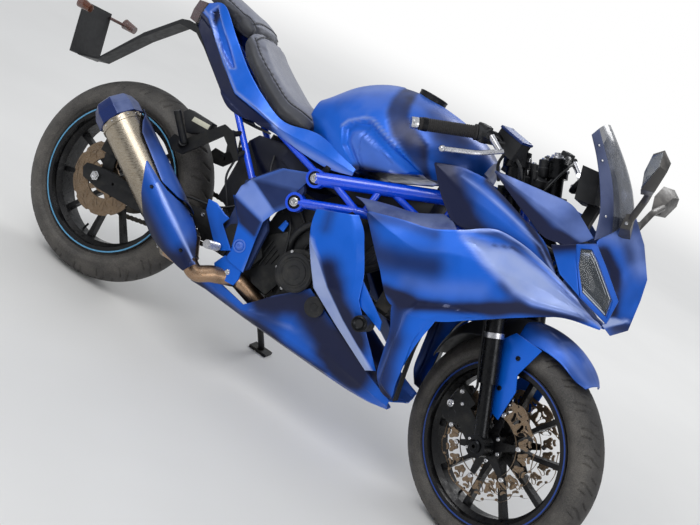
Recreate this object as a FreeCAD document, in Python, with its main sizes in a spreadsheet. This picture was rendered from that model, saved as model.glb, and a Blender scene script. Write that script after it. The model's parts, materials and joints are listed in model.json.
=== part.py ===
import FreeCAD, Part
import Sketcher
import math
import os

# Sport motorcycle with a tube trellis frame and a full fairing, parked on its side stand
# with the handlebar turned to the right stop.
#
# Every piece is drawn on the upright machine: x forward from the rear axle, y to the left,
# z up from the road. Then the machine is leaned on its stand and set down on its tyres,
# with the middle of its bounding box over the origin.

Vec = FreeCAD.Vector
Turn = FreeCAD.Rotation
Place = FreeCAD.Placement

# name, size in mm or degrees, what it is
SIZES = [
    ("wheelbase", 1410, "rear axle to front axle"),
    ("rear_radius", 312, "rear wheel with tyre"),
    ("rear_crown", 80, "half the rear tyre's width, and its crown's radius"),
    ("front_radius", 300, "front wheel with tyre"),
    ("front_crown", 60, "half the front tyre's width, and its crown's radius"),
    ("tyre_wall", 9, "thickness of a tyre"),
    ("bead_radius", 217, "where a tyre sits on its rim"),
    ("flange_radius", 228, "edge of a rim"),
    ("rear_rim_half", 62, "half the rear rim's width"),
    ("front_rim_half", 49, "half the front rim's width"),
    ("rim_wall", 8, "thickness of a rim's barrel"),
    ("hub_radius", 34, "wheel hub"),
    ("rear_hub_half", 74, "half the rear hub's length"),
    ("front_hub_half", 50, "half the front hub's length"),
    ("spoke_half", 7, "half a spoke's width, seen from the side"),
    ("spoke_depth", 26, "a spoke, across the wheel"),
    ("spoke_count", 10, "spokes in a wheel"),
    ("axle_radius", 10, "both axles"),
    ("axle_bore", 5, "radius of the hole through the front axle"),
    ("running_gap", 0.05, "shaft in its bore"),
    ("rotor_radius", 150, "front brake rotor"),
    ("rotor_inner", 88, "inside of a front rotor's ring"),
    ("rotor_thick", 5, "brake rotor"),
    ("rotor_offset", 59, "middle of the wheel to a front rotor"),
    ("rotor_lobes", 10, "scallops in a rotor's edge"),
    ("rear_rotor_radius", 115, "rear brake rotor"),
    ("rear_rotor_inner", 62, "inside of the rear rotor's ring"),
    ("rear_rotor_offset", 84, "middle of the wheel to the rear rotor"),
    ("sprocket_radius", 92, "rear sprocket"),
    ("sprocket_offset", 88, "middle of the wheel to the rear sprocket"),
    ("chain_gap", 6, "fixed chain to the sprocket that turns inside it"),
    ("rake", 24.3, "steering axis from the upright"),
    ("trail", 95, "steering axis at the road to the front tyre's contact"),
    ("steer_stop", 22.6, "steering turned from straight to a stop, each way"),
    ("leg_spread", 98, "middle plane to a fork leg"),
    ("leg_radius", 26, "upper tube of a fork leg"),
    ("slider_radius", 20, "lower tube of a fork leg"),
    ("leg_top", 790, "front axle to the top of a fork leg"),
    ("hose_radius", 3.6, "brake hose"),
    ("leg_bottom", 165, "front axle to the lower end of the upper tube"),
    ("foot_radius", 30, "clamp round the front axle"),
    ("head_radius", 30, "steering head tube"),
    ("head_bottom", 500, "front axle to the head tube's lower end, along the fork"),
    ("head_length", 150, "steering head tube"),
    ("stem_radius", 20, "steering stem"),
    ("bar_radius", 11, "handlebar"),
    ("grip_radius", 16.5, "handlebar grip"),
    ("chord_radius", 20, "upper frame tube"),
    ("tube_radius", 14, "lower frame tube"),
    ("brace_radius", 10, "thin frame tube"),
    ("pivot_x", 525, "rear axle to the swingarm pivot, forward"),
    ("pivot_z", 380, "road to the swingarm pivot"),
    ("arm_inner", 108, "middle plane to the inside of a swingarm leg"),
    ("arm_thick", 30, "a swingarm leg, across"),
    ("spool_radius", 4, "threaded hole for a paddock stand's spool"),
    ("engine_half", 112, "half the crankcase's width"),
    ("can_radius", 60, "silencer"),
    ("pipe_radius", 24, "exhaust pipe"),
    ("panel_wall", 4, "thickness of a fairing panel"),
    ("screen_wall", 3, "thickness of the windscreen"),
    ("lean", 11.5, "machine on its side stand, from the upright"),
    ("stand_radius", 10, "side stand leg"),
    ("stand_x", 548, "rear axle to the side stand's pivot, forward"),
    ("stand_y", 112, "middle plane to the side stand's pivot"),
    ("stand_z", 226, "road to the side stand's pivot"),
]


class Size(float):
    """A number that remembers the sheet's names that it comes from."""

    def __new__(cls, number, text):
        made = float.__new__(cls, number)
        made.text = text
        return made

    def __neg__(self):
        return Size(-float(self), f"(0 - {self.text})")

    def __add__(self, other):
        return combined(self, "+", other)

    def __radd__(self, other):
        return combined(other, "+", self)

    def __sub__(self, other):
        return combined(self, "-", other)

    def __rsub__(self, other):
        return combined(other, "-", self)

    def __mul__(self, other):
        return combined(self, "*", other)

    def __rmul__(self, other):
        return combined(other, "*", self)

    def __truediv__(self, other):
        return combined(self, "/", other)


def text_of(size):
    return size.text if isinstance(size, Size) else f"{float(size):.6f}"


def combined(a, sign, b):
    if not isinstance(a, (int, float)) or not isinstance(b, (int, float)):
        return NotImplemented
    x, y = float(a), float(b)
    number = {"+": x + y, "-": x - y, "*": x * y, "/": x / y if y else 0.0}[sign]
    return Size(number, f"({text_of(a)} {sign} {text_of(b)})")


doc = FreeCAD.newDocument("sport_motorcycle")
sheet = doc.addObject("Spreadsheet::Sheet", "Sizes")
for row, (alias, size, note) in enumerate(SIZES, 1):
    sheet.set(f"A{row}", alias)
    sheet.set(f"B{row}", str(size))
    sheet.set(f"C{row}", note)
    sheet.setAlias(f"B{row}", alias)
doc.recompute()


class Named:
    """The sheet's sizes as attributes."""


d = Named()
for alias, _, _ in SIZES:
    setattr(d, alias, Size(float(sheet.get(alias)), f"Sizes.{alias}"))

RIGHT, LEFT = -1, 1
SIDES = (RIGHT, LEFT)
ACROSS = Vec(0, 1, 0)
AHEAD = Vec(1, 0, 0)
UP = Vec(0, 0, 1)
DRAWN_WHEELBASE = 1410.0
STRETCH_FROM, STRETCH_TO = 600.0, 940.0


def along(x):
    """The middle stretches with the wheelbase, and what is ahead of it moves with the fork."""
    share = min(1.0, max(0.0, (x - STRETCH_FROM) / (STRETCH_TO - STRETCH_FROM)))
    return x + (float(d.wheelbase) - DRAWN_WHEELBASE) * share


def at(x, y, z):
    return Vec(along(x), y, z)


# The steering axis and the two axles.

rake = math.radians(d.rake)
STEER_UP = Vec(-math.sin(rake), 0, math.cos(rake))
STEER_AHEAD = Vec(math.cos(rake), 0, math.sin(rake))
STEER_FOOT = Vec(d.wheelbase + d.trail, 0, 0)
REAR_AXLE = Vec(0, 0, d.rear_radius)
FRONT_AXLE = Vec(d.wheelbase, 0, d.front_radius)
PIVOT = Vec(d.pivot_x, 0, d.pivot_z)
OFFSET = (FRONT_AXLE - STEER_FOOT).dot(STEER_AHEAD)


def on_fork(height, y=0.0, ahead=0.0):
    """A point by its height over the front axle along the fork, and how far ahead of the leg."""
    return FRONT_AXLE + STEER_UP * height + STEER_AHEAD * ahead + ACROSS * y


def on_stem(height, ahead=0.0, y=0.0):
    """The same, ahead of the steering axis."""
    return on_fork(height, y, ahead - OFFSET)


# Where the machine stands: leaned to its left, pitched so that both tyres meet the road.

steered = Place(Vec(0, 0, 0), Turn(STEER_UP, -float(d.steer_stop)), STEER_FOOT)


def lowest_of_tyre(turn, centre, axis, radius, crown):
    """Height of a tyre's lowest point once it is turned: a round crown on a round ring."""
    tilt = turn.multVec(axis).z
    ring = (radius - crown) * math.sqrt(1 - tilt * tilt)
    return turn.multVec(centre).z - ring - crown


def stance():
    """The lean, with the pitch at which the front tyre is as low as the rear one."""
    lean = Turn(AHEAD, -float(d.lean))
    front_centre = steered.multVec(FRONT_AXLE)
    front_axis = steered.Rotation.multVec(ACROSS)
    low, high = -8.0, 8.0
    for _ in range(50):
        pitch = (low + high) / 2
        turn = lean.multiply(Turn(ACROSS, pitch))
        rear = lowest_of_tyre(turn, REAR_AXLE, ACROSS, d.rear_radius, d.rear_crown)
        front = lowest_of_tyre(turn, front_centre, front_axis, d.front_radius, d.front_crown)
        if front > rear:
            low = pitch
        else:
            high = pitch
    return turn, float(rear)


stand_turn, drop = stance()
parked = Place(Vec(0, 0, -drop), stand_turn)
parked_steered = parked.multiply(steered)


# Shapes.

def facet(a, b, c):
    return Part.Face(Part.makePolygon([a, b, c, a]))


def solid_of(triangles, what):
    solid = Part.makeSolid(Part.makeShell([facet(*t) for t in triangles]))
    if solid.Volume < 0:
        solid.reverse()
    if not solid.isValid():
        print("not valid:", what)
    return solid


def is_flat(p, q, r):
    return (q - p).cross(r - p).Length < 1e-3


def between(row, following):
    """Triangles between two rows of points."""
    made = []
    for i in range(len(row) - 1):
        a, b, c, e = row[i], row[i + 1], following[i + 1], following[i]
        made += [t for t in ((a, b, c), (a, c, e)) if not is_flat(*t)]
    return made


def quads(rows):
    made = []
    for row, following in zip(rows, rows[1:]):
        made += between(row, following)
    return made


def key(p):
    return (round(p.x, 3), round(p.y, 3), round(p.z, 3))


def skin(triangles, inside, wall=None, what="skin"):
    """A thin wall on triangles, laid on the side where inside(point) points."""
    wall = d.panel_wall if wall is None else wall
    turned = []
    for a, b, c in triangles:
        way = (b - a).cross(c - a)
        middle = (a + b + c) * (1 / 3)
        turned.append((a, b, c) if way.dot(inside(middle)) < 0 else (a, c, b))
    ways, points, edges = {}, {}, {}
    for t in turned:
        area = (t[1] - t[0]).cross(t[2] - t[0]).normalize()
        for i, p in enumerate(t):
            points[key(p)] = p
            u, v = t[(i + 1) % 3] - p, t[(i + 2) % 3] - p
            ways[key(p)] = ways.get(key(p), Vec(0, 0, 0)) + area * u.getAngle(v)
            pair = (key(p), key(t[(i + 1) % 3]))
            edges[pair] = edges.get(pair, 0) + 1
    under = {k: points[k] - ways[k].normalize() * float(wall) for k in points}
    closed = list(turned)
    closed += [(under[key(c)], under[key(b)], under[key(a)]) for a, b, c in turned]
    for a, b in edges:
        if (b, a) not in edges:
            closed += [(points[b], points[a], under[a]), (points[b], under[a], under[b])]
    return solid_of(closed, what)


def body_of(rings, what="body"):
    """A closed body through rings of points, with a face over each end."""
    made = []
    for ring, following in zip(rings, rings[1:]):
        made += between(ring + ring[:1], following + following[:1])
    for ring in (rings[0], rings[-1]):
        middle = Vec(0, 0, 0)
        for p in ring:
            middle += p
        middle = middle * (1.0 / len(ring))
        for i in range(len(ring)):
            corner = (ring[i], ring[(i + 1) % len(ring)], middle)
            if not is_flat(*corner):
                made.append(corner)
    return solid_of(made, what)


def ring_at(x, half_profile):
    """A ring across the machine from (half width, height) pairs, bottom to top."""
    right = [at(x, -w, z) for w, z in half_profile]
    left = [at(x, w, z) for w, z in reversed(half_profile) if w > 0]
    return right + left


def prism(points, depth):
    """A flat outline pushed along a vector."""
    return Part.Face(Part.makePolygon(points + points[:1])).extrude(depth)


def plate(outline, y, thick):
    """An upright plate from (x, z) points, its near side at y, thick toward the outside."""
    side = -1 if y < 0 else 1
    return prism([at(x, y, z) for x, z in outline], ACROSS * side * thick)


def rod(start, end, radius):
    return Part.makeCylinder(radius, (end - start).Length, start, end - start)


def box(x, y, z):
    """A box from three (low, high) pairs."""
    low = at(x[0], y[0], z[0])
    high = at(x[1], y[1], z[1])
    return Part.makeBox(high.x - low.x, high.y - low.y, high.z - low.z, low)


def path_of(points, bend):
    edges = []
    last = points[0]
    for i in range(1, len(points) - 1):
        here = points[i]
        back = (points[i - 1] - here).normalize()
        on = (points[i + 1] - here).normalize()
        half = back.getAngle(on) / 2
        cut = bend / math.tan(half)
        begin, finish = here + back * cut, here + on * cut
        middle = here + (back + on).normalize() * (bend / math.sin(half) - bend)
        edges.append(Part.LineSegment(last, begin).toShape())
        edges.append(Part.Arc(begin, middle, finish).toShape())
        last = finish
    edges.append(Part.LineSegment(last, points[-1]).toShape())
    return Part.Wire(edges)


def bent_pipe(points, radius, bend, wall=None):
    """A round pipe with an arc of radius bend at each inner point, hollow where it has a wall."""
    path = path_of(points, bend)
    solids = []
    for r in ([radius] if wall is None else [radius, radius - wall]):
        ring = Part.Wire(Part.makeCircle(r, points[0], points[1] - points[0]))
        solids.append(path.makePipeShell([ring], True, False))
    return solids[0] if wall is None else solids[0].cut(solids[1])


def fused(shapes):
    return shapes[0].multiFuse(shapes[1:]).removeSplitter() if len(shapes) > 1 else shapes[0]


def mirrored(shape):
    return shape.mirror(Vec(0, 0, 0), ACROSS)


def both(shape, *others):
    """The shape and its mirror image, each without what the others fill."""
    return Part.makeCompound([less(shape, *others), less(mirrored(shape), *others)])


def less(shape, *others):
    """The shape without what other shapes, or sub-parts by name, fill."""
    for other in others:
        other = DRAWN[other] if isinstance(other, str) else other
        if shape.BoundBox.intersect(other.BoundBox):
            shape = shape.cut(other)
    return shape


PIECES = []
DRAWN = {}
FIXED, TURNED = "with the frame", "with the handlebar"


def piece(label, made, side=FIXED):
    """Keeps a sub-part, a shape or an object of the document, and its upright shape in DRAWN."""
    place = parked if side == FIXED else parked_steered
    if isinstance(made, Part.Shape):
        feature = doc.addObject("Part::Feature", label)
        feature.Shape = made
        DRAWN[label] = made
        feature.Placement = place.multiply(made.Placement)
    else:
        feature = made
        doc.recompute()
        DRAWN[label] = made.Shape.copy()
        feature.Placement = place.multiply(feature.Placement)
    feature.Label = label
    PIECES.append(feature)
    return feature


def cylinder(name, radius, length, base, way):
    """A cylinder of the document, its radius and length bound to the sheet."""
    made = doc.addObject("Part::Cylinder", name)
    made.setExpression("Radius", text_of(radius))
    made.setExpression("Height", text_of(length))
    made.Placement = Place(base, Turn(UP, way))
    return made


def tube(name, radius, start, end):
    return cylinder(name, radius, (end - start).Length, start, end - start)


def cut_from(name, base, tool):
    made = doc.addObject("Part::Cut", name)
    made.Base, made.Tool = base, tool
    return made


def joined(name, members):
    made = doc.addObject("Part::MultiFuse", name)
    made.Shapes = members
    return made


def shaped(name, shape):
    made = doc.addObject("Part::Feature", name)
    made.Shape = shape
    return made


def pair_of(name, one):
    """The object and its mirror image across the machine's middle plane."""
    other = mirror_of(name + "_mirror", one)
    group = doc.addObject("Part::Compound", name)
    group.Links = [one, other]
    return group


def mirror_of(name, one):
    made = doc.addObject("Part::Mirroring", name)
    made.Source = one
    made.Normal = ACROSS
    return made


# Turned and cut bodies: an outline whose corners are bound to the sheet.

class Turned:
    """A body of the document about its own y axis, which is an axle's direction."""

    def __init__(self, name, centre):
        self.body = doc.addObject("PartDesign::Body", name)
        self.body.Placement = Place(centre, Turn())
        self.name, self.count = name, 0

    def origin(self, role):
        return [f for f in self.body.Origin.OriginFeatures if f.Role == role][0]

    def sketch(self, role):
        self.count += 1
        made = self.body.newObject("Sketcher::SketchObject", f"{self.name}_outline{self.count}")
        made.AttachmentSupport = (self.origin(role), [""])
        made.MapMode = "FlatFace"
        return made

    def outline(self, role, corners, arcs=None):
        """A closed outline. arcs gives, for a corner's number, the radius of the next edge."""
        made, arcs = self.sketch(role), arcs or {}
        flat = [Vec(float(x), float(y), 0) for x, y in corners]
        for i, start in enumerate(flat):
            end = flat[(i + 1) % len(flat)]
            if i in arcs:
                made.addGeometry(arc_between(start, end, float(arcs[i])), False)
            else:
                made.addGeometry(Part.LineSegment(start, end), False)
        for i in range(len(flat)):
            after = (i + 1) % len(flat)
            first = 1 if i not in arcs or arcs[i] > 0 else 2
            last = 2 if first == 1 else 1
            following = 1 if after not in arcs or arcs[after] > 0 else 2
            made.addConstraint(Sketcher.Constraint("Coincident", i, last, after, following))
            for kind, size in zip(("DistanceX", "DistanceY"), corners[i]):
                self.bind(made, Sketcher.Constraint(kind, -1, 1, i, first, float(size)), size)
        for i, size in arcs.items():
            radius = abs(float(size))
            bound = size if size > 0 else -size
            self.bind(made, Sketcher.Constraint("Radius", i, radius), bound)
        return made

    def bind(self, made, constraint, size):
        number = made.addConstraint(constraint)
        if isinstance(size, Size):
            made.setExpression(f"Constraints[{number}]", size.text)

    def circles(self, role, rounds):
        """Circles of (x, y, radius)."""
        made = self.sketch(role)
        for i, (x, y, radius) in enumerate(rounds):
            made.addGeometry(Part.Circle(Vec(float(x), float(y), 0), UP, float(radius)), False)
            self.bind(made, Sketcher.Constraint("DistanceX", -1, 1, i, 3, float(x)), x)
            self.bind(made, Sketcher.Constraint("DistanceY", -1, 1, i, 3, float(y)), y)
            self.bind(made, Sketcher.Constraint("Radius", i, float(radius)), radius)
        return made

    def feature(self, kind, profile):
        self.count += 1
        made = self.body.newObject(kind, f"{self.name}_step{self.count}")
        made.Profile = profile
        return made

    def revolved(self, corners, arcs=None):
        """Turns an outline of (radius, y) about the axle."""
        profile = self.outline("XY_Plane", corners, arcs)
        made = self.feature("PartDesign::Revolution", profile)
        made.ReferenceAxis = (profile, ["V_Axis"])
        made.Angle = 360
        doc.recompute()
        return made

    def padded(self, profile, thick):
        """Pads an outline of the wheel's plane, half to each side."""
        made = self.feature("PartDesign::Pad", profile)
        made.setExpression("Length", text_of(thick))
        made.Midplane = True
        doc.recompute()
        return made

    def pocketed(self, profile):
        made = self.feature("PartDesign::Pocket", profile)
        made.Type = 1
        made.Midplane = True
        doc.recompute()
        return made

    def repeated(self, step, times):
        self.count += 1
        made = self.body.newObject("PartDesign::PolarPattern", f"{self.name}_round{self.count}")
        made.Originals = [step]
        made.Axis = (self.origin("Y_Axis"), [""])
        made.Angle = 360
        made.setExpression("Occurrences", text_of(times))
        doc.recompute()
        self.body.Tip = made
        return made


def arc_between(start, end, radius):
    """An arc that bulges to the right of the way from start to end, or to the left if negative."""
    half = (end - start) * 0.5
    side = Vec(half.y, -half.x, 0).normalize() * (1 if radius > 0 else -1)
    radius = abs(radius)
    depth = radius - math.sqrt(max(radius * radius - half.Length ** 2, 0))
    return Part.Arc(start, start + half + side * depth, end)


# Wheels. A tyre is a hollow ring with a round crown, and its beads sit against the rim's edges.

REACH = math.radians(72)


def tyre(name, centre, radius, crown, rim_half):
    made = Turned(name, centre)
    ring, hollow = radius - crown, crown - d.tyre_wall
    side = rim_half - d.rim_wall
    outer = (ring + crown * math.cos(REACH), crown * math.sin(REACH))
    inner = (ring + hollow * math.cos(REACH), hollow * math.sin(REACH))
    half = [outer, (d.flange_radius + 2, side), (d.bead_radius, side),
            (d.bead_radius, side - d.tyre_wall - 3), inner]
    corners = half + [(r, -y) for r, y in reversed(half)]
    made.revolved(corners, {4: -hollow, 9: crown})
    return made.body


def rim(name, centre, rim_half, hub_half):
    made = Turned(name, centre)
    made.revolved([(d.axle_radius + d.running_gap, -hub_half), (d.hub_radius, -hub_half),
                   (d.hub_radius, hub_half), (d.axle_radius + d.running_gap, hub_half)])
    wide, seat, wall = d.spoke_half, d.bead_radius, d.rim_wall
    foot, tip = d.hub_radius - 6, seat - 17
    spoke = made.outline("XZ_Plane", [
        (-wide * 1.6, foot), (wide * 1.6, foot), (wide * 0.8, tip * 0.55), (wide * 1.1, tip),
        (-wide * 1.1, tip), (-wide * 0.8, tip * 0.55)])
    made.repeated(made.padded(spoke, d.spoke_depth), d.spoke_count)
    inside = rim_half - wall
    half = [(d.flange_radius, rim_half), (d.flange_radius, inside), (seat, inside),
            (seat, inside * 0.6), (seat - 14, inside * 0.4)]
    under = [(seat - 14 - wall, inside * 0.45), (seat - wall, inside * 0.7), (seat - wall, rim_half)]
    corners = (half + [(r, -y) for r, y in reversed(half)]
               + [(r, -y) for r, y in reversed(under)] + under)
    made.revolved(corners)
    made.body.Tip = made.body.Group[-1]
    return made.body


def rotor(name, centre, offset, radius, inner, bite):
    """A flat ring with a scalloped edge, its middle plane at offset from the wheel's."""
    made = Turned(name, centre + ACROSS * offset)
    made.padded(made.circles("XZ_Plane", [(0, 0, radius), (0, 0, inner)]), d.rotor_thick)
    scallop = made.pocketed(made.circles("XZ_Plane", [(0, radius + bite * 0.6, bite)]))
    made.repeated(scallop, d.rotor_lobes)
    return made.body


def carrier(name, centre, offset, inner, hub_half, arms):
    """A star from the hub's end out to the rotor, with a boss on the hub."""
    made = Turned(name, centre + ACROSS * offset)
    bore = d.axle_radius + d.running_gap
    made.padded(made.circles("XZ_Plane", [(0, 0, d.hub_radius + 12), (0, 0, bore)]), d.rotor_thick)
    arm = made.outline("XZ_Plane", [(-13, d.hub_radius), (13, d.hub_radius), (8, inner - 0.6),
                                    (-8, inner - 0.6)])
    made.repeated(made.padded(arm, d.rotor_thick), arms)
    side = 1 if offset > 0 else -1
    near, face = (hub_half - abs(offset)) * side, -d.rotor_thick / 2 * side
    made.revolved([(bore, near), (d.hub_radius, near), (d.hub_radius, face), (bore, face)])
    made.body.Tip = made.body.Group[-1]
    return made.body


def wheels():
    piece("rear_tyre", tyre("rear_tyre", REAR_AXLE, d.rear_radius, d.rear_crown, d.rear_rim_half))
    piece("rear_rim", rim("rear_rim", REAR_AXLE, d.rear_rim_half, d.rear_hub_half))
    disc = rotor("rear_rotor_ring", REAR_AXLE, -d.rear_rotor_offset, d.rear_rotor_radius,
                 d.rear_rotor_inner, 12)
    star = carrier("rear_rotor_star", REAR_AXLE, -d.rear_rotor_offset, d.rear_rotor_inner,
                   d.rear_hub_half, 5)
    group = doc.addObject("Part::Compound", "rear_rotor")
    group.Links = [disc, star]
    piece("rear_rotor", group)
    made = Turned("rear_sprocket", REAR_AXLE + ACROSS * d.sprocket_offset)
    bore = d.axle_radius + d.running_gap
    made.padded(made.circles("XZ_Plane", [(0, 0, d.sprocket_radius), (0, 0, bore)]), 6)
    window = made.pocketed(made.circles("XZ_Plane", [(0, d.sprocket_radius * 0.66, 15)]))
    made.repeated(window, 6)
    near = d.rear_hub_half - d.sprocket_offset
    made.revolved([(bore, near), (d.hub_radius + 8, near), (d.hub_radius + 8, -3), (bore, -3)])
    made.body.Tip = made.body.Group[-1]
    piece("rear_sprocket", made.body)
    piece("front_tyre", tyre("front_tyre", FRONT_AXLE, d.front_radius, d.front_crown,
                             d.front_rim_half), TURNED)
    piece("front_rim", rim("front_rim", FRONT_AXLE, d.front_rim_half, d.front_hub_half), TURNED)
    discs, stars = [], []
    for side, word in ((RIGHT, "right"), (LEFT, "left")):
        discs.append(rotor(f"front_rotor_{word}", FRONT_AXLE, side * (d.rotor_offset + 2.5),
                           d.rotor_radius, d.rotor_inner, 15))
        stars.append(carrier(f"carrier_{word}", FRONT_AXLE, side * (d.rotor_offset + 2.5),
                             d.rotor_inner, d.front_hub_half, 6))
    for name, members in (("front_rotors", discs), ("rotor_carriers", stars)):
        group = doc.addObject("Part::Compound", name)
        group.Links = members
        piece(name, group, TURNED)


# Front fork, handlebars and what turns with them.

FOOT_NEAR, FOOT_FAR = 74, 122
GRIP_START, BAR_END = (1033, 225, 1013), (941, 345, 971)


def fork():
    axle = cylinder("front_axle", d.axle_radius, 2 * d.leg_spread + 60,
                    FRONT_AXLE - ACROSS * (d.leg_spread + 30), ACROSS)
    members = [axle]
    for side, word in ((RIGHT, "right"), (LEFT, "left")):
        y = side * d.leg_spread
        members.append(tube(f"leg_{word}", d.leg_radius, on_fork(d.leg_bottom, y),
                            on_fork(d.leg_top, y)))
        members.append(tube(f"slider_{word}", d.slider_radius, on_fork(0, y),
                            on_fork(d.leg_bottom + 5, y)))
        members.append(cylinder(f"foot_{word}", d.foot_radius, 44, FRONT_AXLE + ACROSS * (y - 22),
                                ACROSS))
    bore = cylinder("axle_hole", d.axle_bore, 400, FRONT_AXLE - ACROSS * 200, ACROSS)
    piece("fork_legs", cut_from("fork_legs", joined("fork_solid", members), bore), TURNED)


def yokes():
    """Two plates that hold the legs, and the stem between them."""
    parts = []
    for low, high in ((462, 492), (658, 684)):
        outline = [(30, -128), (30, -70), (24, 0), (30, 70), (30, 128), (-30, 128), (-32, 60),
                   (-OFFSET - 36, 34), (-OFFSET - 36, -34), (-32, -60), (-30, -128)]
        flat = [on_fork(low, y, x) for x, y in outline]
        parts.append(prism(flat, STEER_UP * (high - low)))
    parts.append(rod(on_stem(462), on_stem(684), d.stem_radius))
    parts.append(rod(on_stem(683), on_stem(694), 17))
    legs = [rod(on_fork(400, s * d.leg_spread), on_fork(800, s * d.leg_spread), d.leg_radius)
            for s in SIDES]
    piece("fork_yokes", fused(parts).cut(legs), TURNED)


def handlebars():
    parts = []
    for side in SIDES:
        y = side * d.leg_spread
        clamp = rod(on_fork(735, y), on_fork(775, y), 36)
        start = on_fork(757, side * (d.leg_spread + 30), 4)
        end = at(BAR_END[0], side * BAR_END[1], BAR_END[2])
        grip = at(GRIP_START[0], side * GRIP_START[1], GRIP_START[2])
        inner = grip + (grip - end).normalize() * 52
        bar = bent_pipe([start, inner, end], d.bar_radius, 40)
        solid = fused([clamp, bar, Part.makeSphere(d.bar_radius, start)])
        leg = rod(on_fork(700, y), on_fork(800, y), d.leg_radius)
        parts.append(solid.cut(leg))
    piece("handlebars", Part.makeCompound(parts), TURNED)
    rubber, ends = [], []
    for side in SIDES:
        start = at(GRIP_START[0], side * GRIP_START[1], GRIP_START[2])
        tip = at(BAR_END[0], side * BAR_END[1], BAR_END[2])
        way = (tip - start).normalize()
        hole = rod(start - way * 9, tip + way * 9, d.bar_radius)
        rubber.append(rod(start, tip - way * 4, d.grip_radius).cut(hole))
        ends.append(rod(tip, tip + way * 16, 15))
    piece("grips", Part.makeCompound(rubber), TURNED)
    return ends


def controls(bar_ends):
    boxes, levers = [], []
    for side in SIDES:
        start = at(GRIP_START[0], side * GRIP_START[1], GRIP_START[2])
        way = (start - at(BAR_END[0], side * BAR_END[1], BAR_END[2])).normalize()
        hole = rod(start - way * 20, start + way * 60, d.bar_radius)
        housing = rod(start + way * 1, start + way * 34, 21)
        front = STEER_AHEAD
        block = Part.makeCylinder(13, 30, start + way * 8 + front * 2, front + UP * -0.2)
        boxes.append(fused([housing, block]).cut(hole))
        perch = start + way * 16 + front * 33 + UP * -8
        pivot = at(1105, side * 205, 998)
        tip = at(1036, side * 330, 947)
        mid = at(1092, side * 262, 974)
        blade = bent_pipe([pivot + way * 12, mid, tip], 6.5, 60)
        arm = rod(perch - front * 2, pivot + front * 4 + UP, 8.5)
        levers.append(less(fused([blade, arm, Part.makeSphere(9, tip + way)]), housing, block))
    cup = Part.makeBox(80, 44, 52, Vec(0, 0, 0))
    cup.rotate(Vec(0, 0, 0), ACROSS, 8)
    cup.translate(at(1052, -172, 1000))
    boxes = [less(b, "handlebars") for b in boxes + [cup]]
    piece("switchgear", Part.makeCompound(boxes), TURNED)
    levers = [less(v, "handlebars") for v in levers]
    piece("levers", Part.makeCompound(levers + bar_ends), TURNED)


CALIPER = (1292, 338)


def front_calipers():
    parts = []
    for side in SIDES:
        middle = side * (d.rotor_offset + 2.5)
        x, z = CALIPER
        away = math.atan2(z - FRONT_AXLE.z, along(x) - FRONT_AXLE.x)
        body = Part.makeBox(62, 46, 104, Vec(-26, -20 if side > 0 else -26, -52))
        slot = Part.makeBox(90, 11, 130, Vec(-62, -5.5, -65))
        body = body.cut(slot)
        body.rotate(Vec(0, 0, 0), ACROSS, -math.degrees(away))
        body.translate(Vec(along(x), middle, z))
        bracket = plate([(1300, 310), (1300, 372), (1392, 330), (1404, 280), (1392, 268)],
                        side * 78, 10)
        foot = rod(FRONT_AXLE + ACROSS * side * 60, FRONT_AXLE + ACROSS * side * 140, d.foot_radius)
        slider = rod(on_fork(0, side * d.leg_spread), on_fork(170, side * d.leg_spread),
                     d.slider_radius)
        blocks = fused([body, less(bracket, body)])
        parts.append(less(blocks, foot, slider))
    piece("front_calipers", Part.makeCompound(parts), TURNED)


def brake_hoses():
    """A hose from each caliper up the back of its leg to the lower yoke."""
    made = []
    for side in SIDES:
        y = side * d.leg_spread
        ahead = -float(d.leg_radius) - 9
        route = [at(1300, side * (d.rotor_offset + 12), 378), on_fork(150, y * 0.9, -38),
                 on_fork(214, y, ahead), on_fork(436, y, ahead), on_fork(470, y * 0.9, -22)]
        hose = less(bent_pipe(route, d.hose_radius, 24), "front_calipers", "fork_yokes",
                    "fork_legs")
        made.append(sorted(hose.Solids, key=lambda solid: solid.Volume)[-1])
    piece("brake_hoses", Part.makeCompound(made), TURNED)


FENDER = [  # degrees round the axle from straight ahead, then (radius, y) from the middle out
    (162, [(322, 0), (318, 30), (306, 48)]),
    (150, [(334, 0), (330, 36), (312, 60)]),
    (138, [(340, 0), (336, 40), (308, 69)]),
    (124, [(344, 0), (340, 40), (290, 70)]),
    (108, [(346, 0), (342, 40), (292, 70)]),
    (92, [(346, 0), (342, 40), (302, 70)]),
    (78, [(342, 0), (338, 38), (310, 66)]),
    (66, [(334, 0), (330, 30), (312, 56)]),
    (62, [(330, 0), (326, 20), (314, 34)]),
]
FENDER_PLATE = [(1300, 560), (1330, 600), (1420, 602), (1392, 510), (1412, 470), (1406, 378),
                (1345, 392), (1312, 440), (1336, 472)]


def fender():
    rows = []
    for angle, half in FENDER:
        a = math.radians(angle)
        way = Vec(math.cos(a), 0, math.sin(a))
        points = [FRONT_AXLE + way * r + ACROSS * y for r, y in half]
        right = [Vec(p.x, -p.y, p.z) for p in points[1:]]
        rows.append(list(reversed(right)) + points)
    shell = skin(quads(rows), lambda p: FRONT_AXLE - Vec(p.x, 0, p.z), what="fender")
    cheeks = [plate(FENDER_PLATE, side * 70, 4) for side in SIDES]
    legs = [rod(on_fork(0, side * d.leg_spread), on_fork(500, side * d.leg_spread), 27)
            for side in SIDES]
    piece("front_fender", less(fused([shell] + cheeks), *legs), TURNED)


# Frame: a steering head, an upper and a lower tube each side with braces, and the rear frame.

HEAD_LOW, HEAD_HIGH = on_stem(d.head_bottom), on_stem(d.head_bottom + d.head_length)
UPPER_BOSS, LOWER_BOSS = at(623, 165, 655), at(603, 160, 569)
HEAD_UPPER, HEAD_LOWER = at(1117, 41, 862), at(1150, 41, 772)
LOWER_KNEE = at(765, 150, 634)


def between_points(a, b, share):
    return a + (b - a) * share


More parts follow.
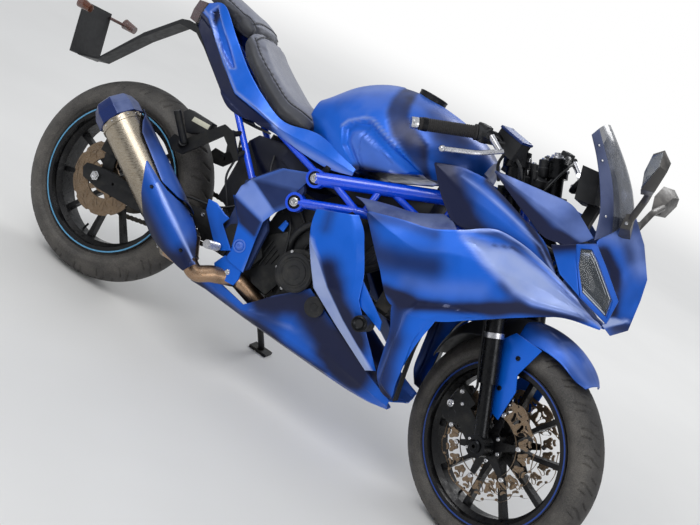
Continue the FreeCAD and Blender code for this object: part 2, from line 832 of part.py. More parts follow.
def frame():
    chord = [("chord", d.chord_radius, UPPER_BOSS, HEAD_UPPER)]
    lower = [("lower_rear", d.tube_radius, LOWER_BOSS, LOWER_KNEE),
             ("lower_front", d.tube_radius, LOWER_KNEE, HEAD_LOWER)]
    braces = []
    for i, (high, low) in enumerate(((0.08, 0.01), (0.33, 0.05), (0.37, 0.47), (0.72, 0.53))):
        top = between_points(UPPER_BOSS, HEAD_UPPER, high)
        foot = between_points(LOWER_KNEE, HEAD_LOWER, low)
        braces.append((f"brace{i}", d.brace_radius, top, foot))
    rail_start, rail_mid, rail_end = at(603, 140, 666), at(420, 94, 706), at(34, 58, 878)
    rear = [("rail_front", d.brace_radius, rail_start, rail_mid),
            ("rail_rear", d.brace_radius, rail_mid, rail_end),
            ("strut", d.brace_radius, at(438, 118, 552), at(112, 65, 836))]
    balls = []
    for name, radius, start, end in chord + lower + braces + rear:
        balls.append(tube(name, radius, start, end))
    for i, (spot, r) in enumerate(((LOWER_KNEE, d.tube_radius), (rail_mid, d.brace_radius),
                                   (rail_start, d.brace_radius))):
        ball = doc.addObject("Part::Sphere", f"knee{i}")
        ball.setExpression("Radius", text_of(r + 0.7))
        ball.Placement = Place(spot, Turn())
        balls.append(ball)
    for name, spot in (("upper_boss", UPPER_BOSS), ("lower_boss", LOWER_BOSS)):
        balls.append(cylinder(name, 27, 26, spot - ACROSS * 16, ACROSS))
    head = tube("head_tube", d.head_radius, HEAD_LOW, HEAD_HIGH)
    crosses = []
    for i, (spot, radius, half) in enumerate((
            (at(112, 0, 836), 9, 65), (at(404, 0, 713), 10, 92), (at(640, 0, 662), 12, 158),
            (at(438, 0, 556), 10, 118))):
        crosses.append(cylinder(f"cross{i}", radius, 2 * half, spot - ACROSS * half, ACROSS))
    hole = tube("head_bore", d.stem_radius + d.running_gap, on_stem(d.head_bottom - 60),
                on_stem(d.head_bottom + d.head_length + 60))
    doc.recompute()
    side = one_by_one(balls)
    whole = one_by_one([shaped("frame_side", side), head] + crosses)
    piece("frame", whole.fuse(mirrored(side)).cut(hole.Shape))


def one_by_one(members):
    """Tubes that meet at small angles join cleanly only when they are added in turn."""
    whole = members[0].Shape
    for member in members[1:]:
        whole = whole.fuse(member.Shape)
    return whole


PIVOT_PLATE = [(447, 500), (438, 545), (509, 625), (586, 640), (560, 560), (549, 492), (571, 459),
               (578, 338), (562, 320), (506, 320), (484, 345), (455, 400)]


def pivot_plates():
    parts = []
    for side in SIDES:
        sheet_plate = plate(PIVOT_PLATE, side * 142, 14)
        pin = rod(PIVOT + ACROSS * side * 139, PIVOT + ACROSS * side * 164, 22)
        hole = rod(PIVOT, PIVOT + ACROSS * side * 200, 15)
        ear = rod(at(585, side * 142, 600), at(585, side * 160, 600), 24)
        parts.append(less(fused([sheet_plate, pin, ear]).cut(hole), "frame", "swingarm", "engine"))
    return parts


def engine():
    case = [(668, 284), (700, 282), (800, 300), (845, 360), (838, 440), (800, 478), (668, 496)]
    gearbox = [(480, 330), (505, 290), (669, 284), (669, 496), (620, 500), (520, 470), (478, 420)]
    block = [(618, 470), (800, 455), (846, 600), (690, 655), (648, 610)]
    head = [(690, 640), (846, 590), (862, 640), (858, 664), (712, 690)]
    parts = []
    for outline, half in ((case, d.engine_half), (gearbox, 76), (block, 98), (head, 88)):
        parts.append(prism([at(x, -half, z) for x, z in outline], ACROSS * 2 * half))
    pivot = rod(PIVOT - ACROSS * 200, PIVOT + ACROSS * 200, 15.2)
    piece("engine", fused(parts).cut(pivot))
    near, covers = float(d.engine_half), []
    for side, x, z, base, top, rise in ((RIGHT, 706, 404, 66, 55, 168), (RIGHT, 806, 356, 40, 32, 150),
                                        (LEFT, 742, 396, 76, 60, 146)):
        start = at(x, side * near, z)
        covers.append(fused([rod(start, start + ACROSS * side * (146 - near), base),
                             rod(start, start + ACROSS * side * (rise - near), top)]))
    piece("engine_covers", Part.makeCompound([covers[0], less(covers[1], covers[0]), covers[2]]))


def radiator():
    core = box((958, 984), (-150, 150), (440, 672))
    cap = fused([box((952, 990), (-176, -150), (452, 660)), box((952, 990), (150, 176), (452, 660))])
    piece("radiator", Part.makeCompound([core, cap]))


# Swingarm, chain, shock, exhaust.

ARM = [(575, 346), (470, 338), (330, 318), (150, 290), (20, 282), (-40, 288), (-56, 312),
       (-50, 330), (20, 344), (160, 352), (330, 398), (470, 428), (560, 424), (590, 385)]


def swingarm():
    parts = []
    near, thick = float(d.arm_inner), float(d.arm_thick)
    for side in SIDES:
        arm = plate(ARM, side * near, thick)
        parts.append(arm)
    cross = prism([at(x, -near, z) for x, z in ((345, 345), (345, 400), (440, 418), (440, 352))],
                  ACROSS * 2 * near)
    lug = prism([at(x, -14, z) for x, z in ((346, 390), (360, 448), (396, 448), (420, 405))],
                ACROSS * 28)
    axle = rod(REAR_AXLE - ACROSS * 146, REAR_AXLE + ACROSS * 146, d.axle_radius)
    pivot = rod(PIVOT - ACROSS * 142, PIVOT + ACROSS * 142, 15)
    solid = fused(parts + [cross, lug, axle, pivot])
    for side in SIDES:
        out = SPOOL + ACROSS * side * (near + thick)
        solid = solid.cut(rod(out + ACROSS * side, out - ACROSS * side * 22, d.spool_radius))
    piece("swingarm", solid)


SPOOL = Vec(62, 0, 318)
SHOCK_LOW, SHOCK_HIGH = Vec(377, 0, 444), Vec(400, 0, 684)


def shock():
    way = (SHOCK_HIGH - SHOCK_LOW).normalize()
    parts = [rod(SHOCK_LOW, SHOCK_LOW + way * 90, 16), rod(SHOCK_LOW + way * 60, SHOCK_HIGH, 27),
             rod(SHOCK_LOW + way * 40, SHOCK_LOW + way * 180, 32)]
    parts.append(rod(SHOCK_HIGH - way * 2, SHOCK_HIGH + way * 26, 13))
    piece("rear_shock", less(fused(parts), "frame", "swingarm"))


def chain():
    """A closed band round the two sprockets, clear of the one that turns."""
    big = float(d.sprocket_radius + d.chain_gap)
    small = 38.0
    far = at(612, 0, 392)
    span = far - REAR_AXLE
    angle = math.atan2(span.z, span.x)
    slope = math.asin((big - small) / span.Length)

    def loop(extra):
        marks = []
        for centre, r, start, end in (
                (REAR_AXLE, big + extra, angle + math.pi / 2 - slope, angle + 1.5 * math.pi + slope),
                (far, small + extra, angle - math.pi / 2 + slope, angle + math.pi / 2 - slope)):
            middle = (start + end) / 2
            marks.append([centre + Vec(math.cos(a), 0, math.sin(a)) * r
                          for a in (start, middle, end)])
        first, second = marks
        edges = [Part.Arc(*first).toShape(), Part.LineSegment(first[2], second[0]).toShape(),
                 Part.Arc(*second).toShape(), Part.LineSegment(second[2], first[0]).toShape()]
        return Part.Face(Part.Wire(edges))

    near = float(d.sprocket_offset) - 7
    band = loop(13).cut(loop(0))
    band.translate(ACROSS * near)
    solid = band.extrude(ACROSS * 14)
    front = rod(Vec(far.x, 76, far.z), Vec(far.x, near + 12, far.z), 37)
    piece("chain", solid)
    piece("front_sprocket", less(front, solid, "engine"))


MUFFLER_FRONT, MUFFLER_BACK = Vec(436, -203, 268), Vec(-8, -203, 520)


def exhaust():
    way = (MUFFLER_BACK - MUFFLER_FRONT).normalize()
    can_start = MUFFLER_FRONT + way * 55
    can_end = MUFFLER_BACK - way * 26
    inner = 26
    can = rod(can_start, can_end, d.can_radius)
    piece("muffler_can", can.cut(rod(can_start - way, can_end + way, d.can_radius - 3)))
    cone = Part.makeCone(27, 58, 55, MUFFLER_FRONT, way)
    tail = Part.makeCone(60, 46, 26, can_end, way)
    hole = rod(can_end - way * 5, MUFFLER_BACK + way * 5, inner)
    plug = rod(can_start, can_start + way * 12, d.can_radius - 3)
    plug2 = rod(can_end - way * 12, can_end, d.can_radius - 3)
    outlet = rod(can_end - way * 90, MUFFLER_BACK + way * 4, inner + 3)
    cap = fused([tail, plug2, outlet]).cut(rod(can_end - way * 80, MUFFLER_BACK + way * 9, inner))
    piece("muffler_cap", cap)
    piece("muffler_collar", fused([cone, plug]))
    route = [at(800, -20, 420), at(905, -40, 408), at(905, -52, 262), at(760, -62, 252),
             at(640, -68, 250), Vec(548, -114, 288), Vec(496, -176, 272), MUFFLER_FRONT - way * 34,
             MUFFLER_FRONT]
    shape = bent_pipe(route, d.pipe_radius, 26)
    pipe = less(shape, "engine", cone)
    piece("exhaust_pipe", sorted(pipe.Solids, key=lambda s: s.Volume)[-1])
    guard_rows = []
    perp = way.cross(ACROSS).normalize()
    if perp.z < 0:
        perp = perp * -1
    for share, low, high in ((0.04, -20, 58), (0.16, -46, 84), (0.34, -44, 100), (0.46, -8, 112),
                             (0.58, 40, 114), (0.80, 60, 114), (0.93, 86, 114)):
        spot = MUFFLER_FRONT + (MUFFLER_BACK - MUFFLER_FRONT) * share
        row = []
        for angle, r in ((low, 66), ((low + high) / 2 - 8, 72), ((low + high) / 2 + 6, 72),
                         (high, 67)):
            a = math.radians(angle)
            row.append(spot - ACROSS * math.cos(a) * r + perp * math.sin(a) * r)
        guard_rows.append(row)
    axis = MUFFLER_FRONT

    def to_axis(p):
        return axis + way * (p - axis).dot(way) - p
    guard = skin(quads(guard_rows), to_axis, 3, "guard")
    piece("muffler_guard", less(guard, rod(can_start - way * 60, can_end + way * 40, 61)))


def rear_caliper():
    middle = -float(d.rear_rotor_offset)
    body = box((-52, 14), (middle - 20, middle + 12), (380, 452))
    slot = box((-70, 40), (middle - 5.5, middle + 5.5), (360, 433))
    bracket = plate([(-30, 380), (14, 380), (20, 344), (-14, 328)], -102, 5.9)
    arm = plate(ARM, -d.arm_inner, d.arm_thick)
    axle = rod(REAR_AXLE - ACROSS * 200, REAR_AXLE, 12)
    body = body.cut(slot)
    piece("rear_caliper", less(fused([body, bracket]), arm, axle))


# Tank, seats and tail: (half width, height) from the bottom's middle to the top's middle.

TANK = [
    (476, [(0, 775), (58, 775), (76, 800), (70, 836), (0, 852)]),
    (540, [(0, 742), (95, 745), (118, 790), (104, 866), (0, 934)]),
    (620, [(0, 718), (138, 720), (156, 772), (132, 890), (0, 983)]),
    (700, [(0, 724), (148, 726), (172, 790), (142, 925), (0, 1003)]),
    (790, [(0, 762), (150, 764), (176, 820), (140, 945), (0, 1000)]),
    (880, [(0, 803), (138, 805), (164, 848), (128, 945), (0, 988)]),
    (960, [(0, 842), (108, 844), (128, 874), (98, 940), (0, 963)]),
    (1000, [(0, 864), (68, 866), (82, 886), (62, 925), (0, 940)]),
]
RIDER_SEAT = [
    (200, [(0, 858), (92, 862), (106, 880), (90, 916), (0, 930)]),
    (260, [(0, 814), (108, 818), (122, 838), (98, 878), (0, 886)]),
    (340, [(0, 770), (114, 774), (127, 793), (102, 830), (0, 838)]),
    (410, [(0, 740), (112, 746), (124, 764), (94, 796), (0, 803)]),
    (462, [(0, 746), (98, 750), (110, 768), (80, 794), (0, 812)]),
]
PILLION_SEAT = [
    (-60, [(0, 950), (46, 950), (56, 962), (44, 985), (0, 992)]),
    (30, [(0, 926), (66, 926), (78, 940), (64, 970), (0, 981)]),
    (120, [(0, 902), (82, 902), (94, 918), (78, 952), (0, 963)]),
    (194, [(0, 892), (88, 892), (100, 906), (80, 930), (0, 942)]),
]


def sections(table, what):
    return body_of([ring_at(x, half) for x, half in table], what)


# Fairing. Each row runs up the right side: (x, y, z), y outward as a plain distance.

SIDE_UPPER = [
    [(810, 200, 650), (811, 202, 653), (812, 202, 656), (813, 200, 660)],
    [(915, 206, 551), (913, 214, 596), (911, 216, 642), (908, 204, 688)],
    [(1000, 207, 482), (995, 216, 560), (990, 217, 640), (986, 204, 708)],
    [(1060, 207, 492), (1058, 217, 580), (1054, 217, 672), (1050, 202, 742)],
    [(1120, 206, 509), (1124, 216, 600), (1130, 214, 694), (1134, 196, 792)],
    [(1200, 198, 563), (1200, 208, 632), (1200, 206, 706), (1197, 188, 794)],
    [(1290, 168, 627), (1290, 180, 672), (1290, 178, 720), (1290, 160, 776)],
    [(1380, 120, 683), (1380, 130, 704), (1380, 128, 722), (1380, 112, 746)],
    [(1470, 62, 703), (1471, 66, 706), (1471, 66, 709), (1470, 60, 713)],
]
SIDE_LEG = [
    [(1000, 207, 482), (1060, 207, 492), (1120, 206, 509)],
    [(1028, 202, 424), (1068, 205, 424), (1107, 196, 424)],
    [(1042, 194, 360), (1075, 198, 360), (1106, 186, 360)],
    [(1058, 182, 300), (1086, 185, 300), (1112, 174, 300)],
    [(1085, 168, 267), (1104, 170, 264), (1122, 164, 267)],
]
MID_PANEL = [
    [(682, 202, 589), (730, 206, 610), (787, 200, 637)],
    [(690, 206, 557), (758, 212, 585), (832, 204, 606)],
    [(699, 206, 525), (770, 214, 555), (850, 206, 574)],
    [(740, 206, 465), (818, 214, 485), (893, 206, 505)],
    [(782, 204, 404), (852, 212, 420), (922, 204, 435)],
    [(880, 190, 356), (924, 195, 368), (968, 188, 378)],
    [(1017, 162, 291), (1029, 163, 297), (1040, 160, 302)],
]
BELLY = [  # x, then (half width, height) from the keel's middle up the side
    (422, [(0, 205), (70, 205), (104, 206), (112, 209), (114, 213)]),
    (474, [(0, 203), (80, 203), (108, 210), (124, 235), (130, 260)]),
    (552, [(0, 201), (84, 201), (110, 208), (132, 230), (138, 251)]),
    (613, [(0, 200), (88, 200), (114, 207), (138, 226), (143, 243)]),
    (640, [(0, 200), (90, 200), (116, 208), (142, 236), (147, 270)]),
    (681, [(0, 200), (92, 200), (118, 209), (148, 252), (155, 314)]),
    (767, [(0, 200), (95, 200), (120, 210), (154, 280), (160, 391)]),
    (880, [(0, 200), (95, 200), (120, 211), (150, 270), (160, 344)]),
    (1017, [(0, 203), (92, 203), (116, 213), (142, 250), (150, 287)]),
    (1066, [(0, 212), (88, 208), (112, 214), (138, 240), (146, 268)]),
    (1112, [(78, 226), (82, 224), (108, 222), (134, 236), (142, 254)]),
]
DUCT = [
    [(895, 182, 853), (895, 183, 856), (896, 182, 859)],
    [(958, 188, 791), (960, 191, 838), (962, 184, 882)],
    [(1020, 184, 745), (1024, 189, 820), (1030, 182, 889)],
    [(1100, 184, 756), (1100, 188, 815), (1100, 180, 872)],
    [(1170, 178, 764), (1170, 182, 808), (1170, 174, 850)],
    [(1243, 166, 768), (1243, 168, 798), (1243, 162, 827)],
    [(1309, 146, 768), (1309, 147, 770), (1309, 146, 773)],
]
NOSE_SIDE = [
    [(1042, 168, 914), (1042, 169, 917), (1043, 168, 920)],
    [(1110, 166, 884), (1110, 170, 908), (1110, 164, 928)],
    [(1180, 163, 856), (1180, 168, 900), (1180, 158, 936)],
    [(1241, 158, 836), (1245, 164, 890), (1260, 152, 940)],
    [(1314, 146, 788), (1305, 154, 850), (1302, 150, 914)],
    [(1352, 136, 790), (1346, 145, 838), (1343, 144, 887)],
]
TAIL = [
    [(-2, 52, 845), (-4, 56, 884), (0, 50, 922)],
    [(73, 80, 800), (73, 96, 872), (73, 99, 938)],
    [(171, 96, 736), (171, 110, 800), (171, 100, 868)],
    [(255, 104, 688), (255, 119, 740), (255, 112, 812)],
    [(340, 108, 690), (340, 126, 730), (340, 118, 769)],
    [(427, 117, 697), (427, 129, 718), (427, 120, 740)],
    [(548, 136, 694), (548, 140, 722), (548, 126, 754)],
    [(640, 158, 706), (640, 162, 715), (640, 158, 724)],
]
NOSE_POINTS = {
    "top": (1378, 0, 1012), "brow": (1446, 0, 950), "bridge": (1500, 0, 876),
    "beak": (1514, 0, 820), "tip": (1528, 0, 737), "chin": (1496, 0, 700),
    "shoulder": (1384, 48, 984), "far": (1374, 96, 938), "corner": (1346, 140, 890),
    "arch": (1420, 62, 905), "ridge": (1476, 30, 846), "lens_top": (1456, 50, 802),
    "lens_low": (1478, 50, 736), "lip": (1470, 58, 716),
}
NOSE_FACES = [
    ("top", "brow", "shoulder"), ("shoulder", "brow", "arch"), ("shoulder", "arch", "far"),
    ("far", "arch", "corner"), ("brow", "bridge", "arch"), ("bridge", "ridge", "arch"),
    ("arch", "ridge", "lens_top"), ("arch", "lens_top", "corner"), ("bridge", "beak", "ridge"),
    ("beak", "lens_top", "ridge"), ("beak", "lens_low", "lens_top"), ("beak", "tip", "lens_low"),
    ("tip", "lip", "lens_low"), ("tip", "chin", "lip"),
]
SCREEN = [
    [(1378, 0, 1014), (1384, 48, 986), (1374, 96, 940), (1347, 140, 893)],
    [(1345, 0, 1057), (1346, 48, 1035), (1340, 98, 1000), (1322, 138, 962)],
    [(1300, 0, 1102), (1300, 50, 1088), (1296, 100, 1060), (1284, 134, 1022)],
    [(1252, 0, 1142), (1250, 52, 1132), (1246, 98, 1108), (1240, 128, 1078)],
    [(1207, 0, 1176), (1205, 50, 1168), (1202, 92, 1150), (1197, 118, 1122)],
]


def right_rows(rows):
    return [[at(x, -y, z) for x, y, z in row] for row in rows]


def toward_middle(p):
    return Vec(0, -p.y, 0) if abs(p.y) > 1e-6 else Vec(-1, 0, -1)


def across_rows(rows):
    """Rows from the middle plane outward, continued over to the left side."""
    made = []
    for row in rows:
        points = [at(x, -y, z) for x, y, z in row]
        left = [Vec(p.x, -p.y, p.z) for p in points if abs(p.y) > 1e-6]
        made.append(list(reversed(left)) + points if left else points)
    return made


def fairing():
    upper, leg = right_rows(SIDE_UPPER), right_rows(SIDE_LEG)
    side = skin(quads(upper) + quads(leg), toward_middle, what="side fairing")
    piece("side_fairings", both(side))
    middle = skin(quads(right_rows(MID_PANEL)), toward_middle, what="mid panel")
    hole = rod(at(958, -100, 399), at(958, -260, 399), 23)
    piece("mid_panels", both(middle.cut(hole)))
    rows = [[at(x, -w, z) for w, z in half] for x, half in BELLY]
    right = skin(quads(rows), lambda p: at(770, 0, 300) - Vec(770, p.y, p.z), what="belly")
    left_rows = [[Vec(p.x, -p.y, p.z) for p in row] for row in rows[4:]]
    left = skin(quads(left_rows), lambda p: at(770, 0, 300) - Vec(770, p.y, p.z), what="belly")
    piece("belly_pan", Part.makeCompound([less(right, "engine_covers"), left]))
    duct = skin(quads(right_rows(DUCT)), toward_middle, what="duct")
    piece("air_ducts", both(duct, "side_fairings"))
    piece("nose_sides", both(skin(quads(right_rows(NOSE_SIDE)), toward_middle, what="nose side")))
    points = {name: at(x, -y, z) for name, (x, y, z) in NOSE_POINTS.items()}
    faces = [tuple(points[n] for n in names) for names in NOSE_FACES]
    left = [tuple(Vec(p.x, -p.y, p.z) for p in names) for names in faces]
    inside = at(1330, 0, 800)
    piece("nose_cowl", skin(faces + left, lambda p: inside - p, what="nose"))
    screen = skin(quads(across_rows(SCREEN)), lambda p: at(1200, 0, 960) - p, d.screen_wall,
                  "windscreen")
    piece("windscreen", screen)


LENS = {
    "corner": (1348, 142, 882), "top": (1454, 52, 798), "low": (1475, 52, 733),
    "foot": (1388, 126, 766), "out": (1330, 150, 858),
}


def headlights():
    """A closed lamp each side: its lens, and a can behind it."""
    front = [at(x - 3, -y, z) for x, y, z in (LENS[n] for n in ("corner", "top", "low", "foot"))]
    back = [p + Vec(-58, 10, 6) for p in front]
    lamp = body_of([front, back], "headlight")
    piece("headlights", both(lamp, "nose_sides", "nose_cowl"))


def tank_and_seats():
    piece("fuel_tank", sections(TANK, "tank"))
    cap = rod(at(742, 0, 998), at(742, 0, 1012), 42)
    piece("filler_cap", less(cap, "fuel_tank"))
    piece("rider_seat", less(sections(RIDER_SEAT, "rider seat"), "fuel_tank"))
    piece("pillion_seat", sections(PILLION_SEAT, "pillion seat"))
    tail = skin(quads(right_rows(TAIL)), toward_middle, what="tail")
    piece("tail_panels", both(tail, "frame", "pillion_seat"))
    lamp = body_of([ring_at(-40, [(0, 852), (40, 854), (46, 884), (40, 916), (0, 920)]),
                    ring_at(-8, [(0, 845), (46, 850), (54, 884), (46, 920), (0, 928)])], "lamp")
    piece("tail_light", lamp)
    tray = [(338, 682), (280, 678), (180, 722), (60, 806), (-8, 854), (-8, 836), (56, 800),
            (176, 716), (280, 672), (338, 676)]
    piece("undertray", less(prism([at(x, -52, z) for x, z in tray], ACROSS * 104), "tail_panels",
                            "tail_light"))


def rear_hanger():
    arm = [(-8, 842), (-40, 848), (-66, 840), (-160, 745), (-262, 606), (-330, 584), (-334, 578),
           (-262, 598), (-158, 730), (-66, 824), (-8, 825)]
    board = [(-330, 582), (-371, 736), (-375, 735), (-335, 579)]
    solid = fused([prism([Vec(x, -34, z) for x, z in arm], ACROSS * 68),
                   prism([Vec(x, -78, z) for x, z in board], ACROSS * 156)])
    piece("plate_hanger", solid)
    parts = []
    for side in SIDES:
        lamp = Part.makeCone(12, 17, 44, Vec(-300, side * 128, 726), Vec(-1, 0, 0.05))
        stalk = rod(Vec(-364, side * 70, 722), Vec(-322, side * 126, 724), 5)
        parts.append(less(fused([lamp, stalk]), solid))
    piece("indicators", Part.makeCompound(parts))


def small_things():
    pegs = []
    for side in SIDES:
        hanger = plate([(470, 330), (452, 360), (470, 420), (500, 440), (520, 420), (500, 350),
                        (496, 330)], side * 157, 10)
        peg = rod(at(474, side * 166, 347), at(468, side * 236, 348), 10)
        pegs.append(less(fused([hanger, peg]), "pivot_plates"))
    piece("rider_pegs", Part.makeCompound(pegs))
    parts = []
    for side in SIDES:
        stay = plate([(150, 520), (176, 500), (212, 506), (300, 616), (366, 572), (380, 580),
                      (322, 640), (286, 646), (196, 546), (160, 545)], side * 129, 8)
        peg = rod(Vec(206, side * 148, 540), Vec(158, side * 186, 612), 11)
        ear = rod(Vec(196, side * 130, 528), Vec(204, side * 152, 540), 12)
        parts.append(fused([stay, ear, peg]))
    piece("pillion_pegs", Part.makeCompound(parts))
    sliders = []
    for side in SIDES:
        sliders.append(fused([rod(at(958, side * 168, 399), at(958, side * 236, 399), 22),
                              rod(at(958, side * 128, 399), at(958, side * 170, 399), 10),
                              rod(at(830, side * 100, 416), at(962, side * 138, 397), 11)]))
    piece("frame_sliders", Part.makeCompound([less(one, "engine") for one in sliders]))
    mirrors = []
    for side in SIDES:
        foot = body_of([
            [at(x, side * y, z) for x, y, z in ((1386, 72, 930), (1372, 62, 980),
                                                (1394, 58, 996), (1414, 66, 942))],
            [at(x, side * y, z) for x, y, z in ((1384, 140, 952), (1380, 144, 990),
                                                (1400, 146, 1002), (1408, 142, 960))]], "foot")
        stalk = bent_pipe([at(1396, side * 138, 984), at(1404, side * 172, 1040),
                           at(1412, side * 270, 1074)], 9, 34)
        head = body_of([
            [at(x, side * y, z) for x, y, z in (
                (1394, 242, 1042), (1376, 262, 1090), (1378, 318, 1132), (1404, 388, 1144),
                (1416, 402, 1106), (1398, 330, 1046))],
            [at(x, side * y, z) for x, y, z in (
                (1418, 252, 1050), (1412, 272, 1084), (1418, 320, 1116), (1430, 376, 1126),
                (1434, 388, 1104), (1428, 328, 1056))]], "mirror")
        whole = less(fused([foot, stalk, head]), "nose_cowl", "windscreen")
        mirrors.append(sorted(whole.Solids, key=lambda solid: solid.Volume)[-1])
    piece("mirrors", Part.makeCompound(mirrors))


def dash():
    body = body_of([
        [at(x, y, z) for x, y, z in ((1240, -88, 960), (1240, 88, 960), (1212, 80, 1046),
                                     (1212, -80, 1046))],
        [at(x, y, z) for x, y, z in ((1290, -70, 970), (1290, 70, 970), (1262, 64, 1052),
                                     (1262, -64, 1052))]], "dash")
    stay = box((1270, 1300), (-30, 30), (880, 975))
    piece("dash", fused([body, stay]))
    arm = fused([rod(at(1172, 0, 806), at(1290, 0, 806), 13),
                 box((1286, 1308), (-80, 80), (796, 880))])
    piece("nose_stay", less(arm, "frame"))


# Stays between the frame and what it carries, on both sides: start, end, radius.

STAYS = [
    ((970, 92, 664), (970, 92, 707), 8),
    ((318, 133, 631), (329, 101, 647), 8),
    ((366, 133, 582), (372, 107, 609), 8),
    ((765, 150, 634), (759, 210, 586), 7),
    ((920, 90, 779), (920, 90, 834), 8),
    ((640, 100, 662), (640, 100, 730), 8),
    ((404, 50, 713), (404, 50, 750), 9),
    ((1297, 72, 806), (1290, 176.5, 720), 7),
    ((975, 168, 580), (995, 214, 562), 7),
    ((1300, 60, 868), (1417, 61.5, 903), 7),
    ((1300, 76, 812), (1362, 98, 800), 8),
    ((112, 30, 836), (112, 30, 764), 8),
]


def stays():
    """Each is a rod cut flush with the two pieces that it joins."""
    fixed = [o.Label for o in PIECES if o.Placement.isSame(parked, 1e-9)]
    made = []
    for start, end, radius in STAYS:
        whole = rod(at(*start), at(*end), radius)
        for one in (whole, mirrored(whole)):
            one = less(one, *fixed)
            made.append(sorted(one.Solids, key=lambda solid: solid.Volume)[-1])
    piece("stays", Part.makeCompound(made))


# The side stand: its leg hangs from a bracket under the frame and folds back along the machine.

STAND = Vec(d.stand_x, d.stand_y, d.stand_z)
STAND_AXIS = Vec(0, 0.72, 0.69).normalize()
STAND_FOOT = Vec(580, 275, 56)


def road_at(x, y):
    """Height of the road under a point of the upright machine, as it stands."""
    up = parked.Rotation.inverted().multVec(UP)
    base = parked.inverse().multVec(Vec(0, 0, 0))
    return base.z - (up.x * (x - base.x) + up.y * (y - base.y)) / up.z, up


def side_stand():
    height, up = road_at(STAND_FOOT.x, STAND_FOOT.y)
    sole = Vec(STAND_FOOT.x, STAND_FOOT.y, height)
    top = sole + up * 10
    leg = rod(STAND, top, d.stand_radius)
    eye = rod(STAND - STAND_AXIS * 11, STAND + STAND_AXIS * 11, 20)
    side = up.cross(AHEAD).normalize()
    front = side.cross(up).normalize()
    corners = [sole + front * a + side * b for a, b in ((32, -22), (32, 22), (-34, 22), (-34, -22))]
    foot = prism(corners, up * 9)
    hole = rod(STAND - STAND_AXIS * 60, STAND + STAND_AXIS * 60, 8.05)
    solid = fused([leg, eye, foot]).cut(hole)
    below = prism([c + front * 0 - up * 40 for c in
                   [sole + front * a + side * b for a, b in ((90, -90), (90, 90), (-90, 90),
                                                             (-90, -90))]], up * 40)
    piece("side_stand", solid.cut(below))
    rise = STAND_AXIS.cross(AHEAD).normalize()
    rise = rise if rise.z > 0 else rise * -1
    bracket = []
    for step in (-1, 1):
        near = STAND + STAND_AXIS * step * 11.5
        bracket.append(rod(near, near + STAND_AXIS * step * 7, 20))
        flat = [near + AHEAD * a + rise * b for a, b in ((-20, 0), (20, 0), (20, 50), (-20, 50))]
        bracket.append(prism(flat, STAND_AXIS * step * 7))
    low = STAND - STAND_AXIS * 18.5
    top = [low + AHEAD * a + rise * b for a, b in ((-20, 27), (20, 27), (20, 62), (-20, 62))]
    pin = rod(STAND - STAND_AXIS * 18, STAND + STAND_AXIS * 18, 8)
    stem = box((530, 566), (58, 84), (262, 312))
    solid = fused(bracket + [pin, prism(top, STAND_AXIS * 37), stem])
    return less(solid, "engine")


# The whole machine.

def main():
    wheels()
    fork()
    yokes()
    ends = handlebars()
    controls(ends)
    front_calipers()
    brake_hoses()
    fender()
    frame()
    engine()
    radiator()
    swingarm()
    piece("pivot_plates", Part.makeCompound(pivot_plates()))
    shock()
    chain()
    exhaust()
    rear_caliper()
    tank_and_seats()
    fairing()
    headlights()
    rear_hanger()
    small_things()
    dash()
    piece("stand_bracket", side_stand())
    stays()
    finish()


def finish():
    doc.recompute()
    for feature in doc.Objects:
        if {"Invalid", "Error"} & set(feature.State):
            print("failed:", feature.Name, feature.State)
    overall = FreeCAD.BoundBox()
    for feature in PIECES:
        shape = feature.Shape
        if shape.isNull() or not shape.isValid():
            print("bad shape:", feature.Label)
        overall.add(shape.optimalBoundingBox(False, False))
    shift = Vec(-(overall.XMin + overall.XMax) / 2, -(overall.YMin + overall.YMax) / 2, 0)
    os.makedirs("parts", exist_ok=True)
    for feature in PIECES:
        feature.Placement = Place(shift, Turn()).multiply(feature.Placement)
    doc.recompute()
    for feature in PIECES:
        feature.Shape.exportStep(f"parts/{feature.Label}.step")
    stand = Place(shift, Turn()).multiply(parked)
    print("size", overall.XLength, overall.YLength, overall.ZLength, "low", overall.ZMin)
    for name, spot, way in (
            ("steering", STEER_FOOT + STEER_UP * 700, STEER_UP),
            ("side_stand", STAND, STAND_AXIS), ("rear_axle", REAR_AXLE, ACROSS),
            ("front_axle", steered.multVec(FRONT_AXLE), steered.Rotation.multVec(ACROSS)),
            ("spool_right", SPOOL - ACROSS * (d.arm_inner + d.arm_thick), -ACROSS),
            ("spool_left", SPOOL + ACROSS * (d.arm_inner + d.arm_thick), ACROSS),
            ("foot", STAND_FOOT, UP)):
        p, w = stand.multVec(spot), stand.Rotation.multVec(way)
        print(name, [round(v, 3) for v in p], [round(v, 6) for v in w])
    print("stand", [round(v, 5) for v in stand.toMatrix().A])
    print(len(PIECES), "sub-parts")


main()
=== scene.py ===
"""Studio picture of a parked sport motorcycle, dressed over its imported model."""

import json
import logging
import math
from contextlib import contextmanager
from dataclasses import dataclass, field
from enum import Enum
from typing import Callable, Iterator, Sequence

import bmesh
import bpy
import numpy as np
from mathutils import Matrix, Vector
from mathutils.bvhtree import BVHTree


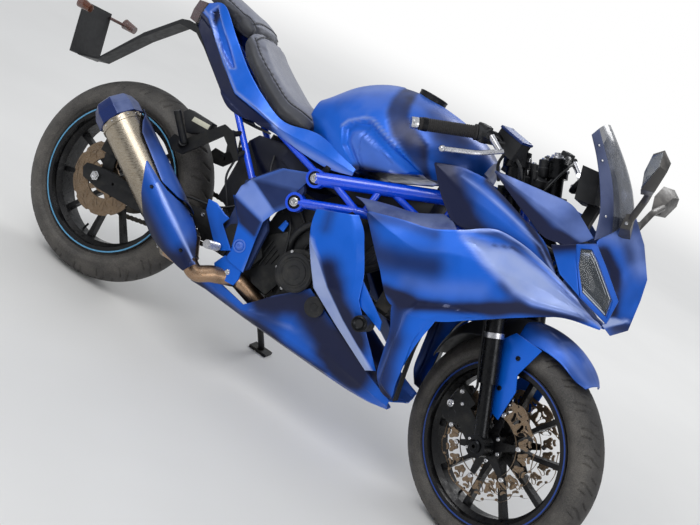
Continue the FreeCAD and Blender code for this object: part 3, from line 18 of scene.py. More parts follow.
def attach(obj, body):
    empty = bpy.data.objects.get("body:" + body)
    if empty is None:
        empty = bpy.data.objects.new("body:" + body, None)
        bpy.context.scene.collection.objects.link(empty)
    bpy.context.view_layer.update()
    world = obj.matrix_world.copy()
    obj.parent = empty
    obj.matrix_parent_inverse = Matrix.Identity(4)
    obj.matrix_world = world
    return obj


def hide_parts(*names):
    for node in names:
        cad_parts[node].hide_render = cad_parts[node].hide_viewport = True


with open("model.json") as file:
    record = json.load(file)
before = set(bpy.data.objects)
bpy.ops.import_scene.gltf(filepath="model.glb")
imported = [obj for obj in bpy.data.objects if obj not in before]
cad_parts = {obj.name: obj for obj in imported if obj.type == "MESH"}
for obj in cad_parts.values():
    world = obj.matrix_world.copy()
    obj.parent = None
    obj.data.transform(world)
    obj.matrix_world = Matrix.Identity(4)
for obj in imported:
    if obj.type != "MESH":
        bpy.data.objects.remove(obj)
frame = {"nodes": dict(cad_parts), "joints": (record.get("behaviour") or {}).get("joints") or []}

LOG = logging.getLogger("motorcycle")
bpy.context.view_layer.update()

Point = tuple[float, float, float]
Rows = Sequence[Sequence[Point]]
MM = 0.001


class Body(Enum):
    """The bodies that the pieces made here move with."""

    CHASSIS = "chassis"
    STEERING = "steering"
    FRONT_WHEEL = "front_wheel"
    REAR_WHEEL = "rear_wheel"


class Side(Enum):
    """A side of the machine, as the sign of y."""

    RIGHT = -1
    LEFT = 1


SIDES = tuple(side.value for side in Side)


# Places: the upright machine in mm, x forward from the rear axle, y left, z up


@dataclass(frozen=True)
class Stance:
    """How the upright machine stands in the frame, read from its joints."""

    turn: Matrix
    shift: Vector
    steer_turn: Matrix
    steer_point: Vector
    rear_axle_height: float = 312.0
    rake: float = math.radians(24.3)

    @staticmethod
    def read(joints: list[dict]) -> "Stance":
        """Works the stance out from the rear axle, the steering axis and the front axle.

        Args:
            joints: The frame's joints.

        Returns:
            The stance.
        """
        by_name = {joint["name"]: joint for joint in joints}
        rear, steer = by_name["rear_wheel_spin"], by_name["steering_turn"]
        across = Vector(rear["axis"]).normalized()
        stem = Vector(steer["axis"]).normalized()
        square = across.cross(stem).normalized()
        s, c = math.sin(Stance.rake), math.cos(Stance.rake)
        turn = Matrix((square * c - stem * s, across, square * s + stem * c)).transposed()
        shift = Vector(rear["pos_m"]) - turn @ Vector((0, 0, Stance.rear_axle_height * MM))
        front = Vector(by_name["front_wheel_spin"]["axis"]).normalized()
        angle = math.atan2(across.cross(front).dot(stem), across.dot(front))
        return Stance(turn, shift, Matrix.Rotation(angle, 3, stem), Vector(steer["pos_m"]))

    def fixed(self, p: Sequence[float]) -> Vector:
        """Place of a point that keeps with the frame."""
        return self.turn @ (Vector(p) * MM) + self.shift

    def steered(self, p: Sequence[float]) -> Vector:
        """Place of a point that turns with the handlebar."""
        return self.steer_point + self.steer_turn @ (self.fixed(p) - self.steer_point)

    def place(self, body: Body) -> Callable[[Sequence[float]], Vector]:
        """The right one of the two for a body."""
        turned = body in (Body.STEERING, Body.FRONT_WHEEL)
        return self.steered if turned else self.fixed


STANCE = Stance.read(frame["joints"])
REAR_AXLE = Vector((0, 0, 312))
CHAIN_FRONT = (612.0, 392.0)
CHAIN_RADII = (104.5, 44.5)
CHAIN_Y = 88.0
FRONT_AXLE = Vector((1410, 0, 300))
FORK_Y = 98.0
FORK_UP = Vector((-math.sin(Stance.rake), 0, math.cos(Stance.rake)))
FORK_AHEAD = Vector((math.cos(Stance.rake), 0, math.sin(Stance.rake)))


def on_fork(height: float, y: float = 0.0, ahead: float = 0.0) -> Vector:
    """A point by its height over the front axle along the fork, y and distance ahead of it."""
    return FRONT_AXLE + FORK_UP * height + FORK_AHEAD * ahead + Vector((0, y, 0))


def at_angle(centre: Vector, degrees: float, radius: float, y: float) -> Vector:
    """A point round an axle: degrees from straight ahead toward the top."""
    a = math.radians(degrees)
    return Vector((centre.x + math.cos(a) * radius, y, centre.z + math.sin(a) * radius))


# Colour and node helpers


def linear(hex_colour: str) -> tuple[float, float, float, float]:
    """Turns an sRGB colour into linear values.

    Args:
        hex_colour: The colour, such as '#1F46C8'.

    Returns:
        Red, green, blue, and 1 for alpha.
    """
    parts = [int(hex_colour[i:i + 2], 16) / 255 for i in (1, 3, 5)]
    made = [c / 12.92 if c <= 0.04045 else ((c + 0.055) / 1.055) ** 2.4 for c in parts]
    return (made[0], made[1], made[2], 1.0)


def add(tree: bpy.types.NodeTree, kind: str, settings: dict | None = None,
        inputs: dict | None = None) -> bpy.types.Node:
    """Adds a node with its settings, and its inputs as values or as sockets to link.

    Args:
        tree: The node tree.
        kind: The node's type name.
        settings: Attributes of the node.
        inputs: Input name or number to a value or to another node's output.

    Returns:
        The new node.
    """
    node = tree.nodes.new(kind)
    for name, value in (settings or {}).items():
        setattr(node, name, value)
    for name, value in (inputs or {}).items():
        socket = node.inputs[name]
        if isinstance(value, bpy.types.NodeSocket):
            tree.links.new(value, socket)
        else:
            socket.default_value = value
    return node


class Coat:
    """A material while its nodes are put together. Sizes are in mm."""

    def __init__(self, name: str) -> None:
        """Starts a material with one principled shader and object coordinates."""
        self.material = bpy.data.materials.new(name)
        self.material.use_nodes = True
        self.tree = self.material.node_tree
        self.tree.nodes.clear()
        self.shader = add(self.tree, "ShaderNodeBsdfPrincipled")
        add(self.tree, "ShaderNodeOutputMaterial", inputs={"Surface": self.shader.outputs[0]})
        self.place = add(self.tree, "ShaderNodeTexCoord").outputs["Object"]

    def set(self, **sockets: object) -> None:
        """Sets shader sockets: underscores stand for spaces."""
        for name, value in sockets.items():
            socket = self.shader.inputs[name.replace("_", " ")]
            if isinstance(value, bpy.types.NodeSocket):
                self.tree.links.new(value, socket)
            elif isinstance(value, str):
                socket.default_value = linear(value)
            else:
                socket.default_value = value

    def stretched(self, scale: Point, turn: Point = (0, 0, 0)) -> bpy.types.NodeSocket:
        """Object coordinates turned (degrees) and then stretched."""
        first = add(self.tree, "ShaderNodeMapping", {"vector_type": "POINT"},
                    {"Vector": self.place, "Rotation": [math.radians(t) for t in turn]})
        return add(self.tree, "ShaderNodeMapping", {"vector_type": "POINT"},
                   {"Vector": first.outputs[0], "Scale": scale}).outputs[0]

    def noise(self, size: float, detail: float = 3.0, rough: float = 0.55,
              place: bpy.types.NodeSocket | None = None) -> bpy.types.NodeSocket:
        """Soft noise whose blotches are about size mm across."""
        return add(self.tree, "ShaderNodeTexNoise", inputs={
            "Vector": place or self.place, "Scale": 1000 / size, "Detail": detail,
            "Roughness": rough}).outputs["Fac"]

    def cells(self, size: float, feature: str = "F1",
              place: bpy.types.NodeSocket | None = None) -> bpy.types.NodeSocket:
        """Cells about size mm across."""
        return add(self.tree, "ShaderNodeTexVoronoi", {"feature": feature}, {
            "Vector": place or self.place, "Scale": 1000 / size}).outputs["Distance"]

    def spread(self, value: bpy.types.NodeSocket, low: float, high: float,
               to_low: float = 0.0, to_high: float = 1.0) -> bpy.types.NodeSocket:
        """Maps low..high to to_low..to_high, held at the ends."""
        return add(self.tree, "ShaderNodeMapRange", {"interpolation_type": "SMOOTHSTEP"}, {
            "Value": value, "From Min": low, "From Max": high, "To Min": to_low,
            "To Max": to_high}).outputs[0]

    def sum(self, kind: str, a: object, b: object) -> bpy.types.NodeSocket:
        """Two values through an operation such as ADD or MULTIPLY."""
        return add(self.tree, "ShaderNodeMath", {"operation": kind}, {0: a, 1: b}).outputs[0]

    def blend(self, share: object, low: object, high: object) -> bpy.types.NodeSocket:
        """Mixes two colours.

        Args:
            share: Share of the second.
            low: The first, as a hex colour or a socket.
            high: The second.

        Returns:
            The mixed colour's socket.
        """
        low = linear(low) if isinstance(low, str) else low
        high = linear(high) if isinstance(high, str) else high
        return add(self.tree, "ShaderNodeMix", {"data_type": "RGBA"},
                   {0: share, 6: low, 7: high}).outputs[2]

    def kept(self, name: str) -> bpy.types.NodeSocket:
        """A number stored on the piece's points."""
        return add(self.tree, "ShaderNodeAttribute", {"attribute_name": name}).outputs["Fac"]

    def facing_up(self) -> bpy.types.NodeSocket:
        """1 where the surface faces the sky, 0 where it is upright, negative under."""
        normal = add(self.tree, "ShaderNodeNewGeometry").outputs["Normal"]
        return add(self.tree, "ShaderNodeSeparateXYZ", inputs={0: normal}).outputs[2]

    def bump(self, height: bpy.types.NodeSocket, depth: float,
             over: bpy.types.NodeSocket | None = None) -> bpy.types.NodeSocket:
        """Turns a pattern into a bump.

        Args:
            height: The pattern, from 0 to 1.
            depth: Its height in mm.
            over: A bump that it lies on.

        Returns:
            The normal's socket.
        """
        inputs = {"Height": height, "Distance": depth * MM, "Strength": 1.0}
        if over is not None:
            inputs["Normal"] = over
        return add(self.tree, "ShaderNodeBump", inputs=inputs).outputs[0]


# Finishes


@dataclass(frozen=True)
class Finish:
    """A finish by name. Each kind builds its own material once."""

    name: str

    def coat(self) -> Coat:
        """Builds the material's nodes."""
        raise NotImplementedError

    def material(self) -> bpy.types.Material:
        """The finish's material, made at its first use."""
        made = bpy.data.materials.get(self.name)
        return made or self.coat().material


@dataclass(frozen=True)
class Paint(Finish):
    """Satin metallic spray paint with darker airbrushed fields, painted pale highlights, and a film
    of dust with a painted sky sheen where it faces up.
    """

    main: str = "#0062D6"
    shade: str = "#06123A"
    # pale tone of the painted highlights, and of the dust and painted sky sheen on top
    lit: str = "#A6B6E2"
    rough: float = 0.36
    clouds: float = 0.42
    # share of dust and painted sky sheen on the faces that look up
    dust: float = 0.15
    bias: float = 0.0

    def coat(self) -> Coat:
        """Main colour, 'fade' to shade, a painted highlight to the pale tone, and dust with a
        painted sky sheen where it faces up.
        """
        c = Coat(self.name)
        wide, fine = c.noise(170, 2.5, 0.5), c.noise(1.4, 1.0)
        cloudy = c.spread(wide, 0.45, 0.78, 0.0, self.clouds)
        fade = c.sum("ADD", c.sum("ADD", c.kept("fade"), cloudy), self.bias)
        flake = c.blend(c.spread(fine, 0.4, 0.8, 0.0, 0.08), self.main, "#3F7AF0")
        # painted highlight: the piece's stored share turns the colour to the pale tone
        glow = c.sum("MULTIPLY", c.kept("glow"), c.spread(c.noise(90), 0.25, 0.6, 0.8, 1.0))
        pale = c.blend(glow, flake, self.lit)
        # faces that look up take dust and a painted sky sheen, both in the pale tone
        sky = c.spread(c.sum("ADD", c.facing_up(), c.spread(c.noise(60), 0.3, 0.7, -0.15, 0.15)),
                       0.3, 1.0, 0.0, self.dust)
        dusted_and_sky_lit = c.blend(sky, pale, self.lit)
        # the navy also takes a little of the dust and painted sky sheen
        deep = c.blend(c.sum("MULTIPLY", sky, 0.15), self.shade, self.lit)
        covered = c.sum("MULTIPLY", fade, c.spread(glow, 0.0, 1.0, 1.0, 0.1))
        c.set(Base_Color=c.blend(c.spread(covered, 0.0, 1.0), dusted_and_sky_lit, deep), Metallic=0.3,
              Roughness=c.spread(c.noise(35), 0.3, 0.7, self.rough - 0.05, self.rough + 0.08),
              Coat_Weight=0.12, Coat_Roughness=0.2, Specular_IOR_Level=0.4,
              Normal=c.bump(c.noise(2.2, 2), 0.012))
        return c


@dataclass(frozen=True)
class GlossTube(Finish):
    """Deep glossy paint on tubes, with dust in patches."""

    main: str = "#024CE6"

    def coat(self) -> Coat:
        """Clear coat over saturated colour."""
        c = Coat(self.name)
        patch = c.spread(c.noise(45, 4), 0.5, 0.8, 0.0, 0.22)
        c.set(Base_Color=c.blend(patch, self.main, "#2A3568"),
              Roughness=c.spread(c.noise(20), 0.3, 0.7, 0.16, 0.3), Coat_Weight=0.8,
              Coat_Roughness=0.06, Normal=c.bump(c.noise(9, 1), 0.02))
        return c


@dataclass(frozen=True)
class Casting(Finish):
    """Painted cast metal: fine grain, dust and oily patches."""

    main: str = "#0E0F11"
    worn: str = "#2A2926"
    rough: float = 0.48
    metallic: float = 0.35

    def coat(self) -> Coat:
        """Grainy dark coat with paler dust in broad patches."""
        c = Coat(self.name)
        patch = c.spread(c.noise(38, 5, 0.6), 0.45, 0.75)
        c.set(Base_Color=c.blend(patch, self.main, self.worn), Metallic=self.metallic,
              Roughness=c.spread(c.noise(12), 0.3, 0.7, self.rough - 0.1, self.rough + 0.12),
              Normal=c.bump(c.noise(1.6, 3), 0.06))
        return c


@dataclass(frozen=True)
class Plastic(Finish):
    """Moulded plastic with a fine grain."""

    main: str = "#121316"
    # colour where it faces up: dust and painted sky light
    pale: str = "#26272B"
    rough: float = 0.5

    def coat(self) -> Coat:
        """Grained plastic, a little paler where it faces up: dust, and painted sky light."""
        c = Coat(self.name)
        # faces that look up turn pale: dust, and painted sky light
        sky = c.spread(c.sum("ADD", c.facing_up(), c.spread(c.noise(30), 0.3, 0.7, -0.3, 0.3)),
                       0.2, 1.2, 0.0, 0.8)
        c.set(Base_Color=c.blend(sky, self.main, self.pale),
              Roughness=c.spread(c.noise(14), 0.3, 0.7, self.rough - 0.06, self.rough + 0.08),
              Normal=c.bump(c.cells(0.9), 0.03))
        return c


@dataclass(frozen=True)
class Rubber(Finish):
    """Tyre or grip rubber with road dust."""

    main: str = "#17171A"
    dust: str = "#807B74"
    amount: float = 0.78

    def coat(self) -> Coat:
        """Matte rubber; the piece's 'dusty' value says where dust sticks."""
        c = Coat(self.name)
        spot = c.sum("ADD", c.spread(c.noise(95, 5, 0.7), 0.25, 0.85, 0.1, 0.6),
                     c.spread(c.noise(3, 4, 0.7), 0.3, 0.8, 0.0, 0.4))
        share = c.sum("MULTIPLY", c.sum("MULTIPLY", spot, c.kept("dusty")), self.amount)
        base = c.blend(c.spread(c.noise(6, 3), 0.3, 0.8, 0.0, 0.4), self.main, "#25252A")
        c.set(Base_Color=c.blend(share, base, self.dust), Roughness=0.62,
              Specular_IOR_Level=0.4, Normal=c.bump(c.noise(1.1, 3), 0.05))
        return c


@dataclass(frozen=True)
class Vinyl(Finish):
    """Seat cover with a leather-like grain."""

    main: str = "#43444B"
    # colour of the painted sheen where the cover faces up
    lit: str = "#8A8D9C"

    def coat(self) -> Coat:
        """Cell grain, a painted pale sheen where it faces up, and a soft shader sheen."""
        c = Coat(self.name)
        grain = c.cells(1.7, "DISTANCE_TO_EDGE")
        # painted sheen: the top of the cover turns to the pale tone
        sky = c.spread(c.facing_up(), 0.1, 1.0, 0.0, 0.75)
        base = c.blend(sky, self.main, self.lit)
        band = c.blend(c.sum("MULTIPLY", c.kept("side"), 0.8), base, "#1B1C20")
        worn = c.blend(c.spread(c.noise(70, 4), 0.4, 0.75, 0.0, 0.25), band, "#4C4D54")
        c.set(Base_Color=worn, Roughness=c.spread(c.noise(25), 0.3, 0.7, 0.42, 0.56),
              Sheen_Weight=0.15, Sheen_Roughness=0.4,
              Normal=c.bump(c.spread(grain, 0.0, 0.25), 0.11))
        return c


@dataclass(frozen=True)
class Brushed(Finish):
    """Bare metal brushed along one direction, with stains."""

    main: str = "#A79C8C"
    stain: str = "#6D6257"
    rough: float = 0.3
    grain: Point = (1, 1, 1)
    turn: Point = (0, 0, 0)
    stained: float = 0.5

    def coat(self) -> Coat:
        """Streaky roughness and tint."""
        c = Coat(self.name)
        streak = c.noise(2.0, 2, place=c.stretched(self.grain, self.turn))
        tint = c.blend(c.spread(c.noise(55, 5), 0.42, 0.75, 0.0, self.stained), self.main,
                       self.stain)
        c.set(Base_Color=c.blend(c.spread(streak, 0.3, 0.7, 0.0, 0.25), tint, "#D8D2C8"),
              Metallic=1.0, Roughness=c.spread(streak, 0.3, 0.7, self.rough - 0.08,
                                               self.rough + 0.12),
              Normal=c.bump(streak, 0.02))
        return c


@dataclass(frozen=True)
class Tinted(Finish):
    """See-through plastic or glass, with dust."""

    main: str = "#30333A"
    clear: float = 0.5
    rough: float = 0.12
    dust: str = "#8D92A4"
    dusty: float = 0.35

    def coat(self) -> Coat:
        """A partly clear surface that dust makes less clear."""
        c = Coat(self.name)
        spot = c.spread(c.noise(40, 5), 0.35, 0.8, 0.0, self.dusty)
        c.set(Base_Color=c.blend(spot, self.main, self.dust), Roughness=self.rough,
              Alpha=c.spread(spot, 0.0, 1.0, 1 - self.clear, 1.0), Coat_Weight=0.6,
              Coat_Roughness=0.05)
        return c


@dataclass(frozen=True)
class Plain(Finish):
    """A small part's plain finish, with slight wear."""

    main: str = "#C8C8CC"
    metallic: float = 1.0
    rough: float = 0.28
    worn: str = "#7C7A78"
    grain: float = 0.015

    def coat(self) -> Coat:
        """One colour with faint patches."""
        c = Coat(self.name)
        patch = c.spread(c.noise(9, 4), 0.5, 0.8, 0.0, 0.5)
        c.set(Base_Color=c.blend(patch, self.main, self.worn), Metallic=self.metallic,
              Roughness=c.spread(c.noise(5), 0.3, 0.7, self.rough - 0.06, self.rough + 0.1),
              Normal=c.bump(c.noise(1.5, 2), self.grain))
        return c


# Sprayed and airbrushed on moulded ABS: satin blue, navy clouds, painted highlights, and a pale
# film of dust with a painted sky sheen
PAINT = Paint("airbrushed_blue")
# The same paint in navy: its edges almost go in the shade
DARK_PAINT = Paint("airbrushed_navy", main="#12275F", shade="#070B1E", dust=0.3, clouds=0.5)
# The same paint in slate blue: greyer, with the most dust and painted sky sheen on top
SLATE = Paint("slate_blue", main="#25345F", shade="#131A30", lit="#6D7698", rough=0.42,
              clouds=0.5, dust=0.5)
# Enamel on drawn steel tube: deep blue with thin bright lines along it
TUBE_BLUE = GlossTube("tube_blue")
# Enamel on sand-cast aluminium: grainy black with oily and dusty patches
ENGINE_BLACK = Casting("engine_black")
# Enamel on die-cast aluminium: a little paler and more matt than the engine
COVER_GREY = Casting("cover_grey", main="#1B1C1F", worn="#333230", rough=0.55, metallic=0.2)
# Enamel on a cast aluminium wheel: smooth enough for soft lights on the spokes
WHEEL_BLACK = Casting("wheel_black", main="#0D0D10", worn="#1E1D1C", rough=0.34)
# Black anodised aluminium, turned: long clear reflections up the legs
FORK_BLACK = Casting("fork_black", main="#0C0D10", worn="#17181B", rough=0.26, metallic=0.6)
# Powder-coated steel: an even matt black that only dust lifts
STEEL_BLACK = Casting("powder_black", main="#111215", worn="#24231F", rough=0.5)
# Moulded polypropylene: fine grain, greyer where it faces up with dust and painted sky light
BLACK_PLASTIC = Plastic("black_plastic")
# Moulded ABS, bare: warm grey with a broad soft shine, paler on top with dust and painted sky light
GREY_PLASTIC = Plastic("mirror_grey", main="#3A3836", pale="#7A7672", rough=0.4)
# Vulcanised rubber: matt black under brown road dust
TYRE_RUBBER = Rubber("tyre_rubber")
# Moulded rubber: matt, worn clean by the hands
GRIP_RUBBER = Rubber("grip_rubber", main="#1A191A", dust="#4A443E", amount=0.4)
# Embossed vinyl: leather grain, with a painted pale sheen on top
SEAT_VINYL = Vinyl("seat_vinyl")
# Vinyl cord in the seams: a dark line round each panel
PIPING = Vinyl("seat_seam", main="#16171A", lit="#2C2D31")
# Stainless steel brushed along the can: long streaks in a warm grey
CAN_STEEL = Brushed("silencer_steel", main="#9A8F7E", stain="#5E5140", rough=0.3,
                    grain=(0.06, 1, 1), turn=(0, 29, 0))
# Stainless steel coloured by heat: straw brown, stained darker
PIPE_STEEL = Brushed("heated_pipe", main="#A88463", stain="#6C4E33", rough=0.34, stained=0.8)
# Ground stainless steel, heated in use: bronze with a dull shine
ROTOR_STEEL = Brushed("rotor_bronze", main="#7D654A", stain="#5A4632", rough=0.36, stained=0.6)
# Machined aluminium: bright, a little dull in patches
ALLOY = Plain("bare_alloy")
# Zinc-plated steel: small sharp points of light
BOLT = Plain("bolt_steel", main="#D2D2D4", rough=0.22)
# Blackened steel: dark, with one small highlight
DARK_BOLT = Plain("bolt_black", main="#1A1B1E", rough=0.3, metallic=0.8, worn="#3A3A3C")
# Pale blue vinyl tape: a thin matt ring on the rim
STRIPE = Plain("rim_stripe", main="#5B9CC4", metallic=0.1, rough=0.35, worn="#3F6F92")
# The same tape in dark blue
STRIPE_DARK = Plain("front_stripe", main="#1B3F8C", metallic=0.1, rough=0.35, worn="#142C60")
# Smoked polycarbonate, moulded: dark but clear, greyed by dust
SMOKED = Tinted("smoked_screen", main="#3B404C", clear=0.42, dusty=0.6, rough=0.16)
# Clear polycarbonate, moulded: almost only its reflections show
CLEAR = Tinted("lamp_glass", main="#C9D2DC", clear=0.9, rough=0.03, dusty=0.0)
# Red acrylic, moulded: dark red with some depth
RED_LENS = Tinted("red_lens", main="#3C080A", clear=0.25, dusty=0.2)
# Amber acrylic, moulded: dull orange under dust
AMBER_LENS = Tinted("amber_lens", main="#5A2C10", clear=0.2, dusty=0.3)
# Metallised plastic: a mirror inside the lamp
CHROME = Plain("reflector", main="#C9CCD2", rough=0.14, worn="#9EA2A9", grain=0.0)
# Black ABS, moulded smooth: the dark ground of the lamp
LAMP_BOWL = Plain("lamp_bowl", main="#14161C", metallic=0.0, rough=0.3, worn="#0B0D12",
                  grain=0.0)
# Red ABS, moulded: one small spot of colour
RED_SWITCH = Plain("red_switch", main="#A8141A", metallic=0.0, rough=0.4, worn="#7C1014")
# Oiled rolled steel: brown grey, shiny only on its edges
CHAIN_STEEL = Plain("chain_steel", main="#5A5650", rough=0.4, worn="#2E2A26")
# Paper label, left blank: flat cream
LABEL = Plain("blank_label", main="#C9C7B4", metallic=0.0, rough=0.6, worn="#A9A794")
# Silvered glass: it shows the sky
MIRROR_GLASS = Plain("mirror_glass", main="#DDE2E6", rough=0.04, worn="#C8CED4", grain=0.0)
# Folded aluminium, painted black: matt rows with dust between
RADIATOR_FINS = Casting("radiator_black", main="#141414", worn="#35322D", rough=0.6)


# Shapes, drawn in mm on the upright machine


def smooth_line(points: Sequence[Sequence[float]], steps: int,
                breaks: Sequence[int] = ()) -> list[Vector]:
    """A smooth line through points, with a corner at each index in breaks.

    Args:
        points: The points to pass through.
        steps: Stretches made of each span.
        breaks: Indices where the line may turn sharply.

    Returns:
        The line's points.
    """
    spots = [Vector(p) for p in points]
    last = len(spots) - 1
    spans = [max((b - a).length, 1e-6) for a, b in zip(spots, spots[1:])]

    def slope(i: int, ahead: bool) -> Vector:
        """Direction of the line at point i, as it is entered or left."""
        if i in (0, last) or i in breaks:
            j = i if (ahead and i < last) or i == 0 else i - 1
            return (spots[j + 1] - spots[j]) / spans[j]
        before, after = spans[i - 1], spans[i]
        return ((spots[i] - spots[i - 1]) / before * after
                + (spots[i + 1] - spots[i]) / after * before) / (before + after)

    made = []
    for i in range(last):
        a, b, size = spots[i], spots[i + 1], spans[i]
        m, n = slope(i, True) * size, slope(i + 1, False) * size
        for k in range(steps):
            t = k / steps
            made.append(a * (2 * t ** 3 - 3 * t * t + 1) + m * (t ** 3 - 2 * t * t + t)
                        + b * (3 * t * t - 2 * t ** 3) + n * (t ** 3 - t * t))
    return made + [spots[-1]]


def smooth_grid(rows: Rows, steps: tuple[int, int] = (6, 4),
                breaks: tuple[Sequence[int], Sequence[int]] = ((), ())) -> list[list[Vector]]:
    """A denser grid through rows of points.

    Args:
        rows: The rows.
        steps: Stretches for each span along the columns, then along the rows.
        breaks: Indices of the sharp corners along the columns, then along the rows.

    Returns:
        The dense rows.
    """
    across = [smooth_line(row, steps[1], breaks[1]) for row in rows]
    columns = [smooth_line([row[j] for row in across], steps[0], breaks[0])
               for j in range(len(across[0]))]
    return [[column[i] for column in columns] for i in range(len(columns[0]))]


def mirrored(rows: Sequence[Sequence[Sequence[float]]], side: Side) -> list[list[Vector]]:
    """Rows drawn with y as a plain distance, put on one side."""
    return [[Vector((p[0], p[1] * side.value, p[2])) for p in row] for row in rows]


Mesh = tuple[list[Vector], list[tuple[int, ...]]]


def drawn(name: str, points: Sequence[Sequence[float]], faces: Sequence[Sequence[int]],
          edges: Sequence[Sequence[int]] = ()) -> bpy.types.Mesh:
    """A new mesh from points, faces and loose edges."""
    mesh = bpy.data.meshes.new(name)
    mesh.from_pydata([tuple(p) for p in points], edges, faces)
    return mesh


def placed(name: str, data: bpy.types.ID) -> bpy.types.Object:
    """A new object in the scene."""
    made = bpy.data.objects.new(name, data)
    bpy.context.scene.collection.objects.link(made)
    return made


@contextmanager
def edited(mesh: bpy.types.Mesh) -> Iterator[bmesh.types.BMesh]:
    """Opens a mesh for editing, and writes it back at the end."""
    made = bmesh.new()
    made.from_mesh(mesh)
    yield made
    made.to_mesh(mesh)
    made.free()


def taken(helper: bpy.types.Object, unit: float = 1.0) -> Mesh:
    """The points, in the unit, and the faces of a helper object, which goes."""
    mesh = ([v.co / unit for v in helper.data.vertices],
            [tuple(p.vertices) for p in helper.data.polygons])
    bpy.data.objects.remove(helper)
    return mesh


def grid_mesh(rows: Sequence[Sequence[Vector]], closed: bool = False,
              capped: bool = False) -> Mesh:
    """Faces between rows of points.

    Args:
        rows: The rows, each as long as the first.
        closed: Joins each row's end to its start.
        capped: Fills the first and the last row.

    Returns:
        The mesh.
    """
    wide = len(rows[0])
    points = [p for row in rows for p in row]
    faces = []
    for i in range(len(rows) - 1):
        for j in range(wide if closed else wide - 1):
            k = (j + 1) % wide
            faces.append((i * wide + j, i * wide + k, (i + 1) * wide + k, (i + 1) * wide + j))
    if capped:
        for start in (0, (len(rows) - 1) * wide):
            centre = sum((points[start + j] for j in range(wide)), Vector()) / wide
            points.append(centre)
            middle = len(points) - 1
            faces += [(start + j, start + (j + 1) % wide, middle) for j in range(wide)]
    return points, faces


def joined(*meshes: Mesh) -> Mesh:
    """Several meshes as one."""
    points, faces = [], []
    for more, rings in meshes:
        start = len(points)
        points += more
        faces += [tuple(i + start for i in ring) for ring in rings]
    return points, faces


def facet_mesh(points: Sequence[Sequence[float]], rings: Sequence[Sequence[int]],
               cuts: int = 6) -> Mesh:
    """Flat facets over shared corners, divided finely enough to be painted.

    Args:
        points: The corners.
        rings: Each facet's corners by index.
        cuts: Cuts made in each edge.

    Returns:
        The mesh.
    """
    made = bmesh.new()
    corners = [made.verts.new(p) for p in points]
    for ring in rings:
        made.faces.new([corners[i] for i in ring])
    bmesh.ops.triangulate(made, faces=made.faces[:])
    bmesh.ops.subdivide_edges(made, edges=made.edges[:], cuts=cuts, use_grid_fill=True)
    made.verts.index_update()
    mesh = ([v.co.copy() for v in made.verts], [tuple(v.index for v in f.verts)
                                                for f in made.faces])
    made.free()
    return mesh


def revolved(profile: Sequence[tuple[float, float]], centre: Vector, axis: Vector,
             segments: int = 64, closed: bool = False) -> Mesh:
    """A turned shape.

    Args:
        profile: (radius, distance along the axis) pairs.
        centre: The point where the distance is 0.
        axis: The way of the axis.
        segments: Steps round it.
        closed: Joins the profile's end to its start.

    Returns:
        The mesh.
    """
    axis = axis.normalized()
    side = axis.cross(Vector((0.13, 0.97, 0.21))).normalized()
    up = axis.cross(side)
    rows = []
    for k in range(segments):
        a = math.tau * k / segments
        out = side * math.cos(a) + up * math.sin(a)
        rows.append([centre + out * r + axis * d for r, d in profile])
    rows.append(rows[0])
    return grid_mesh(rows, closed)


def swept(path: Sequence[Vector], radius: float, segments: int) -> Mesh:
    """A round rod along a path, its ends closed.

    Args:
        path: The path's points.
        radius: Its radius.
        segments: Points round it.

    Returns:
        The mesh.
    """
    way = (path[1] - path[0]).normalized()
    side = way.orthogonal().normalized()
    rows = []
    for i, spot in enumerate(path):
        ahead = path[min(i + 1, len(path) - 1)] - path[max(i - 1, 0)]
        ahead.normalize()
        side = (side - ahead * side.dot(ahead)).normalized()
        other = ahead.cross(side)
        angles = [math.tau * k / segments for k in range(segments)]
        rows.append([spot + (side * math.cos(a) + other * math.sin(a)) * radius
                     for a in angles])
    return grid_mesh(rows, closed=True, capped=True)


def bar(start: Vector, end: Vector, radius: float, segments: int = 20,
        edge: float = 1.0) -> Mesh:
    """A rod with a small chamfer at each end.

    Args:
        start: The middle of one end.
        end: The middle of the other.
        radius: The rod's radius.
        segments: Steps round it.
        edge: The chamfer's width.

    Returns:
        The mesh.
    """
    length = (end - start).length
    edge = min(edge, radius * 0.4, length * 0.3)
    profile = [(0.001, 0), (radius - edge, 0), (radius, edge), (radius, length - edge),
               (radius - edge, length), (0.001, length)]
    return revolved(profile, start, end - start, segments)


def slab(outline: Sequence[tuple[float, float]], low: float, high: float) -> Mesh:
    """An upright plate.

    Args:
        outline: Its (x, z) corners.
        low: One face's y.
        high: The other's.

    Returns:
        The mesh.
    """
    count = len(outline)
    points = [Vector((x, y, z)) for y in (low, high) for x, z in outline]
    faces = [tuple(range(count)), tuple(range(count, 2 * count))]
    faces += [(i, (i + 1) % count, count + (i + 1) % count, count + i) for i in range(count)]
    return points, faces


def brick(low: Point, high: Point) -> Mesh:
    """A plain block between two corners; it gets its rounded edges when it is built."""
    (a, b, c), (d, e, f) = low, high
    return slab([(a, c), (d, c), (d, f), (a, f)], b, e)


def baked(piece: bpy.types.Object) -> bpy.types.Object:
    """Turns the piece's modifiers into its mesh."""
    bpy.context.view_layer.update()
    graph = bpy.context.evaluated_depsgraph_get()
    made = bpy.data.meshes.new_from_object(piece.evaluated_get(graph),
                                           preserve_all_data_layers=True, depsgraph=graph)
    piece.modifiers.clear()
    old, piece.data = piece.data, made
    bpy.data.meshes.remove(old)
    made.name = piece.name
    return piece


def crisp(mesh: bpy.types.Mesh, degrees: float) -> None:
    """Shades smooth, with a sharp edge wherever faces turn by more than degrees."""
    limit = math.radians(degrees)
    with edited(mesh) as made:
        for face in made.faces:
            face.smooth = True
        for edge in made.edges:
            edge.smooth = len(edge.link_faces) == 2 and edge.calc_face_angle(0.0) < limit


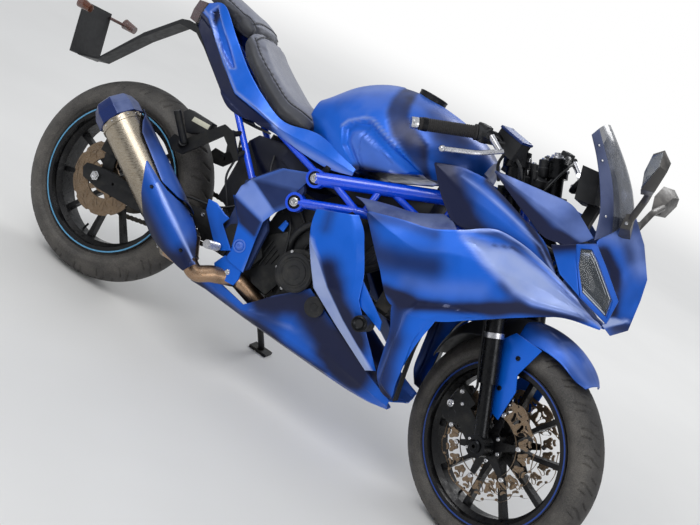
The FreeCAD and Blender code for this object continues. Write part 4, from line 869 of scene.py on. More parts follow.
def soften(piece: bpy.types.Object, width: float, degrees: float) -> None:
    """Gives the edges that turn by more than degrees a bevel, width in mm."""
    soft = piece.modifiers.new("edge", "BEVEL")
    soft.width, soft.segments = width * MM, 2
    soft.limit_method, soft.angle_limit = "ANGLE", math.radians(degrees)


def hull_rows(table: Sequence, steps: tuple[int, int],
              corners: Sequence[int]) -> list[list[Vector]]:
    """Dense closed rings from a table of sections.

    Args:
        table: (x, half section) pairs, each half from the bottom's middle to the top's.
        steps: Stretches along x and round a ring for each span.
        corners: Indices of the ring's sharp corners.

    Returns:
        The rings.
    """
    rings = []
    for x, half in table:
        ring = [Vector((x, -w, z)) for w, z in half] + [
            Vector((x, w, z)) for w, z in reversed(half) if w > 0]
        rings.append(ring + ring[:1])
    return [row[:-1] for row in smooth_grid(rings, steps, ((), corners))]


@dataclass
class Build:
    """How a mesh becomes a piece of the scene.

    Attributes:
        body: The body that it moves with.
        finish: Its finish.
        wall: Thickness in mm of an open skin, laid inward; 0 for a closed shape.
        inside: A point that the skin's inner face looks at, or None for a closed shape.
        edge: Width in mm of the small bevel on its edges.
        edge_angle: Edges that turn by more than this are beveled.
        sharp: Edges that turn by more than this are shaded sharp.
        fade: Gives the paint's shade from 0 to 1 at a point in mm.
        glow: Gives the share of the paint's pale tone at a point in mm, a painted highlight.
        replaces: The nodes that it stands for.
        slot: The record's material slot.
        values: Further numbers that its finish reads, each by its name.
    """

    body: Body
    finish: Finish
    wall: float = 0.0
    inside: Callable[[Vector], Vector] | None = None
    edge: float = 0.0
    edge_angle: float = 40.0
    sharp: float = 34.0
    fade: Callable[[Vector], float] | None = None
    glow: Callable[[Vector], float] | None = None
    replaces: tuple[str, ...] = ()
    slot: str = ""
    values: dict[str, Callable[[Vector], float]] = field(default_factory=dict)

    def piece(self, name: str, *meshes: Mesh) -> bpy.types.Object:
        """Builds the piece, bakes its wall and bevel, and makes it ride on its body.

        Args:
            name: The piece's name.
            *meshes: What it is made of, in mm on the upright machine.

        Returns:
            The piece.
        """
        mesh = drawn(name, *joined(*meshes))
        values = dict(self.values)
        values.update({label: value for label, value in (("fade", self.fade), ("glow", self.glow))
                       if value})
        place = STANCE.place(self.body)
        with edited(mesh) as made:
            bmesh.ops.remove_doubles(made, verts=made.verts, dist=0.02)
            bmesh.ops.dissolve_degenerate(made, edges=made.edges, dist=0.01)
            bmesh.ops.recalc_face_normals(made, faces=made.faces)
            if self.inside:
                balance = sum(f.normal.dot(self.inside(f.calc_center_median())) * f.calc_area()
                              for f in made.faces)
                if balance > 0:
                    bmesh.ops.reverse_faces(made, faces=made.faces)
            for label, value in values.items():
                layer = made.verts.layers.float.new(label)
                for vert in made.verts:
                    vert[layer] = value(vert.co)
            for vert in made.verts:
                vert.co = place(vert.co)
        shown = placed(name, mesh)
        mesh.materials.append(self.finish.material())
        if self.wall:
            skin = shown.modifiers.new("wall", "SOLIDIFY")
            skin.thickness, skin.offset = self.wall * MM, -1.0
        if self.edge:
            soften(shown, self.edge, self.edge_angle)
        if self.wall or self.edge:
            baked(shown)
        crisp(shown.data, self.sharp)
        return ridden(shown, self.body, self.slot, self.replaces)


def ridden(piece: bpy.types.Object, body: Body, slot: str = "",
           replaces: Sequence[str] = ()) -> bpy.types.Object:
    """Parents a finished piece to its body, hides the nodes it stands for, and logs it.

    Args:
        piece: The piece.
        body: The body that it moves with.
        slot: The record's material slot; not used.
        replaces: The nodes that it stands for.

    Returns:
        The piece.
    """
    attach(piece, body.value)
    if replaces:
        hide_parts(*replaces)
    LOG.info("%s: %d faces on %s", piece.name, len(piece.data.polygons), body.value)
    return piece


def dressed_node(node: str, body: Body, finish: Finish, edge: float, degrees: float = 28.0,
                 slot: str = "") -> None:
    """Makes a copy of a rigid node with soft edges, which stands for it.

    Args:
        node: The node's name.
        body: Its body.
        finish: Its finish.
        edge: Bevel width in mm.
        degrees: Edges that turn by more than this are beveled.
        slot: The record's material slot.
    """
    mesh = frame["nodes"][node].data.copy()
    mesh.materials.clear()
    mesh.materials.append(finish.material())
    with edited(mesh) as made:
        bmesh.ops.remove_doubles(made, verts=made.verts, dist=0.02 * MM)
        bmesh.ops.dissolve_limit(made, angle_limit=math.radians(1.0), verts=made.verts,
                                 edges=made.edges)
    shown = placed(f"{node}_shell", mesh)
    soften(shown, edge, degrees)
    baked(shown)
    crisp(shown.data, degrees + 4)
    ridden(shown, body, slot, (node,))


def cutout(outline: Sequence[tuple[float, float]], holes: Sequence[Sequence[tuple[float, float]]],
           thick: float, place: Callable[[float, float, float], Vector],
           edge: float = 0.4) -> Mesh:
    """A plate with holes.

    Args:
        outline: The plate's outline in its own plane, in mm.
        holes: Outlines of the holes.
        thick: Thickness in mm.
        place: Turns (u, v, height) into a point of the machine.
        edge: Width of its chamfered edges.

    Returns:
        The mesh.
    """
    curve = bpy.data.curves.new("outline", "CURVE")
    curve.dimensions, curve.fill_mode = "2D", "BOTH"
    curve.extrude, curve.bevel_depth = thick / 2 - edge, edge
    curve.bevel_resolution, curve.offset = 0, -edge
    for line in [outline, *holes]:
        drawn = curve.splines.new("POLY")
        drawn.points.add(len(line) - 1)
        for spot, (u, v) in zip(drawn.points, line):
            spot.co = (u, v, 0, 1)
        drawn.use_cyclic_u = True
    holder = placed("outline", curve)
    bpy.context.view_layer.update()
    graph = bpy.context.evaluated_depsgraph_get()
    mesh = bpy.data.meshes.new_from_object(holder.evaluated_get(graph))
    points = [place(*v.co) for v in mesh.vertices]
    faces = [tuple(p.vertices) for p in mesh.polygons]
    bpy.data.objects.remove(holder)
    bpy.data.curves.remove(curve)
    bpy.data.meshes.remove(mesh)
    return points, faces


def round_hole(u: float, v: float, radius: float, count: int = 20) -> list[tuple[float, float]]:
    """The outline of a round hole."""
    return [(u + radius * math.cos(math.tau * k / count),
             v + radius * math.sin(math.tau * k / count)) for k in range(count)]


def slot_hole(start: tuple[float, float], end: tuple[float, float], half: float,
              bow: float = 0.0, count: int = 6) -> list[tuple[float, float]]:
    """The outline of a long hole with round ends.

    Args:
        start: The middle of one end.
        end: The middle of the other.
        half: Half its width.
        bow: How far its middle is bent sideways.
        count: Stretches along it.

    Returns:
        The outline.
    """
    (a, b), (c, d) = start, end
    size = math.hypot(c - a, d - b)
    u, v = (c - a) / size, (d - b) / size
    line = []
    for k in range(count + 1):
        t = k / count
        off = bow * 4 * t * (1 - t)
        line.append((a + (c - a) * t - v * off, b + (d - b) * t + u * off))
    left = [(x - v * half, y + u * half) for x, y in line]
    right = [(x + v * half, y - u * half) for x, y in reversed(line)]
    ends = []
    for (x, y), way in ((line[-1], 1), (line[0], -1)):
        ends.append([(x + (u * math.sin(t) * way - v * math.cos(t) * way) * half,
                      y + (v * math.sin(t) * way + u * math.cos(t) * way) * half)
                     for t in (math.pi * q / 4 for q in (1, 2, 3))])
    return left + ends[0] + right + ends[1]


# What repeats, by Geometry Nodes


@dataclass(frozen=True)
class Stud:
    """One place for a screw: where it sits, which way it points, and its radius in mm."""

    spot: Sequence[float]
    way: Sequence[float]
    size: float


def empty_tree(name: str, size: str) -> tuple[bpy.types.NodeTree, bpy.types.Node]:
    """A geometry tree with nothing in it yet.

    Args:
        name: The tree's name.
        size: The name of its one size input.

    Returns:
        The tree and its input node.
    """
    tree = bpy.data.node_groups.new(name, "GeometryNodeTree")
    for label, side, kind in (("Geometry", "INPUT", "Geometry"), (size, "INPUT", "Float"),
                              ("Geometry", "OUTPUT", "Geometry")):
        tree.interface.new_socket(label, in_out=side, socket_type=f"NodeSocket{kind}")
    return tree, add(tree, "NodeGroupInput")


def end_tree(tree: bpy.types.NodeTree, shape: bpy.types.NodeSocket, finish: Finish) -> None:
    """Ends a tree in Realize Instances, Set Material and its output.

    Args:
        tree: The tree.
        shape: The geometry made so far.
        finish: The finish that it gets.
    """
    real = add(tree, "GeometryNodeRealizeInstances", inputs={"Geometry": shape})
    dressed = add(tree, "GeometryNodeSetMaterial",
                  inputs={"Geometry": real.outputs[0], "Material": finish.material()})
    add(tree, "NodeGroupOutput", inputs={"Geometry": dressed.outputs[0]})


def grown(name: str, mesh: bpy.types.Mesh, tree: bpy.types.NodeTree,
          size: float) -> bpy.types.Object:
    """Runs a mesh through a geometry tree and bakes the result.

    Args:
        name: The new object's name.
        mesh: The points or lines that the tree works on.
        tree: The tree.
        size: The value of its size input.

    Returns:
        The object, with a plain mesh.
    """
    shown = placed(name, mesh)
    work = shown.modifiers.new("grow", "NODES")
    work.node_group = tree
    wanted = next(i for i in tree.interface.items_tree
                  if i.in_out == "INPUT" and i.name != "Geometry")
    work[wanted.identifier] = size
    return baked(shown)


def screws_tree(head: bpy.types.Object, finish: Finish) -> bpy.types.NodeTree:
    """Puts a head on each point, along its 'way' and at its 'size'."""
    tree, start = empty_tree("screws", "Size")
    thing = add(tree, "GeometryNodeObjectInfo", inputs={"Object": head})
    way = add(tree, "GeometryNodeInputNamedAttribute", {"data_type": "FLOAT_VECTOR"},
              {"Name": "way"})
    size = add(tree, "GeometryNodeInputNamedAttribute", {"data_type": "FLOAT"}, {"Name": "size"})
    scale = add(tree, "ShaderNodeMath", {"operation": "MULTIPLY"},
                {0: size.outputs[0], 1: start.outputs["Size"]})
    turn = add(tree, "FunctionNodeAlignRotationToVector", {"axis": "Z"},
               {"Vector": way.outputs[0]})
    put = add(tree, "GeometryNodeInstanceOnPoints", inputs={
        "Points": start.outputs["Geometry"], "Instance": thing.outputs["Geometry"],
        "Rotation": turn.outputs[0], "Scale": scale.outputs[0]})
    end_tree(tree, put.outputs[0], finish)
    return tree


def screws(name: str, studs: Sequence[Stud], body: Body, finish: Finish) -> None:
    """Puts a screw at every stud.

    Args:
        name: The piece's name.
        studs: Where the screws go.
        body: The body that they move with.
        finish: Their finish.
    """
    points, rings = SCREW
    small = drawn(f"{name}_head", [p * MM for p in points], rings)
    with edited(small) as made:
        bmesh.ops.remove_doubles(made, verts=made.verts, dist=1e-6)
        bmesh.ops.recalc_face_normals(made, faces=made.faces)
    holder = placed(f"{name}_head", small)
    place = STANCE.place(body)
    spots = drawn(name, [place(s.spot) for s in studs], ())
    ways = spots.attributes.new("way", "FLOAT_VECTOR", "POINT").data
    for i, s in enumerate(studs):
        ways[i].vector = (place(Vector(s.spot) + Vector(s.way)) - place(s.spot)).normalized()
    sizes = spots.attributes.new("size", "FLOAT", "POINT").data
    for i, s in enumerate(studs):
        sizes[i].value = s.size
    shown = grown(name, spots, screws_tree(holder, finish), 1.0)
    for label in ("way", "size"):
        if label in shown.data.attributes:
            shown.data.attributes.remove(shown.data.attributes[label])
    bpy.data.objects.remove(holder)
    crisp(shown.data, 34.0)
    ridden(shown, body)


def hose_tree(finish: Finish) -> bpy.types.NodeTree:
    """Makes a round hose along a line of edges."""
    tree, start = empty_tree("hose", "Radius")
    line = add(tree, "GeometryNodeMeshToCurve", inputs={"Mesh": start.outputs["Geometry"]})
    ring = add(tree, "GeometryNodeCurvePrimitiveCircle",
               inputs={"Resolution": 12, "Radius": start.outputs["Radius"]})
    pipe = add(tree, "GeometryNodeCurveToMesh", inputs={
        "Curve": line.outputs[0], "Profile Curve": ring.outputs[0], "Fill Caps": True})
    end_tree(tree, pipe.outputs[0], finish)
    return tree


def hose(name: str, lines: Sequence[Sequence[Sequence[float]]], radius: float, body: Body,
         finish: Finish) -> None:
    """Hoses or cables of one radius, each held at both ends, along smooth lines.

    Args:
        name: The piece's name.
        lines: The points that each one passes through.
        radius: Their radius.
        body: The body that they move with.
        finish: Their finish.
    """
    place = STANCE.place(body)
    points, edges = [], []
    for line in lines:
        spots = [place(p) for p in smooth_line(line, 8)]
        edges += [(len(points) + i, len(points) + i + 1) for i in range(len(spots) - 1)]
        points += spots
    shown = grown(name, drawn(name, points, (), edges), hose_tree(finish), radius * MM)
    crisp(shown.data, 50)
    ridden(shown, body)


def screw_head() -> Mesh:
    """A socket screw's head of radius 1 mm about z, with its round recess."""
    profile = [(0.001, 0.25), (0.42, 0.25), (0.46, 0.75), (0.82, 0.78), (1.0, 0.55), (1.0, -0.3),
               (0.001, -0.3)]
    return revolved(profile, Vector(), Vector((0, 0, 1)), 18)


SCREW = screw_head()


# Wheels, brakes and chain


def round_axle(centre: Vector, y: float) -> Callable[[float, float, float], Vector]:
    """Puts a flat drawing on a wheel's plane: (u, v, height) to a point at distance y."""
    return lambda u, v, h: Vector((centre.x + u, y + h, centre.z + v))


@dataclass
class Tyre:
    """A road tyre with hooked grooves, from the same sizes as the wheel's frame part."""

    name: str
    node: str
    body: Body
    centre: Vector
    radius: float
    crown: float  # radius of the tread's cross section
    rim_half: float
    grooves: int
    hook: float  # how far a groove bends round the tyre
    half: float  # half a groove's width
    segments: int = 620
    across: int = 56
    depth: float = 3.4
    bead: float = 217.0
    wall: float = 9.0
    reach: float = math.radians(72)

    def tread(self, angle: float, turn: float) -> float:
        """Depth of the grooves.

        Args:
            angle: Angle over the crown from its middle.
            turn: Angle round the axle.

        Returns:
            The depth in mm.
        """
        side = 1 if angle >= 0 else -1
        share = abs(angle) / self.reach
        if not 0.06 < share < 0.8:
            return 0.0
        pitch = math.tau / self.grooves
        bend = self.hook * (share ** 1.4 - 0.9 * max(0.0, share - 0.45) ** 1.2)
        deep = 0.0
        for lag, low, high, width in ((0.0, 0.1, 0.74, 1.0), (0.42, 0.06, 0.4, 0.75),
                                      (0.7, 0.42, 0.8, 0.8)):
            if low < share < high:
                where = (turn - bend - pitch * (lag + 0.25 * side)) % pitch
                apart = min(where, pitch - where) * self.radius * 0.8
                taper = min(1.0, (share - low) / 0.06, (high - share) / 0.08)
                size = self.half * width * max(taper, 0.05)
                deep = max(deep, self.depth * (1 - ease(apart, size * 0.6, size * 1.25)))
        return deep

    def build(self) -> None:
        """Builds the ring: tread outside, plain walls, open toward the rim."""
        ring = self.radius - self.crown
        profile = []
        for k in range(self.across + 1):
            a = self.reach * (1 - 2 * k / self.across)
            profile.append((ring + self.crown * math.cos(a), self.crown * math.sin(a), a))
        top = (ring + self.crown * math.cos(self.reach), self.crown * math.sin(self.reach))
        side = self.rim_half - 8
        down = [(top[0] * (1 - t) + (self.bead + 14) * t,
                 top[1] * (1 - t) + side * t + 5 * math.sin(math.pi * t))
                for t in (0.2, 0.4, 0.55, 0.62, 0.66, 0.8, 0.92, 1.0)]
        down[4] = (down[4][0], down[4][1] - 1.6)
        foot = [(self.bead, side), (self.bead, side - self.wall - 3)]
        hollow = self.crown - self.wall
        inner = [(ring + hollow * math.cos(a), hollow * math.sin(a))
                 for a in np.linspace(self.reach, -self.reach, 11)]
        left = [(r, y, None) for r, y in (*reversed(foot), *reversed(down))]
        right = [(r, -y, None) for r, y in (*down, *foot, *inner)]
        line = left + profile + right
        rows = []
        for k in range(self.segments):
            turn = math.tau * k / self.segments
            row = []
            for r, y, a in line:
                if a is not None:
                    deep = self.tread(a, turn)
                    if deep:
                        r, y = r - deep * math.cos(a), y - deep * math.sin(a)
                row.append(Vector((self.centre.x + r * math.cos(turn), y,
                                   self.centre.z + r * math.sin(turn))))
            rows.append(row)
        rows.append(rows[0])
        centre, limit = self.centre, self.radius - self.crown * 0.45

        def dusty(p: Vector) -> float:
            """Dust on the walls and shoulders, less where the tread meets the road."""
            r = math.hypot(p.x - centre.x, p.z - centre.z)
            return 0.95 - 0.45 * ease(r, limit, self.radius)

        Build(self.body, TYRE_RUBBER, sharp=38, replaces=(self.node,), slot="tyre",
              values={"dusty": dusty}).piece(self.name, grid_mesh(rows, closed=True))


@dataclass
class Wheels:
    """Tyres, rim stripes, hubs, rotors, and the calipers' and axles' details."""

    rotor_radius: float = 150.0
    rotor_inner: float = 88.0
    rotor_offset: float = 61.5
    thick: float = 5.0
    lobes: int = 10
    buttons: int = 6
    button_radius: float = 97.0
    wave: float = 4.5

    def stripes(self) -> None:
        """A thin blue line on each edge of both rims, darker in front."""
        for name, body, centre, half, finish in (
                ("rear_stripe", Body.REAR_WHEEL, REAR_AXLE, 62, STRIPE),
                ("front_stripe", Body.FRONT_WHEEL, FRONT_AXLE, 49, STRIPE_DARK)):
            rings = [revolved([(220.2, s * (half - 0.3)), (225.0, s * (half - 0.3)),
                               (224.6, s * (half + 0.5)), (220.6, s * (half + 0.5))],
                              centre, Vector((0, 1, 0)), 120, closed=True) for s in (1, -1)]
            Build(body, finish).piece(name, *rings)

    def hubs(self) -> None:
        """A valve stem in each rim, and the bearing's cap on the rear hub's left."""
        cap = revolved([(16, 73), (27, 73), (27, 74.7), (25, 75.6), (16, 75.2)], REAR_AXLE,
                       Vector((0, 1, 0)), 48, closed=True)
        for name, body, centre, more in (
                ("rear_hub_rings", Body.REAR_WHEEL, REAR_AXLE, (cap,)),
                ("front_hub_rings", Body.FRONT_WHEEL, FRONT_AXLE, ())):
            valve = bar(at_angle(centre, 258, 204, 6), at_angle(centre, 258, 176, 14), 3.4, 12)
            Build(body, DARK_BOLT).piece(name, *more, valve)

    def disc(self, radius: float, inner: float, lobes: int, windows: int) -> tuple:
        """Draws a wave rotor.

        Args:
            radius: Outer radius at a lobe's top.
            inner: Radius of the middle hole.
            lobes: Waves round the edge.
            windows: Groups of holes round it.

        Returns:
            The outline, and the list of holes.
        """
        outline = []
        count = lobes * 18
        for k in range(count):
            a = math.tau * k / count
            r = radius - self.wave + self.wave * math.tanh(2.2 * math.cos(a * lobes))
            outline.append((r * math.cos(a), r * math.sin(a)))
        holes = [round_hole(0, 0, inner, 72)]
        span = radius - inner

        def polar(share: float, a: float) -> tuple[float, float]:
            """A point of the ring by its share of the way out and its angle."""
            r = inner + span * share
            return r * math.cos(a), r * math.sin(a)

        pitch = math.tau / windows
        for k in range(windows):
            a = pitch * k
            for s in SIDES:
                holes.append(slot_hole(polar(0.22, a + s * 0.13 * pitch),
                                       polar(0.5, a + s * 0.3 * pitch), span * 0.085, -1.5 * s))
            holes.append(slot_hole(polar(0.68, a - 0.1 * pitch), polar(0.68, a + 0.2 * pitch),
                                   span * 0.045, 2.0))
            holes.append(round_hole(*polar(0.45, a), span * 0.06, 12))
            holes.append(round_hole(*polar(0.86, a + 0.46 * pitch), span * 0.05, 12))
        return outline, holes

    def rotors(self) -> None:
        """Two front rotors and the rear one, cut through with windows."""
        outline, holes = self.disc(self.rotor_radius, self.rotor_inner + 0.4, self.lobes, 20)
        plates = [cutout(outline, holes, self.thick, round_axle(FRONT_AXLE, s * self.rotor_offset))
                  for s in SIDES]
        Build(Body.FRONT_WHEEL, ROTOR_STEEL, replaces=("front_rotors",), slot="rotor",
              sharp=30).piece("front_discs", *plates)
        studs = []
        for s in SIDES:
            for k in range(self.buttons):
                spot = at_angle(FRONT_AXLE, 60 * k + 90, self.button_radius,
                                s * (self.rotor_offset + self.thick / 2 - 0.4))
                studs.append(Stud(spot, (0, s, 0), 7.0))
                hub = at_angle(FRONT_AXLE, 60 * k + 60, 39, s * (self.rotor_offset + 2.2))
                studs.append(Stud(hub, (0, s, 0), 5.6))
        screws("rotor_buttons", studs, Body.FRONT_WHEEL, BOLT)
        outline, holes = self.disc(110, 62.4, 8, 12)
        Build(Body.REAR_WHEEL, ROTOR_STEEL, sharp=30).piece(
            "rear_disc_face", cutout(outline, holes, 1.2, round_axle(REAR_AXLE, -87.2)))
        screws("rear_hub_bolts", [Stud(at_angle(REAR_AXLE, 72 * k + 20, 40, -86.4), (0, -1, 0), 5.5)
                                  for k in range(5)], Body.REAR_WHEEL, BOLT)

    def calipers(self) -> None:
        """Bolts and round caps on the front calipers."""
        studs, blocks = [], []
        for s in SIDES:
            for x, z, size in ((1282, 384, 6.5), (1300, 290, 6.5), (1268, 338, 11), (1300, 356, 5)):
                studs.append(Stud((x, s * 88, z), (0, s, 0), size))
            for x, z in ((1275, 362), (1284, 314)):
                blocks.append(revolved([(0.01, 83), (15, 83), (15, 86.5), (12, 88.5), (0.01, 88.5)],
                                       Vector((x, 0, z)), Vector((0, s, 0)), 32))
        screws("caliper_bolts", studs, Body.STEERING, BOLT)
        Build(Body.STEERING, STEEL_BLACK, sharp=30).piece("caliper_caps", *blocks)

    def axle_ends(self) -> None:
        """The front axle's nut and cap, and the clamp screws beside them."""
        front = [revolved([(6, 119), (17, 119), (17, 124.5), (14, 127), (6, 127)], FRONT_AXLE,
                          Vector((0, s, 0)), 6 if s > 0 else 40, closed=True) for s in SIDES]
        Build(Body.STEERING, DARK_BOLT, sharp=30).piece("front_axle_caps", *front)
        studs = [Stud((FRONT_AXLE.x + dx, s * 120, FRONT_AXLE.z + dz), (0, s, 0), 4.2)
                 for s in SIDES for dx, dz in ((-24, 8), (-20, -16))]
        screws("axle_clamp_screws", studs, Body.STEERING, BOLT)

    def build(self) -> None:
        """Builds everything round the wheels."""
        Tyre("rear_tread", "rear_tyre", Body.REAR_WHEEL, REAR_AXLE, radius=312, crown=80,
             rim_half=62, grooves=22, hook=0.30, half=3.2).build()
        Tyre("front_tread", "front_tyre", Body.FRONT_WHEEL, FRONT_AXLE, radius=300, crown=60,
             rim_half=49, grooves=26, hook=0.26, half=2.7).build()
        self.stripes()
        self.hubs()
        self.rotors()
        self.calipers()
        self.axle_ends()


@dataclass
class ChainLinks:
    """Side plates and pins along the closed chain on the machine's left."""

    pitch: float = 15.9
    plate_y: float = 6.6
    thick: float = 1.2
    # a plate's outline: share of the way to the next pin, height over the line of pins
    plate: tuple = ((-0.36, 0), (-0.22, 6.4), (0.1, 7), (0.5, 5.2), (0.9, 7), (1.22, 6.4),
                    (1.36, 0), (1.22, -6.4), (0.9, -7), (0.5, -5.2), (0.1, -7), (-0.22, -6.4))

    def build(self) -> None:
        """Follows the frame's chain round both sprockets."""
        rear, front = REAR_AXLE, Vector((CHAIN_FRONT[0], 0, CHAIN_FRONT[1]))
        big, small = CHAIN_RADII
        gap = front - rear
        flat = math.hypot(gap.x, gap.z)
        slope = math.atan2(gap.z, gap.x)
        lean = math.asin((big - small) / flat)
        up = slope + math.pi / 2 - lean
        down = slope - math.pi / 2 + lean
        points = []

        def arc(centre: Vector, radius: float, start: float, end: float) -> None:
            """Adds an arc in 2-degree steps."""
            count = max(2, int(abs(end - start) / 0.035))
            for k in range(count + 1):
                a = start + (end - start) * k / count
                points.append(Vector((centre.x + math.cos(a) * radius, CHAIN_Y,
                                      centre.z + math.sin(a) * radius)))

        arc(rear, big, down + math.tau, up)
        arc(front, small, up, down)
        points.append(points[0])
        total = sum((b - a).length for a, b in zip(points, points[1:]))
        count = int(total / self.pitch) // 2 * 2
        step, spots, gone, i = total / count, [], 0.0, 0
        for k in range(count + 1):
            want = k * step
            while i < len(points) - 2 and gone + (points[i + 1] - points[i]).length < want:
                gone += (points[i + 1] - points[i]).length
                i += 1
            span = points[i + 1] - points[i]
            spots.append(points[i] + span * min(1.0, (want - gone) / max(span.length, 1e-6)))
        plates, pins = [], []
        for k in range(count):
            a, b = spots[k], spots[k + 1]
            y = self.plate_y + (1.4 if k % 2 else 0.0)
            way = (b - a).normalized()
            over = Vector((-way.z, 0, way.x))
            ring = [a.lerp(b, t) + over * h for t, h in self.plate]
            plates += [slab([(p.x, p.z) for p in ring], CHAIN_Y + s * y,
                            CHAIN_Y + s * (y + self.thick)) for s in SIDES]
            pins.append(bar(a - Vector((0, 10.4, 0)), a + Vector((0, 10.4, 0)), 2.6, 8, 0.4))
        Build(Body.CHASSIS, CHAIN_STEEL, slot="chain", replaces=("chain",), sharp=30).piece(
            "chain_plates", *plates)
        Build(Body.CHASSIS, CHAIN_STEEL, sharp=30).piece("chain_pins", *pins)


# Painted body panels: x forward, y outward as a plain distance, z up, in mm

SIDE_UPPER = (
    ((810, 200, 650), (811, 202, 653), (812, 202, 656), (813, 200, 660)),
    ((915, 206, 551), (913, 214, 596), (911, 216, 642), (908, 204, 688)),
    ((1000, 207, 482), (995, 216, 560), (990, 217, 640), (986, 204, 708)),
    ((1060, 207, 490), (1058, 217, 580), (1054, 217, 672), (1050, 202, 742)),
    ((1120, 206, 509), (1124, 216, 600), (1130, 215, 694), (1134, 196, 792)),
    ((1200, 198, 563), (1200, 208, 632), (1200, 208, 706), (1197, 186, 794)),
    ((1290, 168, 627), (1290, 180, 672), (1290, 181, 720), (1290, 158, 776)),
    ((1380, 120, 683), (1380, 130, 704), (1380, 131, 722), (1380, 110, 746)),
    ((1470, 62, 703), (1471, 66, 706), (1471, 66, 709), (1470, 60, 713)),
)
SIDE_LEG = (
    ((1028, 202, 424), (1068, 206, 424), (1107, 196, 424)),
    ((1042, 194, 360), (1075, 199, 360), (1106, 186, 360)),
    ((1058, 182, 300), (1086, 186, 300), (1112, 174, 300)),
    ((1085, 168, 267), (1104, 171, 264), (1122, 164, 267)),
)
MID_PANEL = (
    ((682, 202, 589), (700, 205, 597), (777, 207, 627), (795, 201, 636)),
    ((690, 206, 557), (707, 210, 563), (810, 211, 600), (830, 203, 607)),
    ((705, 206, 519), (709, 211, 521), (834, 214, 566), (852, 204, 574)),
    ((740, 202, 465), (770, 216, 475), (870, 214, 503), (892, 204, 509)),
    ((787, 197, 404), (827, 217, 430), (896, 212, 440), (916, 203, 444)),
    ((880, 184, 356), (903, 200, 378), (950, 195, 384), (966, 187, 388)),
    ((1017, 158, 288), (1028, 165, 296), (1036, 164, 300), (1044, 159, 304)),
)
# x, then half a section from the keel up as (y, z)
BELLY = (
    (422, ((0, 205), (70, 205), (104, 206), (112, 209), (114, 213))),
    (474, ((0, 203), (80, 203), (108, 210), (124, 235), (130, 260))),
    (552, ((0, 201), (84, 201), (110, 208), (132, 230), (138, 251))),
    (613, ((0, 200), (88, 200), (114, 207), (138, 226), (143, 243))),
    (640, ((0, 200), (90, 200), (116, 208), (142, 236), (147, 270))),
    (681, ((0, 200), (92, 200), (118, 209), (148, 252), (155, 314))),
    (767, ((0, 200), (95, 200), (120, 210), (154, 280), (160, 391))),
    (880, ((0, 200), (95, 200), (120, 211), (150, 270), (160, 344))),
    (1017, ((0, 203), (92, 203), (116, 213), (142, 250), (150, 287))),
    (1066, ((0, 212), (88, 208), (112, 214), (138, 240), (146, 268))),
    (1112, ((78, 226), (82, 224), (108, 222), (134, 236), (142, 254))),
)
DUCT = (
    ((895, 182, 853), (895, 183, 856), (896, 182, 859)),
    ((958, 188, 791), (960, 192, 838), (962, 182, 882)),
    ((1020, 184, 745), (1024, 190, 820), (1030, 180, 889)),
    ((1100, 184, 756), (1100, 189, 815), (1100, 178, 872)),
    ((1170, 178, 764), (1170, 183, 808), (1170, 172, 850)),
    ((1243, 166, 768), (1243, 169, 798), (1243, 160, 827)),
    ((1309, 146, 768), (1309, 147, 770), (1309, 146, 773)),
)
NOSE_SIDE = (
    ((1042, 168, 914), (1042, 169, 917), (1043, 168, 920)),
    ((1110, 166, 884), (1110, 171, 908), (1110, 163, 928)),
    ((1180, 163, 856), (1180, 169, 900), (1180, 156, 936)),
    ((1241, 158, 836), (1247, 165, 890), (1260, 150, 940)),
    ((1292, 152, 846), (1298, 155, 880), (1302, 148, 920)),
    ((1314, 149, 862), (1331, 145, 880), (1343, 144, 897)),
)
CHEEK = ((1262, 158, 829), (1294, 152, 848), (1316, 149, 864), (1336, 145, 826),
         (1388, 128, 752), (1318, 147, 776))
TAIL = (
    ((-2, 52, 845), (-4, 56, 884), (0, 50, 922)),
    ((73, 80, 800), (73, 97, 872), (73, 98, 938)),
    ((171, 96, 736), (171, 111, 800), (171, 99, 868)),
    ((255, 104, 688), (255, 120, 740), (255, 111, 812)),
    ((340, 108, 690), (340, 127, 730), (340, 117, 769)),
    ((427, 117, 697), (427, 130, 718), (427, 120, 740)),
    ((548, 136, 692), (548, 143, 722), (548, 130, 760)),
    ((640, 150, 695), (640, 158, 722), (640, 152, 748)),
    ((704, 152, 712), (704, 156, 722), (704, 152, 732)),
)
NOSE_POINTS = {
    "top": (1378, 0, 1012), "brow": (1446, 0, 950), "bridge": (1500, 0, 876),
    "beak": (1514, 0, 820), "tip": (1528, 0, 737), "chin": (1496, 0, 700),
    "shoulder": (1384, 48, 984), "far": (1374, 96, 938), "corner": (1346, 140, 890),
    "arch": (1420, 62, 905), "ridge": (1476, 30, 846), "lens_top": (1456, 50, 802),
    "lens_low": (1478, 50, 736), "lip": (1470, 58, 716),
}
# each facet by its corners' names
NOSE_FACES = (
    ("top", "brow", "arch", "shoulder"), ("shoulder", "arch", "far"), ("far", "arch", "corner"),
    ("brow", "bridge", "ridge", "arch"), ("arch", "ridge", "lens_top"),
    ("arch", "lens_top", "corner"), ("bridge", "beak", "ridge"), ("beak", "lens_top", "ridge"),
    ("beak", "tip", "lens_low", "lens_top"), ("tip", "chin", "lip", "lens_low"),
)
SCREEN = (
    ((1378, 0, 1014), (1384, 48, 986), (1374, 96, 940), (1347, 140, 893)),
    ((1345, 0, 1057), (1346, 48, 1035), (1340, 98, 1000), (1322, 138, 962)),
    ((1300, 0, 1102), (1300, 50, 1088), (1296, 100, 1060), (1284, 134, 1022)),
    ((1252, 0, 1142), (1250, 52, 1132), (1246, 98, 1108), (1240, 128, 1078)),
    ((1207, 0, 1176), (1205, 50, 1168), (1202, 92, 1150), (1197, 118, 1122)),
)
